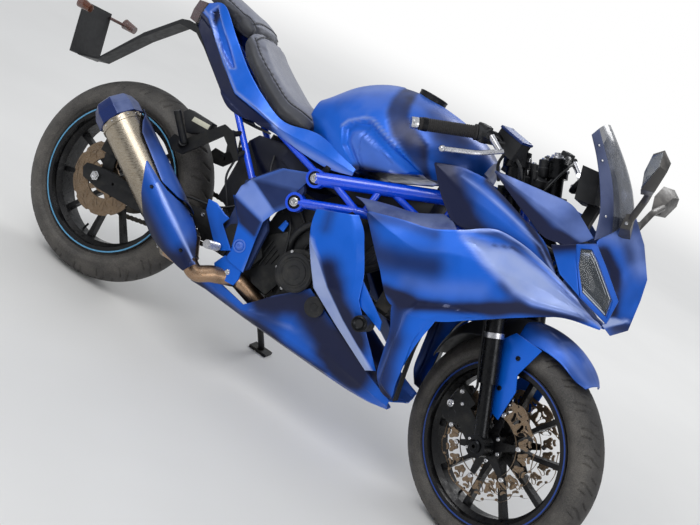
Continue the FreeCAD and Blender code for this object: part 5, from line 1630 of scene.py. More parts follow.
# x, then half a section from the bottom's middle to the top's as (y, z)
TANK = (
    (476, ((0, 775), (58, 775), (76, 800), (70, 836), (0, 852))),
    (540, ((0, 742), (95, 745), (118, 790), (104, 866), (0, 934))),
    (620, ((0, 718), (138, 720), (156, 772), (132, 890), (0, 983))),
    (700, ((0, 724), (148, 726), (172, 790), (142, 925), (0, 1003))),
    (790, ((0, 762), (150, 764), (176, 820), (140, 945), (0, 1000))),
    (880, ((0, 803), (138, 805), (164, 848), (128, 945), (0, 988))),
    (960, ((0, 842), (108, 844), (128, 874), (98, 940), (0, 963))),
    (1000, ((0, 864), (68, 866), (82, 886), (62, 925), (0, 940))),
)
# degrees round the axle, then half a section from the middle out as (radius, y)
FENDER = (
    (162, ((322, 0), (318, 30), (306, 48))), (150, ((334, 0), (330, 36), (312, 60))),
    (138, ((340, 0), (336, 40), (308, 69))), (124, ((344, 0), (340, 40), (290, 70))),
    (108, ((346, 0), (342, 40), (292, 70))), (92, ((346, 0), (342, 40), (302, 70))),
    (78, ((342, 0), (338, 38), (310, 66))), (66, ((334, 0), (330, 30), (312, 56))),
    (62, ((330, 0), (326, 20), (314, 34))),
)
# (x, z) corners
FENDER_PLATE = ((1300, 560), (1330, 600), (1420, 602), (1392, 510), (1412, 470), (1406, 378),
                (1345, 392), (1312, 440), (1336, 472))


def near_line(x: float, z: float, line: Sequence[tuple[float, float]]) -> float:
    """Distance to a line, seen from the side.

    Args:
        x: The place's x.
        z: The place's z.
        line: The line's points.

    Returns:
        The distance in mm.
    """
    best = 1e9
    for (a, b), (c, d) in zip(line, line[1:]):
        ex, ez = c - a, d - b
        t = max(0.0, min(1.0, ((x - a) * ex + (z - b) * ez) / max(ex * ex + ez * ez, 1e-9)))
        best = min(best, math.hypot(x - a - ex * t, z - b - ez * t))
    return best


def within(x: float, z: float, outline: Sequence[tuple[float, float]]) -> float:
    """How deep a place lies in an outline, seen from the side.

    Args:
        x: The place's x.
        z: The place's z.
        outline: The outline's corners.

    Returns:
        The depth in mm, negative outside.
    """
    inside = False
    for (a, b), (c, d) in zip(outline, [*outline[1:], outline[0]]):
        if (b > z) != (d > z) and x < (c - a) * (z - b) / (d - b) + a:
            inside = not inside
    apart = near_line(x, z, [*outline, outline[0]])
    return apart if inside else -apart


def ease(value: float, low: float, high: float) -> float:
    """Rises smoothly from 0 at low to 1 at high."""
    t = max(0.0, min(1.0, (value - low) / (high - low)))
    return t * t * (3 - 2 * t)


@dataclass(frozen=True)
class Cloud:
    """A soft stroke along a line, seen from the side, used for navy airbrushing, for painted shade
    and for painted highlights.
    """

    line: tuple[tuple[float, float], ...]
    width: float
    strength: float = 1.0

    def at(self, x: float, z: float) -> float:
        """Its share at a place."""
        return self.strength * math.exp(-(near_line(x, z, self.line) / self.width) ** 2)


@dataclass(frozen=True)
class Patch:
    """A soft field inside an outline, seen from the side, used for navy airbrushing, for painted
    shade and for painted highlights.
    """

    outline: tuple[tuple[float, float], ...]
    strength: float = 1.0
    soft: float = 6.0

    def at(self, x: float, z: float) -> float:
        """Its share at a place."""
        return self.strength * ease(within(x, z, self.outline), -self.soft, self.soft)


def clouds(*strokes: Cloud | Patch, base: float = 0.0) -> Callable[[Vector], float]:
    """The share from several strokes over a base."""
    def shade(p: Vector) -> float:
        """The share at a point in mm."""
        return max(0.0, min(1.0, base + sum(s.at(p.x, p.z) for s in strokes)))

    return shade


@dataclass(frozen=True)
class Recess:
    """A hollow or raised field with soft edges, seen from the side."""

    outline: tuple[tuple[float, float], ...]
    depth: float
    edge: float = 8.0

    def at(self, x: float, z: float) -> float:
        """Offset along the surface's normal at a place."""
        return self.depth * ease(within(x, z, self.outline), 0.0, self.edge)


@dataclass(frozen=True)
class Groove:
    """A narrow groove along a line, seen from the side."""

    line: tuple[tuple[float, float], ...]
    half: float = 2.5
    depth: float = -3.0

    def at(self, x: float, z: float) -> float:
        """Offset along the surface's normal at a place."""
        return self.depth * (1 - ease(near_line(x, z, self.line), self.half * 0.4,
                                      self.half * 1.6))


Relief = Sequence[Recess | Groove]


def carved(rows: Sequence[Sequence[Vector]], relief: Relief,
           closed: bool = False) -> list[list[Vector]]:
    """Moves a dense grid's points along its normals.

    Args:
        rows: The grid.
        relief: What is raised or sunk.
        closed: Whether each row's end meets its start.

    Returns:
        The moved rows.
    """
    tall, wide = len(rows), len(rows[0])
    made = []
    for i in range(tall):
        line = []
        for j in range(wide):
            p = rows[i][j]
            push = sum(r.at(p.x, p.z) for r in relief)
            if abs(push) > 1e-3:
                a = rows[min(i + 1, tall - 1)][j] - rows[max(i - 1, 0)][j]
                left, right = ((j - 1) % wide, (j + 1) % wide) if closed else (
                    max(j - 1, 0), min(j + 1, wide - 1))
                b = rows[i][right] - rows[i][left]
                normal = a.cross(b)
                if normal.length > 1e-9:
                    normal.normalize()
                    if normal.y * p.y < 0:
                        normal.negate()
                    p = p + normal * push
            line.append(p)
        made.append(line)
    return made


def to_middle(p: Vector) -> Vector:
    """Toward the machine's middle plane."""
    return Vector((0, -p.y, 0))


def both_sides(make: Callable[[Side], Mesh]) -> Mesh:
    """A mesh for each side, as one."""
    return joined(make(Side.RIGHT), make(Side.LEFT))


@dataclass
class Fairing:
    """The painted panels round the engine and the nose."""

    wall: float = 4.0
    edge: float = 1.3

    def panel(self, name: str, rows: Rows, replaces: tuple[str, ...],
              fade: Callable[[Vector], float], glow: Callable[[Vector], float],
              breaks: tuple[Sequence[int], Sequence[int]], steps: tuple[int, int]) -> None:
        """A pair of painted skins.

        Args:
            name: The piece's name.
            rows: Rows of points on the right side, with y as a plain distance.
            replaces: The nodes that it stands for.
            fade: The paint's shade at a point.
            glow: The paint's painted highlight at a point.
            breaks: Indices of its creases along the columns, then the rows.
            steps: Stretches for each span along the columns, then the rows.
        """
        def one(side: Side) -> Mesh:
            """One side's skin."""
            return grid_mesh(smooth_grid(mirrored(rows, side), steps, breaks))

        Build(Body.CHASSIS, PAINT, self.wall, to_middle, self.edge, fade=fade, glow=glow,
              replaces=replaces, slot="fairing").piece(name, both_sides(one))

    def side(self) -> None:
        """The large side panel with its lower leg in one skin."""
        steps = 12
        groove = ((1145, 752), (1189, 771), (1281, 760), (1376, 740), (1435, 732), (1477, 726))
        divide = ((1067, 733), (1110, 719), (1149, 703), (1196, 692), (1252, 676), (1308, 677),
                  (1435, 712))
        outer = ((1073, 290), (1061, 358), (1046, 431), (1037, 484), (1050, 521), (1126, 563))
        inner = ((1240, 592), (1117, 517), (1102, 484), (1099, 429), (1108, 358), (1124, 262))
        relief = (Groove(groove, 4, -4.5), Recess(outer + inner, 5, 5),
                  Recess(divide + groove[::-1], -5, 9))

        def one(side: Side) -> Mesh:
            """The upper field, and the leg that grows out of its lower edge."""
            upper = smooth_grid(mirrored(SIDE_UPPER, side), (steps, steps), ((), (2,)))
            shared = [row[0] for row in upper[2 * steps:4 * steps + 1]]
            above = [row[steps] for row in upper[2 * steps:4 * steps + 1]]
            rows = [smooth_line(row, steps) for row in mirrored(SIDE_LEG, side)]
            lines = [smooth_line([above[j], shared[j], *(row[j] for row in rows)],
                                 steps)[steps:]
                     for j in range(len(shared))]
            leg = [[line[i] for line in lines] for i in range(len(lines[0]))]
            return joined(grid_mesh(carved(upper, relief)), grid_mesh(carved(leg, relief)))

        # navy airbrushing; the thin stroke along the groove is painted shade in it
        fade = clouds(Cloud(((830, 598), (885, 571), (953, 590), (1040, 625)), 50, 0.75),
                      Cloud(((960, 506), (1056, 519), (1168, 578), (1272, 643), (1424, 711)), 17,
                            0.95),
                      Cloud(((1020, 480), (1050, 400), (1085, 280)), 34, 0.75),
                      Cloud(((1093, 768), (1150, 784), (1260, 790)), 14, 0.7),
                      Cloud(((1225, 690), (1275, 672)), 22, 0.55), Cloud(groove, 4, 0.8),
                      Cloud(((815, 650), (908, 680), (1000, 700)), 20, 0.5),
                      Cloud(((1080, 268), (1120, 262)), 10, 0.9))
        top = tuple((row[-1][0], row[-1][2]) for row in SIDE_UPPER[3:])
        # painted highlights: the sky's reflection on the facet between the divide and the groove, a
        # bright line on the top lip, soft lines on the flank and the arch's edge
        glow = clouds(Patch(divide + groove[::-1], 0.9, 17), Cloud(top, 5, 0.9),
                      Cloud(((1004, 560), (1080, 585), (1180, 640)), 24, 0.16),
                      Cloud(((1065, 300), (1050, 431), (1042, 484), (1060, 525)), 5, 0.3))
        Build(Body.CHASSIS, PAINT, self.wall, to_middle, self.edge, fade=fade, glow=glow,
              replaces=("side_fairings",), slot="fairing").piece("side_panels", both_sides(one))
        self.linings(inner, top)

    def linings(self, edge: Sequence[tuple[float, float]],
                top: Sequence[tuple[float, float]]) -> None:
        """The black inner lip of the arch, the ledge over the top edge, and a fin.

        Args:
            edge: The arch's edge seen from the side.
            top: The top edge seen from the side.
        """
        reach = {1240: 185, 1117: 201, 1102: 202, 1099: 197, 1108: 186, 1124: 164}

        def lip(side: Side) -> Mesh:
            """The wall that turns in from the arch's edge."""
            rows = [[Vector((x, side.value * (reach[x] - k), z)) for k in (3, 20, 46)]
                    for x, z in edge]
            return grid_mesh(smooth_grid(rows, (6, 4)))

        def ledge(side: Side) -> Mesh:
            """A dark strip that leans in from the top edge."""
            rows = [[Vector((x - 2 * k, side.value * (y - k), z + h)) for k, h in
                     ((3, -4), (14, 8), (34, 12))]
                    for x, y, z in ((815, 200, 660), (908, 204, 688), (986, 204, 708),
                                    (1050, 202, 742))]
            return grid_mesh(smooth_grid(rows, (6, 3)))

        Build(Body.CHASSIS, BLACK_PLASTIC, 3.0, lambda p: Vector((1, 0, 0)), 0.8,
              slot="black").piece("arch_lips", both_sides(lip))
        Build(Body.CHASSIS, DARK_PAINT, 3.0, lambda p: Vector((0, -p.y, -120)), 0.8,
              slot="fairing").piece("side_ledges", both_sides(ledge))
        fin = ((874, 495), (898, 492), (997, 429), (1006, 405), (919, 433))
        Build(Body.CHASSIS, PAINT, edge=2, slot="fairing", fade=clouds(
            Cloud(((900, 470), (980, 420)), 12, 0.4))).piece(
                "side_fins", *(slab(fin, s * 189, s * 196) for s in SIDES))

    def belly(self) -> None:
        """The pan under the engine, a skin from side to side."""
        def half(side: Side, table: Sequence) -> Mesh:
            """One side from the keel up."""
            rows = [[Vector((x, w * side.value, z)) for w, z in line] for x, line in table]
            # the rows where the pan's upper edge has a corner
            peaks = [i for i, (x, _) in enumerate(table) if x in (474, 613, 681, 767)]
            dense = smooth_grid(rows, (6, 5), (peaks, (1, 2, 3)))
            relief = (Groove(((868, 300), (930, 228)), 3, -3),
                      Groove(((882, 300), (944, 228)), 3, -3),
                      Groove(((640, 262), (700, 246), (1090, 236)), 2, -1.6))
            return grid_mesh(carved(dense, relief))

        fade = clouds(Cloud(((660, 300), (767, 345), (880, 300), (1000, 262)), 50, 1.0),
                      Cloud(((430, 210), (600, 208), (900, 206)), 16, 0.7),
                      Cloud(((880, 250), (1000, 232)), 20, 0.4), base=0.1)
        # painted highlights on an upper facet and along the crease
        glow = clouds(Patch(((677, 309), (761, 388), (743, 400), (684, 330)), 0.8, 6),
                      Cloud(((640, 243), (800, 272), (1000, 246)), 5, 0.25))
        Build(Body.CHASSIS, PAINT, self.wall, lambda p: Vector((0, -p.y, 260 - p.z)), self.edge,
              fade=fade, glow=glow, replaces=("belly_pan",), slot="fairing").piece(
                  "belly", half(Side.RIGHT, BELLY), half(Side.LEFT, BELLY[4:]))

    def nose(self) -> None:
        """The centre of the nose, subdivided from its facets."""
        names = list(NOSE_POINTS)
        points, faces = [], []
        for side in (Side.RIGHT, Side.LEFT):
            start = len(points)
            points += [Vector((x, y * side.value, z)) for x, y, z in NOSE_POINTS.values()]
            faces += [tuple(start + names.index(n) for n in ring) for ring in NOSE_FACES]
        fade = clouds(Cloud(((1380, 880), (1425, 850), (1470, 760)), 16, 0.95),
                      Cloud(((1400, 985), (1470, 925)), 16, 0.4),
                      Cloud(((1500, 730), (1520, 740)), 24, 0.6),
                      Cloud(((1390, 960), (1440, 900)), 18, 0.35), base=0.22)
        # painted highlights on the upper facets and on the lip under the lamp
        glow = clouds(Cloud(((1366, 930), (1420, 950), (1470, 900)), 30, 0.45),
                      Patch(((1458, 712), (1476, 712), (1524, 764), (1470, 742)), 1.0, 4))
        mesh = drawn("nose_draft", points, faces)
        with edited(mesh) as made:
            bmesh.ops.remove_doubles(made, verts=made.verts, dist=0.01)
            crease = made.edges.layers.float.new("crease_edge")
            for edge in made.edges:
                middle = all(abs(v.co.y) < 1 for v in edge.verts)
                edge[crease] = 1.0 if edge.is_boundary else 0.55 if middle else 0.35
        holder = placed("nose_draft", mesh)
        soft = holder.modifiers.new("soft", "SUBSURF")
        soft.levels = soft.render_levels = 3
        soft.boundary_smooth = "PRESERVE_CORNERS"
        baked(holder)
        Build(Body.CHASSIS, PAINT, self.wall, lambda p: Vector((1330, 0, 800)) - p, self.edge,
              fade=fade, glow=glow, replaces=("nose_cowl",), slot="fairing",
              sharp=40).piece("nose", taken(holder))

    def screen(self) -> None:
        """The windscreen: smoked in the middle, its border painted."""
        rows = []
        for row in SCREEN:
            right = [Vector((x, -y, z)) for x, y, z in row]
            left = [Vector((p.x, -p.y, p.z)) for p in right if abs(p.y) > 1e-6]
            rows.append([*reversed(left), *right])
        dense = smooth_grid(rows, (8, 6))
        rim = 5

        def inside(p: Vector) -> Vector:
            """Toward the rider."""
            return Vector((1200, 0, 960)) - p

        # the painted rims take a painted highlight down the screen's side
        for name, low, high, finish in (
                ("screen_clear", rim, len(dense[0]) - rim, SMOKED),
                ("screen_rim_left", 0, rim + 1, SLATE),
                ("screen_rim_right", len(dense[0]) - rim - 1, len(dense[0]), SLATE)):
            part = [row[low:high] for row in dense]
            clear = finish is SMOKED
            Build(Body.CHASSIS, finish, 3.0, inside, 0.8 if not clear else 0.0,
                  replaces=("windscreen",) if clear else (), slot="screen" if clear else "fairing",
                  glow=clouds(Cloud(((1200, 1130), (1300, 1030), (1347, 893)), 40, 0.4)),
                  fade=clouds(Cloud(((1210, 1110), (1250, 1080)), 26, 0.3), base=0.15)).piece(
                      name, grid_mesh(part))
        beads = [Stud((p.x + 1, p.y, p.z + 1), (0.7, 0, 0.7), 3.4) for p in (
            dense[6][-3], dense[6][2], dense[-6][-3], dense[-6][2], dense[22][-3], dense[22][2])]
        screws("screen_screws", beads, Body.CHASSIS, BOLT)

    def build(self) -> None:
        """Builds every panel."""
        self.side()
        # each panel's second clouds are painted highlights: the rear bevel of the mid covers, the
        # ridge line of the ducts and the upper field of the flanks
        self.panel("mid_covers", MID_PANEL, ("mid_panels",),
                   clouds(Cloud(((800, 470), (860, 410), (960, 345)), 40, 0.95),
                          Cloud(((720, 610), (735, 560)), 22, 0.5), base=0.05),
                   clouds(Patch(((700, 524), (744, 440), (787, 392), (880, 346), (1017, 280),
                                 (1036, 300), (903, 378), (827, 430), (770, 474)), 1.0, 5)),
                   breaks=((4,), (1, 2)), steps=(10, 8))
        self.panel("ducts", DUCT, ("air_ducts",),
                   clouds(Cloud(((900, 850), (960, 800), (1020, 750)), 60, 1.0),
                          Cloud(((1040, 886), (1180, 850), (1303, 775)), 9, 0.9),
                          Cloud(((1040, 760), (1200, 768)), 26, 0.5), base=0.3),
                   clouds(Cloud(((975, 866), (1060, 858), (1170, 832), (1243, 812), (1303, 772)),
                                5, 0.6)), breaks=((2,), (1,)), steps=(8, 7))
        self.panel("nose_flanks", NOSE_SIDE, ("nose_sides",),
                   clouds(Cloud(((1060, 908), (1180, 862), (1240, 842), (1290, 850)), 18, 0.8),
                          Cloud(((1300, 850), (1330, 870)), 14, 0.4), base=0.55),
                   clouds(Patch(((1040, 915), (1110, 896), (1180, 884), (1250, 872), (1330, 868),
                                 (1345, 900), (1250, 960), (1100, 940)), 0.45, 9)),
                   breaks=((4,), (1,)), steps=(8, 7))

        def cheek(side: Side) -> Mesh:
            """The facets between the flank and the lamp."""
            return facet_mesh([(x, side.value * y, z) for x, y, z in CHEEK],
                              ((0, 1, 2, 3), (0, 3, 5), (3, 4, 5)))

        Build(Body.CHASSIS, PAINT, self.wall, to_middle, self.edge, slot="fairing",
              fade=clouds(Cloud(((1262, 829), (1316, 864)), 22, 0.7), base=0.25)).piece(
                  "nose_cheeks", both_sides(cheek))
        self.belly()
        self.nose()
        self.screen()


@dataclass
class TankAndTail:
    """The tank with its knee hollows, and the tail's side panels."""

    edge: float = 1.3

    def tank(self) -> None:
        """The tank: dense rings, carved at the knees."""
        knee = ((637, 767), (606, 816), (613, 833), (653, 863), (677, 868), (728, 851),
                (775, 839), (899, 807), (884, 786), (720, 718))
        pad = ((644, 790), (639, 817), (666, 832), (722, 821), (779, 808), (852, 788), (720, 725))
        wedge = ((650, 1010), (694, 907), (753, 856), (880, 809), (896, 812), (850, 885),
                 (756, 929), (700, 1015))
        relief = (Recess(knee, -14, 9), Recess(pad, 5, 6), Recess(wedge, -2.5, 3),
                  Groove(((666, 827), (688, 770), (720, 735)), 2.5, -3.5),
                  Groove(((672, 828), (728, 811), (786, 790)), 2.5, -3.5),
                  Groove(((560, 746), (616, 718)), 1.6, -2.5))
        dense = carved(hull_rows(TANK, (20, 18), (1, 7)), relief, closed=True)
        fade = clouds(Patch(wedge, 0.7, 12), Cloud(((700, 735), (800, 762), (884, 800)), 14, 0.9),
                      Cloud(((680, 845), (640, 835), (622, 806)), 8, 0.3),
                      Patch(((900, 700), (900, 850), (850, 900), (800, 960), (1010, 980),
                             (1010, 700)), 0.62, 40), Patch(pad, 0.12, 5))
        # painted highlights along the knee hollow's edges, on the pad and on the top
        glow = clouds(Cloud(((790, 775), (852, 783), (901, 801)), 4, 0.9),
                      Cloud(((604, 816), (612, 835), (653, 866), (679, 871), (775, 842)), 4.5, 0.5),
                      Cloud(((480, 860), (560, 930), (640, 980)), 26, 0.4), Patch(pad, 0.16, 5))
        Build(Body.CHASSIS, PAINT, fade=fade, glow=glow, replaces=("fuel_tank",), slot="tank",
              sharp=42).piece("tank", grid_mesh(dense, closed=True, capped=True))

    def tail(self) -> None:
        """The tail's side panels with their slot."""
        slot = ((30, 902), (52, 926), (150, 850), (214, 798), (200, 790), (110, 836))
        crease = ((-20, 896), (40, 884), (73, 866), (171, 792), (255, 738), (340, 728),
                  (427, 714))
        relief = (Recess(slot, -13, 5), Groove(crease, 2.5, -2.5),
                  Recess(((427, 716), (340, 726), (255, 736), (171, 790), (73, 862), (-10, 880),
                          (-10, 830), (171, 720), (340, 680)), -5, 7))

        def fade(p: Vector) -> float:
            """Navy under the crease, black at the slot's rear end."""
            below = 0.0
            if p.x < 470:
                z = next((b + (d - b) * (p.x - a) / (c - a) for (a, b), (c, d)
                          in zip(crease, crease[1:]) if a <= p.x <= c), 712)
                below = 0.93 * ease(z - p.z, 0, 7) * (1 - ease(p.x, 380, 470))
            deep = ease(within(p.x, p.z, slot), 2, 6) * (0.25 + 0.75 * (1 - ease(p.x, 60, 90)))
            return min(1.0, below + deep)

        ring = (*slot, slot[0])
        # painted highlights along the crease and round the slot
        glow = clouds(Cloud(tuple((x, z + 3) for x, z in crease), 4, 0.55), Cloud(ring, 3.5, 0.5),
                      Cloud(((415, 714), (500, 697), (700, 708)), 10, 0.45))

        def one(side: Side) -> Mesh:
            """One side's skin."""
            dense = smooth_grid(mirrored(TAIL, side), (18, 16), ((), (1,)))
            return grid_mesh(carved(dense, relief))

        Build(Body.CHASSIS, PAINT, 4.0, to_middle, self.edge, fade=fade, glow=glow,
              replaces=("tail_panels",), slot="fairing").piece("tail_sides", both_sides(one))

    def build(self) -> None:
        """Builds the tank and the tail."""
        self.tank()
        self.tail()


@dataclass
class FrontFender:
    """The fender over the front wheel: blue in front, black behind, a plate on each side."""

    plate_y: float = 70.0
    plate_thick: float = 5.0

    def build(self) -> None:
        """Builds the shell, its side plates and their screws."""
        rows = []
        for angle, half in FENDER:
            points = [at_angle(FRONT_AXLE, angle, r, y) for r, y in half]
            rows.append([Vector((p.x, -p.y, p.z)) for p in reversed(points[1:])] + points)
        dense = smooth_grid(rows, (8, 6), ((), (2,)))
        split = next(i for i, row in enumerate(dense) if row[6].x > 1330)

        def hub(p: Vector) -> Vector:
            """Toward the wheel."""
            return FRONT_AXLE - p

        # a painted highlight along the fender's top
        Build(Body.STEERING, PAINT, 4.0, hub, 1.2, fade=clouds(
            Cloud(((1380, 640), (1440, 640)), 22, 0.35), base=0.22), glow=clouds(
                Cloud(((1440, 640), (1500, 615), (1560, 590)), 7, 0.3)),
            replaces=("front_fender",),
            slot="fairing").piece("fender_front", grid_mesh(dense[split - 1:]))
        Build(Body.STEERING, BLACK_PLASTIC, 4.0, hub, 1.2, slot="black").piece(
            "fender_rear", grid_mesh(dense[:split]))
        plates, studs = [], []
        for s in SIDES:
            face = self.plate_y + self.plate_thick
            plates.append(slab(FENDER_PLATE, s * self.plate_y, s * face))
            studs += [Stud((x, s * (face + 0.2), z), (0, s, 0), 6.5)
                      for x, z in ((1372, 548), (1366, 452))]
        Build(Body.STEERING, PAINT, edge=2.2, slot="fairing").piece("fender_plates", *plates)
        screws("fender_screws", studs, Body.STEERING, DARK_BOLT)


# Silencer and seats


def fitted(table: Sequence[tuple[float, float]], x: float) -> float:
    """The value of a table at a place, straight between its rows.

    Args:
        table: (x, value) pairs in the order of x.
        x: The place.

    Returns:
        The value.
    """
    for (a, b), (c, d) in zip(table, table[1:]):
        if min(a, c) <= x <= max(a, c):
            return b + (d - b) * (x - a) / (c - a)
    return table[0][1] if abs(x - table[0][0]) < abs(x - table[-1][0]) else table[-1][1]


@dataclass
class Silencer:
    """Two painted guards over the can, a faceted end cap, bands and rivets."""

    front: Point = (436, -203, 268)
    back: Point = (-8, -203, 520)
    can: float = 60.6
    # the upper guard's lower edge: share of the way back, angle
    low_edge: tuple = ((0.25, 112), (0.29, 88), (0.336, 68), (0.40, 56), (0.449, 48), (0.661, 54),
                       (0.765, 57), (0.829, 71), (0.875, 90), (0.9, 104))
    # the lower guard: share of the way back, its lowest and its highest angle
    lower: tuple = ((-0.05, -2, 4), (-0.01, -12, 43), (0.1, -32, 75), (0.235, -52, 100),
                    (0.33, -45, 64), (0.39, -24, 50), (0.449, -8, 44), (0.51, 13, 41),
                    (0.59, 34, 38))

    def line(self) -> tuple[Vector, Vector, Vector]:
        """Both ends of the can's middle line, and its direction."""
        front, back = Vector(self.front), Vector(self.back)
        return front, back, (back - front).normalized()

    def at(self, share: float, angle: float, radius: float) -> Vector:
        """A point on or round the can.

        Args:
            share: Share of the way back along the can.
            angle: Degrees from the right side toward the top.
            radius: Distance from the middle line.

        Returns:
            The point.
        """
        front, back, way = self.line()
        over = Vector((way.z, 0, -way.x))
        a = math.radians(angle)
        out = Vector((0, -math.cos(a), 0)) + over * math.sin(a)
        return front.lerp(back, share) + out * radius

    def to_axis(self, p: Vector) -> Vector:
        """Toward the can's middle line."""
        front, _, way = self.line()
        return front + way * (p - front).dot(way) - p

    def stud(self, share: float, angle: float, radius: float, size: float) -> Stud:
        """A place for a screw that points away from the can's middle line."""
        spot = self.at(share, angle, radius)
        return Stud(spot, -self.to_axis(spot), size)

    def crest(self, angle: float, peak: float = 34.0, share: float = 0.5) -> float:
        """Radius of a guard with a crease at an angle, less where the can begins."""
        taper = 9.5 * (1 - ease(share, -0.06, 0.2))
        return 65.6 + 7.5 * max(0.0, 1 - abs(angle - peak) / 62) ** 1.1 - taper

    def guards(self) -> None:
        """The upper strip over the can's top and the lower leaf with its crease."""
        upper = []
        for share in np.linspace(0.25, 0.93, 46):
            low = fitted(self.low_edge, share) if share < 0.9 else 108
            upper.append([self.at(share, a, self.crest(a, 84)) for a in
                          np.linspace(low, 128, 16)])
        rows = []
        for share in np.linspace(-0.05, 0.59, 54):
            low = fitted([(s, a) for s, a, _ in self.lower], share)
            high = fitted([(s, b) for s, _, b in self.lower], share)
            angles = [low + (34 - low) * k / 8 for k in range(8)] if low < 32 else [
                low + (high - low) * k / 16 for k in range(8)]
            start = 34 if low < 32 else angles[-1]
            angles += [start + (high - start) * k / 8 for k in range(9)]
            rows.append([self.at(share, a, self.crest(a, share=share)) for a in angles])

        def shares(p: Vector) -> tuple[float, float]:
            """Share along the can and angle round it."""
            front, back, way = self.line()
            share = (p - front).dot(way) / (back - front).length
            off = p - front.lerp(back, share)
            return share, math.degrees(math.atan2(off.dot(Vector((way.z, 0, -way.x))), -off.y))

        def fade(p: Vector) -> float:
            """Navy rear end and lower flank, blue in the middle."""
            share, angle = shares(p)
            dark = 0.4 + ease(share, 0.62, 0.92) * 0.5 + 0.6 * ease(-angle, -24, 40)
            return min(1.0, dark + 0.55 * math.exp(-((share - 0.30) / 0.07) ** 2)
                       * ease(angle, 60, 90) + 0.35 * ease(0.12 - share, 0, 0.12))

        def glow(p: Vector) -> float:
            """A painted highlight along the crease and the edges toward the can."""
            share, angle = shares(p)
            if share < 0.45:
                return 0.8 * math.exp(-((angle - 35) / 3.4) ** 2)
            return 0.35 * math.exp(-((angle - fitted(self.low_edge, min(share, 0.89))) / 5) ** 2)

        Build(Body.CHASSIS, PAINT, 3.0, self.to_axis, 0.9, fade=fade, glow=glow,
              replaces=("muffler_guard",), slot="fairing", sharp=28).piece(
                  "silencer_guards", grid_mesh(upper), grid_mesh(rows))
        spots = [(0.442, 21), (0.051, 18), (0.23, 92), (0.305, 106), (0.86, 100)]
        studs = [self.stud(s, a, self.crest(a, 34 if s < 0.5 else 84, s) + 0.4, 5.2)
                 for s, a in spots]
        screws("silencer_screws", studs, Body.CHASSIS, DARK_BOLT)

    def ends(self) -> None:
        """The eight-sided end cap with its outlet, bands on the can and the clamp."""
        rings = []
        for share, radius in ((0.915, 61.5), (0.918, 64.5), (0.985, 64.5), (1.035, 55),
                              (1.046, 46), (1.046, 33), (1.0, 31.5), (0.95, 29.5)):
            rings.append([self.at(share, 22.5 + 45 * k, radius * (1.04 if radius > 40 else 1))
                          for k in range(8)])
        mesh = grid_mesh([list(ring) for ring in zip(*rings)] + [[ring[0] for ring in rings]])
        Build(Body.CHASSIS, DARK_PAINT, edge=1.4, edge_angle=20, sharp=12,
              replaces=("muffler_cap",), slot="fairing").piece("silencer_cap", mesh)
        front, _, way = self.line()
        bands = [revolved([(self.can - 0.4, d), (self.can + 1.3, d + 0.8), (self.can + 1.3, d + 7),
                           (self.can - 0.4, d + 7.8)], front, way, 72, closed=True)
                 for d in (60, 448)]
        band = revolved([(28, 2), (30.6, 2), (30.6, 14), (28, 14)], front, way, 48, closed=True)
        Build(Body.CHASSIS, CAN_STEEL, sharp=30).piece("silencer_bands", *bands, band)
        rivets = [self.stud(share, 24 * k, self.can + 0.2, 2.4) for share in (0.9, 0.165)
                  for k in range(15)]
        screws("silencer_rivets", rivets, Body.CHASSIS, BOLT)

    def build(self) -> None:
        """Builds the guards and the ends."""
        self.guards()
        self.ends()


# x, then half a section from the bottom's middle to the top's as (y, z)
RIDER_SEAT = (
    (196, ((0, 866), (88, 868), (104, 884), (92, 912), (50, 927), (0, 929))),
    (214, ((0, 848), (98, 850), (112, 872), (98, 905), (52, 917), (0, 919))),
    (260, ((0, 814), (110, 818), (124, 840), (104, 872), (56, 882), (0, 884))),
    (340, ((0, 770), (116, 774), (129, 796), (106, 826), (58, 834), (0, 835))),
    (410, ((0, 742), (114, 746), (127, 768), (102, 796), (54, 803), (0, 803))),
    (462, ((0, 736), (108, 740), (120, 760), (92, 790), (48, 803), (0, 808))),
    (492, ((0, 738), (98, 741), (110, 758), (84, 784), (44, 800), (0, 806))),
    (506, ((0, 748), (86, 750), (96, 762), (76, 776), (40, 786), (0, 790))),
)
PILLION_SEAT = (
    (-58, ((0, 952), (42, 952), (52, 963), (42, 980), (20, 986), (0, 987))),
    (30, ((0, 928), (64, 928), (76, 941), (62, 966), (30, 976), (0, 977))),
    (120, ((0, 904), (80, 904), (92, 919), (76, 948), (38, 958), (0, 959))),
    (176, ((0, 894), (86, 894), (99, 910), (82, 938), (40, 946), (0, 947))),
    (196, ((0, 896), (84, 896), (95, 908), (80, 926), (40, 934), (0, 935))),
)


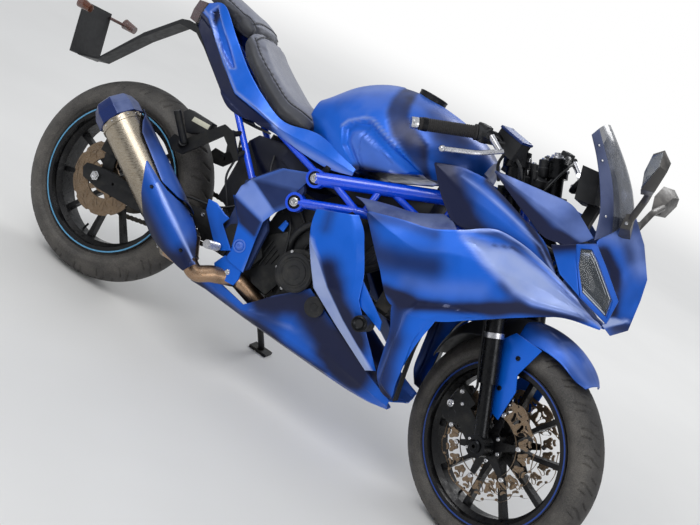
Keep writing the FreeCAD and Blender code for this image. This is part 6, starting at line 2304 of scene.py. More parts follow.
@dataclass
class Seats:
    """Two vinyl cushions, swollen by a cloth simulation, with their seams."""

    voxel: float = 5.0
    pressure: float = 4.0
    frames: int = 20
    cap: float = 6.0
    stitch: float = 3.4

    def cushion(self, name: str, table: Sequence, node: str,
                seams: Sequence[Sequence[Point]]) -> None:
        """One cushion.

        Args:
            name: The piece's name.
            table: Half sections from the bottom's middle to the top's middle.
            node: The solid it stands for.
            seams: Lines of points on its right side for the seam's cord.
        """
        points, faces = grid_mesh(hull_rows(table, (6, 5), (1, 9)), closed=True, capped=True)
        shown = placed(name, drawn(name, [p * MM for p in points], faces))
        remesh = shown.modifiers.new("even", "REMESH")
        remesh.mode, remesh.voxel_size = "VOXEL", self.voxel * MM
        baked(shown)
        before = [v.co.copy() for v in shown.data.vertices]
        cloth = shown.modifiers.new("cover", "CLOTH")
        cloth.settings.use_pressure = True
        cloth.settings.uniform_pressure_force = self.pressure
        cloth.settings.effector_weights.gravity = 0.0
        cloth.settings.quality = 6
        cloth.point_cache.frame_end = self.frames
        for frame_number in range(1, self.frames + 1):
            bpy.context.scene.frame_set(frame_number)
        baked(shown)
        bpy.context.scene.frame_set(1)
        for v, old in zip(shown.data.vertices, before):
            move = v.co - old
            v.co = old + move * min(1.0, self.cap * MM / max(move.length, 1e-9))
        soft = shown.modifiers.new("soft", "SUBSURF")
        soft.levels = soft.render_levels = 1
        baked(shown)
        points, faces = taken(shown, MM)
        tree = BVHTree.FromPolygons(points, faces)
        lines = [[tree.find_nearest(q)[0]
                  for q in smooth_line([Vector((x, -s * y, z)) for x, y, z in seam], 10)]
                 for seam in seams for s in SIDES]
        shape = []
        for p in points:
            apart = min(min((p - q).length for q in line[::2]) for line in lines)
            inward = tree.find_nearest(p)[1] * -self.stitch * (1 - ease(apart, 1.0, 8.0))
            shape.append(p + inward)

        def dark(p: Vector) -> float:
            """The side bands are darker than the top."""
            rim = fitted([(x, half[3][0] + 3) for x, half in table], p.x)
            return ease(abs(p.y), rim - 3, rim + 3)

        piece = Build(Body.CHASSIS, SEAT_VINYL, replaces=(node,), slot="seat", sharp=180,
                      values={"side": dark}).piece(name, (shape, faces))
        Build(Body.CHASSIS, PIPING, slot="seat").piece(
            f"{name}_seams", *(swept(line, 1.5, 8) for line in lines))

    def build(self) -> None:
        """Builds both cushions."""
        top = [(x, half[3][0], half[3][1]) for x, half in RIDER_SEAT]
        self.cushion("rider_cushion", RIDER_SEAT, "rider_seat",
                     (top[1:-1], [(206, 0, 926), (214, 50, 918), (222, 98, 896)]))
        top = [(x, half[3][0], half[3][1]) for x, half in PILLION_SEAT]
        self.cushion("pillion_cushion", PILLION_SEAT, "pillion_seat",
                     (top, [(182, 0, 944), (182, 50, 942), (182, 86, 930)]))


# Details that sit on the solids


@dataclass
class Landing:
    """Finds where a look from the side first meets the named solids of the chassis."""

    nodes: tuple[str, ...]
    far: float = 420.0

    def __post_init__(self) -> None:
        """Gathers the solids' triangles."""
        points, faces = [], []
        for node in self.nodes:
            mesh = frame["nodes"][node].data
            faces += [tuple(len(points) + i for i in p.vertices) for p in mesh.polygons]
            points += [v.co.copy() for v in mesh.vertices]
        self.tree = BVHTree.FromPolygons(points, faces)

    def spot(self, x: float, z: float, side: int) -> Vector | None:
        """Looks at the solids straight from one side.

        Args:
            x: The place's x.
            z: The place's z.
            side: -1 from the right, 1 from the left.

        Returns:
            The first point met, or None where there is none before the middle.
        """
        place = STANCE.place(Body.CHASSIS)
        start, end = place(Vector((x, side * self.far, z))), place(Vector((x, 0, z)))
        hit = self.tree.ray_cast(start, (end - start).normalized())[0]
        if hit is None:
            return None
        share = (hit - start).length / (end - start).length
        return Vector((x, side * self.far * (1 - share), z)) if share < 0.95 else None


def cap_mesh(spot: Vector, way: Vector, size: float, sides: int = 32) -> Mesh:
    """A bolt head with a washer.

    Args:
        spot: Where it sits.
        way: Which way it points.
        size: The washer's radius.
        sides: 6 for a hexagon, more for a round head.

    Returns:
        The mesh.
    """
    return revolved([(0.01, 0), (size, 0), (size, size * 0.14), (size * 0.8, size * 0.2),
                     (size * 0.76, size * 0.5), (size * 0.66, size * 0.58),
                     (size * 0.4, size * 0.58), (size * 0.34, size * 0.36), (0.01, size * 0.36)],
                    spot, way, sides)


@dataclass
class EngineBay:
    """Bolts, covers, pipes and the faceted plates between the tank and the belly."""

    # bolts: x, z, radius
    silver: tuple = ((347, 432, 6), (367, 393, 6), (372, 564, 6), (229, 509, 9),
                     (503, 669, 6), (558, 660, 6), (221, 505, 6), (301, 602, 6), (365, 557, 6),
                     (373, 466, 9), (598, 489, 9), (651, 468, 7), (617, 372, 7), (639, 311, 7),
                     (619, 412, 6), (640, 556, 8), (700, 300, 7), (760, 310, 7))
    bosses: tuple = ((623, 655), (603, 569))
    right_cover: tuple[float, float] = (706, 404)
    left_cover: tuple[float, float] = (742, 396)
    # the pivot cover's corners, and each facet's corners by index
    facets: tuple = (
        (456, 164, 559), (520, 161, 630), (603, 161, 662), (604, 163, 636), (593, 164, 600),
        (591, 165, 545), (568, 168, 514), (554, 174, 475), (440, 171, 495), (438, 164, 526),
        (432, 168, 493), (559, 170, 422), (488, 169, 435), (575, 168.5, 324), (507, 168.5, 330),
        (511, 169, 356))
    rings: tuple = ((0, 1, 2, 3, 4), (0, 4, 5, 6), (0, 6, 7, 8, 9), (8, 7, 11, 12, 10),
                    (12, 11, 13, 14, 15))

    def bolts(self) -> None:
        """Every bolt lands on the solid behind it, on both sides."""
        land = Landing(("engine", "engine_covers", "pivot_plates", "frame", "swingarm", "stays",
                        "rider_pegs", "pillion_pegs", "rear_caliper"))
        studs = [Stud(spot, (0, s, 0), size) for x, z, size in self.silver for s in SIDES
                 if (spot := land.spot(x, z, s))]
        for k in range(6):
            a = math.radians(60 * k + 15)
            for (x, z), reach, s in ((self.right_cover, 61, -1), (self.left_cover, 68, 1)):
                spot = land.spot(x + reach * math.cos(a), z + reach * math.sin(a), s)
                studs.append(Stud(spot, (0, s, 0), 5))
        screws("engine_bolts", studs, Body.CHASSIS, BOLT)
        heads, rings = [], []
        for x, z in self.bosses:
            for s in SIDES:
                spot, way = land.spot(x, z, s), Vector((0, s, 0))
                heads.append(cap_mesh(spot + way * 1.5, way, 12.5))
                rings.append(revolved([(10, -6), (19.5, -6), (19.5, 0.6), (17, 2.6), (13, 2.2),
                                       (10, 0)], spot, way, 48, closed=True))
        tab = ((507, 271), (482, 300), (500, 336), (564, 336), (572, 300), (567, 277))
        Build(Body.CHASSIS, PAINT, edge=2, sharp=20, slot="fairing").piece(
            "lower_tab", slab(tab, -164, -156.5))
        heads.append(cap_mesh(Vector((532, -164, 300)), Vector((0, -1, 0)), 8))
        pins = []
        for s in SIDES:
            way = Vector((0, s, 0))
            heads.append(cap_mesh(land.spot(0, 312, s), way, 15, 6))
            pins += [cap_mesh(Vector((527, s * 169.5, 382)), way, 12),
                     revolved([(15, 0), (19, 0), (19, 1.6), (15, 1.6)],
                              Vector((527, s * 169.5, 382)), way, 48, closed=True)]
        # an even painted highlight on the pivot caps
        Build(Body.CHASSIS, PAINT, sharp=30, slot="fairing", glow=lambda p: 0.25).piece(
            "pivot_bolts", *pins)
        Build(Body.CHASSIS, BOLT, sharp=30).piece("frame_bolts", *heads)
        Build(Body.CHASSIS, DARK_BOLT, sharp=30).piece("frame_rings", *rings)
        tabs = [slab(((612, 668), (624, 700), (640, 700), (640, 668)), s * 148, s * 152)
                for s in SIDES]
        Build(Body.CHASSIS, DARK_BOLT, edge=1, sharp=30).piece("seat_tabs", *tabs)

    def plates(self) -> None:
        """Faceted covers on the pivot plates, each facet painted in its own light and shade, and
        heel guards.
        """
        def skin(side: Side) -> Mesh:
            """One side's facets."""
            return facet_mesh([(x, side.value * y, z) for x, y, z in self.facets], self.rings)

        upper, plain, bright, deep = (
            tuple((self.facets[i][0], self.facets[i][2]) for i in ring)
            for ring in self.rings[:4])
        # painted light and shade: each facet gets its own share of shade and of painted highlight,
        # and the rear edge a painted bright line
        fade = clouds(Patch(upper, 0.75, 3), Patch(plain, 0.9, 3), Patch(deep, 0.85, 3),
                      Cloud(((500, 345), (507, 330)), 12, 0.4),
                      Cloud(((446, 538), (447, 539)), 8, 0.9))
        glow = clouds(Patch(bright, 0.5, 2), Patch(upper, 0.34, 3), Patch(plain, 0.22, 3),
                      Cloud(((556, 474), (576, 326)), 2, 0.5))
        Build(Body.CHASSIS, PAINT, 2.0, to_middle, 0.8, edge_angle=8, sharp=6, fade=fade,
              glow=glow, slot="fairing").piece("pivot_covers", both_sides(skin))
        guard = ((374, 446), (403, 449), (443, 435), (460, 432), (450, 408), (497, 371),
                 (513, 358), (483, 340), (447, 356), (384, 415))
        Build(Body.CHASSIS, PAINT, edge=2.4, sharp=20, slot="fairing", fade=clouds(
            Cloud(((380, 430), (440, 380)), 14, 0.6))).piece(
                "heel_guards", *(slab(guard, s * 167.5, s * 173) for s in SIDES))

    def covers(self) -> None:
        """Round faces on the engine covers, a side cover and its ribs."""
        right, left = (Vector((x, 0, z)) for x, z in (self.right_cover, self.left_cover))
        faces = [revolved([(0.01, 167.5), (18, 168.6), (20, 170.5), (34, 170.5), (36, 168.4),
                           (41, 168.4), (44, 171.5), (51, 171.5), (54, 168.2)],
                          right, Vector((0, -1, 0)), 72),
                 revolved([(0.01, 167.5), (30, 169.5), (33, 171.5), (52, 171.5), (58, 168.2)],
                          left, Vector((0, 1, 0)), 72),
                 revolved([(0.01, 168), (9, 168.6), (12, 171), (24, 171), (29, 168.3)],
                          Vector((806, 0, 356)), Vector((0, -1, 0)), 48)]
        Build(Body.CHASSIS, COVER_GREY, sharp=24).piece("cover_faces", *faces)
        outline = ((560, 336), (592, 304), (648, 296), (664, 340), (648, 372), (644, 452),
                   (612, 484), (572, 452), (552, 400))
        sheet = [slab(outline, s * 111, s * 121) for s in SIDES]
        ribs = [slab([(570 + 14 * k, 350 + 10 * k), (576 + 14 * k, 350 + 10 * k),
                      (590 + 12 * k, 440 - 8 * k), (584 + 12 * k, 440 - 8 * k)],
                     s * 120, s * 126) for s in SIDES for k in range(4)]
        Build(Body.CHASSIS, ENGINE_BLACK, edge=2.5, sharp=30).piece("side_covers", *sheet, *ribs)
        fins = [brick((984, -148, z), (986.4, 148, z + 2.2)) for z in range(446, 668, 7)]
        Build(Body.CHASSIS, RADIATOR_FINS, sharp=30).piece("radiator_fins", *fins)
        mounts = [slab(((540, 432), (548, 510), (590, 600), (650, 600), (694, 560), (690, 470),
                        (640, 430)), s * 100, s * 112) for s in SIDES]
        airbox = slab(((612, 640), (640, 700), (700, 716), (800, 752), (930, 772), (930, 700),
                       (800, 660), (690, 640)), -96, 96)
        Build(Body.CHASSIS, BLACK_PLASTIC, edge=5, sharp=30).piece("airbox", airbox, *mounts)
        guards = [slab(((345, 452), (345, 640), (452, 640), (432, 560), (470, 446), (400, 432)),
                       s * 66, s * 70) for s in SIDES]
        Build(Body.CHASSIS, BLACK_PLASTIC, edge=2, sharp=30).piece("splash_guards", *guards)
        box = slab(((352, 640), (372, 668), (470, 690), (606, 696), (614, 640), (579, 610),
                    (520, 590), (430, 570)), -84, 84)
        lids = [slab(((470, 640), (478, 684), (592, 688), (600, 650), (560, 616)),
                     s * 84, s * 89) for s in SIDES]
        Build(Body.CHASSIS, DARK_PAINT, edge=4, sharp=30, fade=lambda p: 0.8).piece(
            "battery_box", box, *lids)
        tab = slab(((582, 478), (590, 508), (604, 504), (602, 476)), -127, -119)
        Build(Body.CHASSIS, PAINT, edge=1.2, slot="fairing").piece("engine_tab", tab)

    def pipes(self) -> None:
        """Hoses and wires that run over the engine and along the swingarm."""
        hose("coolant_hoses", [
            [(956, -160, 600), (926, -152, 590), (890, -124, 540), (850, -108, 500)],
            [(956, 160, 640), (926, 150, 640), (890, 124, 640), (840, 104, 660)],
            [(708, -100, 560), (682, -122, 552), (652, -126, 520), (636, -122, 470),
             (640, -110, 440)]], 11, Body.CHASSIS, BLACK_PLASTIC)
        hose("wires", [
            [(590, -112, 520), (612, -124, 500), (640, -128, 430), (668, -120, 360),
             (676, -110, 330)],
            [(500, -60, 650), (560, -116, 610), (604, -120, 560), (640, -118, 530)],
            [(448, -90, 640), (470, -110, 600), (520, -118, 560), (566, -116, 520)],
            [(330, -96, 640), (352, -104, 580), (356, -108, 520), (392, -112, 470),
             (420, -110, 430)],
            [(6, -104, 420), (70, -122, 398), (160, -124, 370), (300, -124, 412),
             (400, -122, 438), (440, -112, 470)],
            [(560, 110, 560), (600, 122, 520), (640, 124, 470), (680, 118, 440)],
            [(680, -116, 470), (690, -128, 500), (720, -130, 530), (760, -110, 560)]],
            3.4, Body.CHASSIS, BLACK_PLASTIC)

    def build(self) -> None:
        """Builds the bay."""
        for node, finish, edge in (("engine", ENGINE_BLACK, 4.0), ("swingarm", STEEL_BLACK, 4.0),
                                   ("fork_yokes", FORK_BLACK, 2.0), ("mirrors", GREY_PLASTIC, 3.0),
                                   ("rear_caliper", ENGINE_BLACK, 2.0)):
            body = Body.STEERING if node == "fork_yokes" else Body.CHASSIS
            dressed_node(node, body, finish, edge, slot="black")
        self.bolts()
        self.plates()
        self.covers()
        self.pipes()


@dataclass
class Cockpit:
    """Grips, bar ends, reservoir, cables and nuts that turn with the fork."""

    grip_start: Point = (1033, 225, 1013)
    bar_end: Point = (941, 345, 971)

    def grips(self) -> None:
        """Ribbed rubber with a flange, and silver bar ends with a groove."""
        rubber, ends, rings = [], [], []
        for s in SIDES:
            start = Vector((self.grip_start[0], s * self.grip_start[1], self.grip_start[2]))
            tip = Vector((self.bar_end[0], s * self.bar_end[1], self.bar_end[2]))
            way, length = (tip - start).normalized(), (tip - start).length
            profile = [(11.5, 1), (21, 1), (21, 5), (17, 7)]
            d = 9.0
            while d < length - 8:
                profile += [(16.0, d), (17.2, d + 1), (17.2, d + 2.6), (16.0, d + 3.6)]
                d += 5.2
            profile += [(17, length - 5), (11.5, length - 4.4)]
            rubber.append(revolved(profile, start, way, 40, closed=True))
            ends.append(revolved([(0.01, -3), (14.5, -3), (15.5, 0), (15.5, 4), (13.6, 5.4),
                                  (13.6, 7), (15.5, 8.4), (15, 13), (11, 16), (0.01, 16)],
                                 tip, way, 40))
            rings.append(revolved([(16.2, length - 26), (17.9, length - 26), (17.9, length - 14),
                                   (16.2, length - 14)], start, way, 40, closed=True))
        Build(Body.STEERING, GRIP_RUBBER, replaces=("grips",), sharp=50, slot="grip",
              values={"dusty": lambda p: 0.5}).piece("ribbed_grips", *rubber)
        Build(Body.STEERING, BOLT, sharp=30).piece("bar_ends", *ends)
        Build(Body.STEERING, DARK_BOLT, sharp=30).piece("grip_rings", *rings)

    def controls(self) -> None:
        """The reservoir's lid, switches, pinch bolts and the fork's top nuts."""
        lid = slab(((1056, 1049.5), (1140, 1037.6), (1141, 1045), (1058, 1057)), -176, -124)
        Build(Body.STEERING, DARK_PAINT, edge=2.2, sharp=20).piece("reservoir_lid", lid)
        studs = [Stud((x, y, 1056.6 - (x - 1058) * 0.143), (0.14, 0, 0.99), 3.2)
                 for x in (1066, 1132) for y in (-168, -132)]
        for s in SIDES:
            studs += [Stud(on_fork(755, s * FORK_Y, 37), FORK_AHEAD, 6),
                      Stud(on_fork(478, s * FORK_Y, 27), FORK_AHEAD, 6)]
        screws("cockpit_screws", studs, Body.STEERING, BOLT)
        nuts = [revolved([(0.01, 788), (22, 788), (22, 794), (17, 796), (17, 801), (9, 803),
                          (9, 808), (0.01, 808)], on_fork(0, s * FORK_Y), FORK_UP, 40)
                for s in SIDES]
        Build(Body.STEERING, ALLOY, sharp=30).piece("fork_caps", *nuts)
        bands = [revolved([(25.6, 284), (27.2, 285), (27.2, 299), (25.6, 300)],
                          on_fork(0, s * FORK_Y), FORK_UP, 48, closed=True) for s in SIDES]
        Build(Body.STEERING, ALLOY, sharp=30).piece("fork_bands", *bands)
        start, tip = Vector(self.grip_start), Vector(self.bar_end)
        way = (start - tip).normalized()
        boxes, knobs = [], []
        for s in SIDES:
            spot = Vector((start.x, s * start.y, start.z)) + Vector((way.x, s * way.y, way.z)) * 18
            boxes.append(brick(tuple(spot + Vector((-19, -15, -24))),
                               tuple(spot + Vector((14, 15, 23)))))
            knobs.append(brick(tuple(spot + Vector((-24, -6, 4))),
                               tuple(spot + Vector((-17, 6, 14)))))
        Build(Body.STEERING, BLACK_PLASTIC, edge=4, sharp=30).piece("switch_boxes", *boxes)
        Build(Body.STEERING, RED_SWITCH, edge=1.5).piece("stop_switch", knobs[0])
        Build(Body.STEERING, BLACK_PLASTIC, edge=1.5).piece("light_switch", knobs[1])

    def pods(self) -> None:
        """Small round housings and banjo bolts above the steering head."""
        cups, tops = [], []
        for x, y, z, radius, height in ((1092, -62, 968, 17, 44), (1118, -24, 962, 13, 34),
                                        (1090, 58, 970, 15, 40), (1062, -104, 990, 11, 26),
                                        (1062, 104, 990, 11, 26)):
            foot = Vector((x, y, z))
            cups.append(revolved([(0.01, -12), (radius * 0.7, -12), (radius, -4),
                                  (radius, height * 0.4), (radius * 0.9, height * 0.45),
                                  (radius * 0.9, height - 2), (radius * 0.8, height),
                                  (0.01, height)], foot, FORK_UP, 40))
            tops.append(cap_mesh(foot + FORK_UP * height, FORK_UP, radius * 0.55, 6))
        brace = slab(((1046, 940), (1050, 966), (1126, 958), (1128, 934)), -70, 70)
        Build(Body.STEERING, BLACK_PLASTIC, edge=1.5, sharp=30).piece(
            "cockpit_pods", *cups, brace)
        Build(Body.STEERING, BOLT, sharp=30).piece("banjo_bolts", *tops)

    def cables(self) -> None:
        """Brake hose, clutch and throttle cables that loop to the steering head."""
        hose("bar_cables", [
            [(1062, -205, 1006), (1096, -160, 1020), (1124, -100, 1010), (1134, -50, 960),
             (1128, -24, 890)],
            [(1058, -200, 1000), (1088, -150, 1008), (1110, -90, 992), (1120, -40, 940),
             (1118, -16, 880)],
            [(1062, 205, 1006), (1100, 160, 1024), (1126, 100, 1012), (1134, 50, 960),
             (1126, 26, 890)],
            [(1058, 200, 1000), (1090, 150, 1006), (1112, 96, 988), (1122, 44, 940),
             (1116, 18, 880)]], 3.6, Body.STEERING, BLACK_PLASTIC)
        hose("brake_line", [
            [(1130, -150, 996), (1152, -140, 976), (1158, -118, 930), (1150, -104, 880)],
            [(1090, -150, 996), (1080, -140, 960), (1096, -126, 920)]], 4.2, Body.STEERING,
            BLACK_PLASTIC)

    def build(self) -> None:
        """Builds the cockpit."""
        self.grips()
        self.controls()
        self.pods()
        self.cables()


@dataclass
class Lamps:
    """Headlight bowls behind clear glass in painted frames, mirror glass, the gauge, and small
    trim.
    """

    filler_x: float = 742.0
    # a lamp frame's outer and inner corners, from the rear one over the top and round
    outer: tuple = ((1315, 150, 862), (1357, 137, 889), (1401, 104, 853), (1472, 60, 791),
                    (1476, 55, 724), (1389, 123, 751), (1335, 146, 826))
    inner: tuple = ((1331, 146, 857), (1354, 137, 869), (1379, 120, 852), (1457, 66, 784),
                    (1466, 62, 741), (1388, 121, 766), (1349, 142, 817))

    def ring(self, side: int, marks: Sequence[Sequence[float]], height: float,
             pull: float = 0.0) -> list[Vector]:
        """A closed ring over the lens.

        Args:
            side: -1 for the right lamp, 1 for the left.
            marks: The ring's corners on the lens.
            height: How far it is moved out of the lens.
            pull: Share of the way that it is pulled toward its middle.

        Returns:
            The ring's points.
        """
        corners = [Vector((x, side * y, z)) for x, y, z in marks]
        middle = sum(corners, Vector()) / len(corners)
        out = (corners[3] - corners[0]).cross(corners[5] - corners[1]).normalized()
        out = out if out.x > 0 else -out
        return [p.lerp(middle, pull) + out * height for p in (*corners, corners[0])]

    def headlights(self) -> None:
        """Frames, bowls, reflectors, trim lines and glass."""
        def shell(side: int, *steps: tuple[Sequence[Sequence[float]], float, float]) -> Mesh:
            """A skin through several rings."""
            return grid_mesh([list(r) for r in zip(*(self.ring(side, *step)
                                                     for step in steps))])

        frames, bowls, dishes, glass = [], [], [], []
        for s in SIDES:
            frames.append(shell(s, (self.outer, -9, 0), (self.outer, 0, 0),
                                (self.outer, 3, 0.03), (self.inner, 2, -0.04),
                                (self.inner, -4, 0)))
            bowls.append(shell(s, (self.inner, -3, -0.02), (self.inner, -20, 0.1),
                               (self.inner, -40, 0.5), (self.inner, -42, 0.98)))
            glass.append(shell(s, (self.inner, -0.5, -0.01), (self.inner, 1, 0.5),
                               (self.inner, 1.5, 0.98)))
            for height, pull, radius in ((-4, 0.06, 2.6), (-12, 0.2, 1.4)):
                dishes.append(swept(self.ring(s, self.inner, height, pull)[1:6], radius, 8))
            high, deep = self.ring(s, self.inner, -9, 0.14), self.ring(s, self.inner, -30, 0.55)
            dishes.append(([high[0], high[1], high[2], deep[2], deep[1], deep[0]],
                           [(0, 1, 4, 5), (1, 2, 3, 4)]))
        Build(Body.CHASSIS, PAINT, sharp=20, replaces=("headlights",), slot="fairing",
              fade=lambda p: 0.35).piece("lamp_frames", *frames)
        Build(Body.CHASSIS, LAMP_BOWL, sharp=30).piece("lamp_bowls", *bowls)
        Build(Body.CHASSIS, CHROME, sharp=30).piece("lamp_reflectors", *dishes)
        Build(Body.CHASSIS, CLEAR, sharp=60, slot="lens").piece("lamp_glass", *glass)

    def mirrors(self) -> None:
        """Glass on each mirror's rider side, and a screw at each foot."""
        ring = ((1394, 242, 1042), (1376, 262, 1090), (1378, 318, 1132), (1404, 388, 1144),
                (1416, 402, 1106), (1398, 330, 1046))
        middle = sum((Vector(p) for p in ring), Vector()) / len(ring)
        sheets = []
        for s in SIDES:
            points = [middle.lerp(Vector(p), 0.88) + Vector((-1.6, 0, 0)) for p in ring]
            points.append(middle + Vector((-2.6, 0, 0)))
            points = [Vector((p.x, s * p.y, p.z)) for p in points]
            sheets.append((points, [(i, (i + 1) % 6, 6) for i in range(6)]))
        Build(Body.CHASSIS, MIRROR_GLASS, 1.2, lambda p: Vector((1, 0, 0)), sharp=60).piece(
            "mirror_glass", *sheets)
        feet = [Stud((1392, s * 143, 970), (0, s, 0), 4.5) for s in SIDES]
        screws("mirror_screws", feet, Body.CHASSIS, BOLT)

    def gauge(self) -> None:
        """A round dial's housing on the dash, and the filler's screws and rim."""
        dial = revolved([(0.01, -4), (30, -4), (36, 2), (38, 10), (36, 13), (33, 13), (31, 9),
                         (0.01, 9)], Vector((1226, 0, 1004)), Vector((-0.95, 0, 0.3)), 56)
        Build(Body.CHASSIS, BLACK_PLASTIC, sharp=30).piece("dial", dial)
        studs = [Stud((self.filler_x + 34 * math.cos(a), 34 * math.sin(a), 1012), (0, 0, 1), 3.6)
                 for a in (math.pi * k / 3 for k in range(6))]
        screws("filler_screws", studs, Body.CHASSIS, BOLT)
        rim = revolved([(39, 1010), (43, 1011), (43, 1014), (38, 1015.5), (26, 1015.5),
                        (24, 1013.4), (0.01, 1013.4)], Vector((self.filler_x, 0, 0)),
                       Vector((0, 0, 1)), 64)
        Build(Body.CHASSIS, STEEL_BLACK, sharp=30).piece("filler_rim", rim)

    def rear(self) -> None:
        """The box with a blank label behind the seat hanger, and sleeves on the pegs."""
        box = slab(((140, 611), (153, 628), (243, 628), (247, 595), (182, 564)), -88, -123)
        Build(Body.CHASSIS, BLACK_PLASTIC, edge=2.5, sharp=30).piece("relay_box", box)
        label = slab(((180, 602), (182, 617), (240, 620), (240, 605)), -124, -122.8)
        Build(Body.CHASSIS, LABEL, edge=0.4).piece("blank_label", label)
        sleeves = []
        for s in SIDES:
            start, end = Vector((474, s * 178, 347)), Vector((468, s * 236, 348))
            length, profile, d = (end - start).length, [(9, 0), (12, 0)], 2.0
            while d < length - 3:
                profile += [(12.5, d), (12.5, d + 2.4), (11.4, d + 3), (11.4, d + 4)]
                d += 5
            profile += [(12, length + 1), (0.01, length + 1)]
            sleeves.append(revolved(profile, start, end - start, 32))
        Build(Body.CHASSIS, ALLOY, sharp=40).piece("peg_sleeves", *sleeves)
        ends = [revolved([(11, 236.2), (15.5, 236.2), (20, 237), (20, 240), (17, 242), (14, 238)],
                         Vector((958, 0, 399)), Vector((0, s, 0)), 48, closed=True)
                for s in SIDES]
        Build(Body.CHASSIS, DARK_BOLT, sharp=30).piece("slider_ends", *ends)

    def build(self) -> None:
        """Builds the lamps and small trim."""
        self.headlights()
        self.mirrors()
        self.gauge()
        self.rear()


# The studio


@dataclass
class Studio:
    """Floor, backdrop, lamps and the camera."""

    lens: float = 53.73
    target: Point = (700.0, 0.0, 450.0)
    azimuth: float = 17.62
    elevation: float = 7.32
    roll: float = 30.64
    distance: float = 3015.136
    slide: tuple[float, float] = (80.97, -6.07)

    def camera(self) -> None:
        """The camera at the photograph's view."""
        az, el, roll = (math.radians(v) for v in (self.azimuth, self.elevation, self.roll))
        back = Vector((math.sin(az) * math.cos(el), -math.cos(az) * math.cos(el), math.sin(el)))
        level = Vector((math.cos(az), math.sin(az), 0))
        over = back.cross(level)
        right = level * math.cos(roll) + over * math.sin(roll)
        up = over * math.cos(roll) - level * math.sin(roll)
        spot = (Vector(self.target) + back * self.distance + right * self.slide[0]
                + up * self.slide[1])
        data = bpy.data.cameras.new("camera")
        data.sensor_width, data.lens, data.clip_end = 36.0, self.lens, 200.0
        shown = placed("camera", data)
        turn = Matrix([STANCE.turn @ v for v in (right, up, back)]).transposed()
        shown.matrix_world = Matrix.Translation(STANCE.fixed(spot)) @ turn.to_4x4()
        bpy.context.scene.camera = shown

    def floor(self) -> None:
        """A wide pale floor that turns into the white backdrop far away."""
        size, low = 60.0, -0.0006
        mesh = drawn("floor", [(-size, -size, low), (size, -size, low), (size, size, low),
                               (-size, size, low)], [(0, 1, 2, 3)])
        shown = placed("floor", mesh)
        c = Coat("studio_floor")
        c.set(Base_Color=c.blend(c.spread(c.noise(900, 3), 0.3, 0.7), "#E4E3E1", "#E9E8E6"),
              Roughness=0.85, Specular_IOR_Level=0.2)
        apart = add(c.tree, "ShaderNodeVectorMath", {"operation": "LENGTH"},
                    {0: c.place}).outputs["Value"]
        white = add(c.tree, "ShaderNodeEmission", inputs={"Color": (1, 1, 1, 1), "Strength": 1.0})
        mix = add(c.tree, "ShaderNodeMixShader", inputs={
            0: c.spread(apart, 2.5, 9.0), 1: c.shader.outputs[0], 2: white.outputs[0]})
        out = next(n for n in c.tree.nodes if n.type == "OUTPUT_MATERIAL")
        c.tree.links.new(mix.outputs[0], out.inputs[0])
        mesh.materials.append(c.material)

    def light(self) -> None:
        """Soft light from a pale sky, with a large key lamp and two fills."""
        world = bpy.data.worlds.new("studio")
        world.use_nodes = True
        bpy.context.scene.world = world
        tree = world.node_tree
        tree.nodes.clear()
        rays = add(tree, "ShaderNodeLightPath")
        seen = add(tree, "ShaderNodeMath", {"operation": "MAXIMUM"}, {
            0: rays.outputs["Is Camera Ray"], 1: rays.outputs["Is Transmission Ray"]})
        coords = add(tree, "ShaderNodeTexCoord").outputs["Generated"]
        height = add(tree, "ShaderNodeSeparateXYZ", inputs={0: coords}).outputs[2]
        sky = add(tree, "ShaderNodeMapRange", {"interpolation_type": "SMOOTHSTEP"}, {
            "Value": height, "From Min": -0.1, "From Max": 0.8, "To Min": 0.28, "To Max": 0.68})
        plain = add(tree, "ShaderNodeBackground",
                    inputs={"Color": (0.93, 0.96, 1.0, 1), "Strength": sky.outputs[0]})
        white = add(tree, "ShaderNodeBackground", inputs={"Color": (1, 1, 1, 1), "Strength": 1.0})
        mix = add(tree, "ShaderNodeMixShader", inputs={
            0: seen.outputs[0], 1: plain.outputs[0], 2: white.outputs[0]})
        add(tree, "ShaderNodeOutputWorld", inputs={"Surface": mix.outputs[0]})
        for name, spot, size, watts in (("key", (-1.2, -3.0, 4.2), 2.6, 84),
                                        ("front_fill", (4.0, -2.6, 1.8), 2.2, 38),
                                        ("rim", (0.4, 3.4, 3.2), 2.4, 52)):
            data = bpy.data.lights.new(name, "AREA")
            data.shape, data.size, data.energy = "DISK", size, watts
            shown = placed(name, data)
            spot = Vector(spot)
            turn = (Vector((0, 0, 0.5)) - spot).to_track_quat("-Z", "Y").to_matrix().to_4x4()
            shown.matrix_world = Matrix.Translation(spot) @ turn

    def build(self) -> None:
        """Builds the studio."""
        self.camera()
        self.floor()
        self.light()


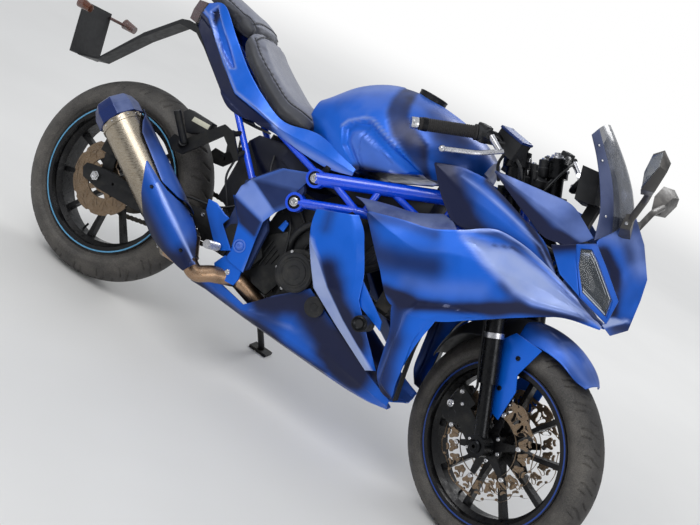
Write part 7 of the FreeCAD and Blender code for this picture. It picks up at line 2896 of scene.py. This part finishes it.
@dataclass
class PlainNodes:
    """The solids whose shape is right: each gets its finish as it is."""

    finishes: dict[str, Finish] = field(default_factory=lambda: {
        "rear_tyre": TYRE_RUBBER, "front_tyre": TYRE_RUBBER, "rear_rim": WHEEL_BLACK,
        "front_rim": WHEEL_BLACK, "rear_rotor": ROTOR_STEEL, "front_rotors": ROTOR_STEEL,
        "rotor_carriers": WHEEL_BLACK, "rear_sprocket": CHAIN_STEEL,
        "front_sprocket": CHAIN_STEEL, "chain": CHAIN_STEEL, "fork_legs": FORK_BLACK,
        "fork_yokes": FORK_BLACK, "handlebars": FORK_BLACK, "grips": GRIP_RUBBER,
        "switchgear": BLACK_PLASTIC, "levers": ALLOY, "front_calipers": ENGINE_BLACK,
        "brake_hoses": BLACK_PLASTIC,
        "rear_caliper": ENGINE_BLACK, "front_fender": PAINT, "frame": TUBE_BLUE,
        "pivot_plates": SLATE, "engine": ENGINE_BLACK, "engine_covers": COVER_GREY,
        "radiator": RADIATOR_FINS, "swingarm": STEEL_BLACK, "rear_shock": STEEL_BLACK,
        "exhaust_pipe": PIPE_STEEL, "muffler_collar": PIPE_STEEL, "muffler_can": CAN_STEEL,
        "muffler_cap": DARK_PAINT, "muffler_guard": PAINT, "fuel_tank": PAINT,
        "filler_cap": STEEL_BLACK, "rider_seat": SEAT_VINYL, "pillion_seat": SEAT_VINYL,
        "tail_light": RED_LENS, "windscreen": SMOKED, "headlights": CLEAR,
        "indicators": AMBER_LENS, "mirrors": GREY_PLASTIC, "dash": BLACK_PLASTIC,
        "air_ducts": DARK_PAINT, "undertray": BLACK_PLASTIC, "plate_hanger": BLACK_PLASTIC,
        "stays": STEEL_BLACK, "nose_stay": STEEL_BLACK, "stand_bracket": STEEL_BLACK,
        "side_stand": STEEL_BLACK, "rider_pegs": STEEL_BLACK, "pillion_pegs": STEEL_BLACK,
        "frame_sliders": BLACK_PLASTIC, "side_fairings": PAINT, "mid_panels": PAINT,
        "belly_pan": DARK_PAINT, "nose_cowl": PAINT, "nose_sides": PAINT, "tail_panels": PAINT,
    })

    def build(self) -> None:
        """Puts each finish in its node's slots."""
        for node, piece in frame["nodes"].items():
            finish = self.finishes[node].material()
            if not piece.material_slots:
                piece.data.materials.append(finish)
            for slot in piece.material_slots:
                slot.material = finish


def main() -> None:
    """Builds the machine and its studio in order."""
    logging.basicConfig(level=logging.INFO, format="%(message)s")
    scene = bpy.context.scene
    scene.view_settings.view_transform = "Standard"
    Studio().build()
    for part in (PlainNodes(), Wheels(), ChainLinks(), Fairing(), TankAndTail(), FrontFender(),
                 Silencer(), Seats(), EngineBay(), Cockpit(), Lamps()):
        part.build()
        LOG.info("%s done", type(part).__name__)
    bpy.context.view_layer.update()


if __name__ == "__main__":
    main()
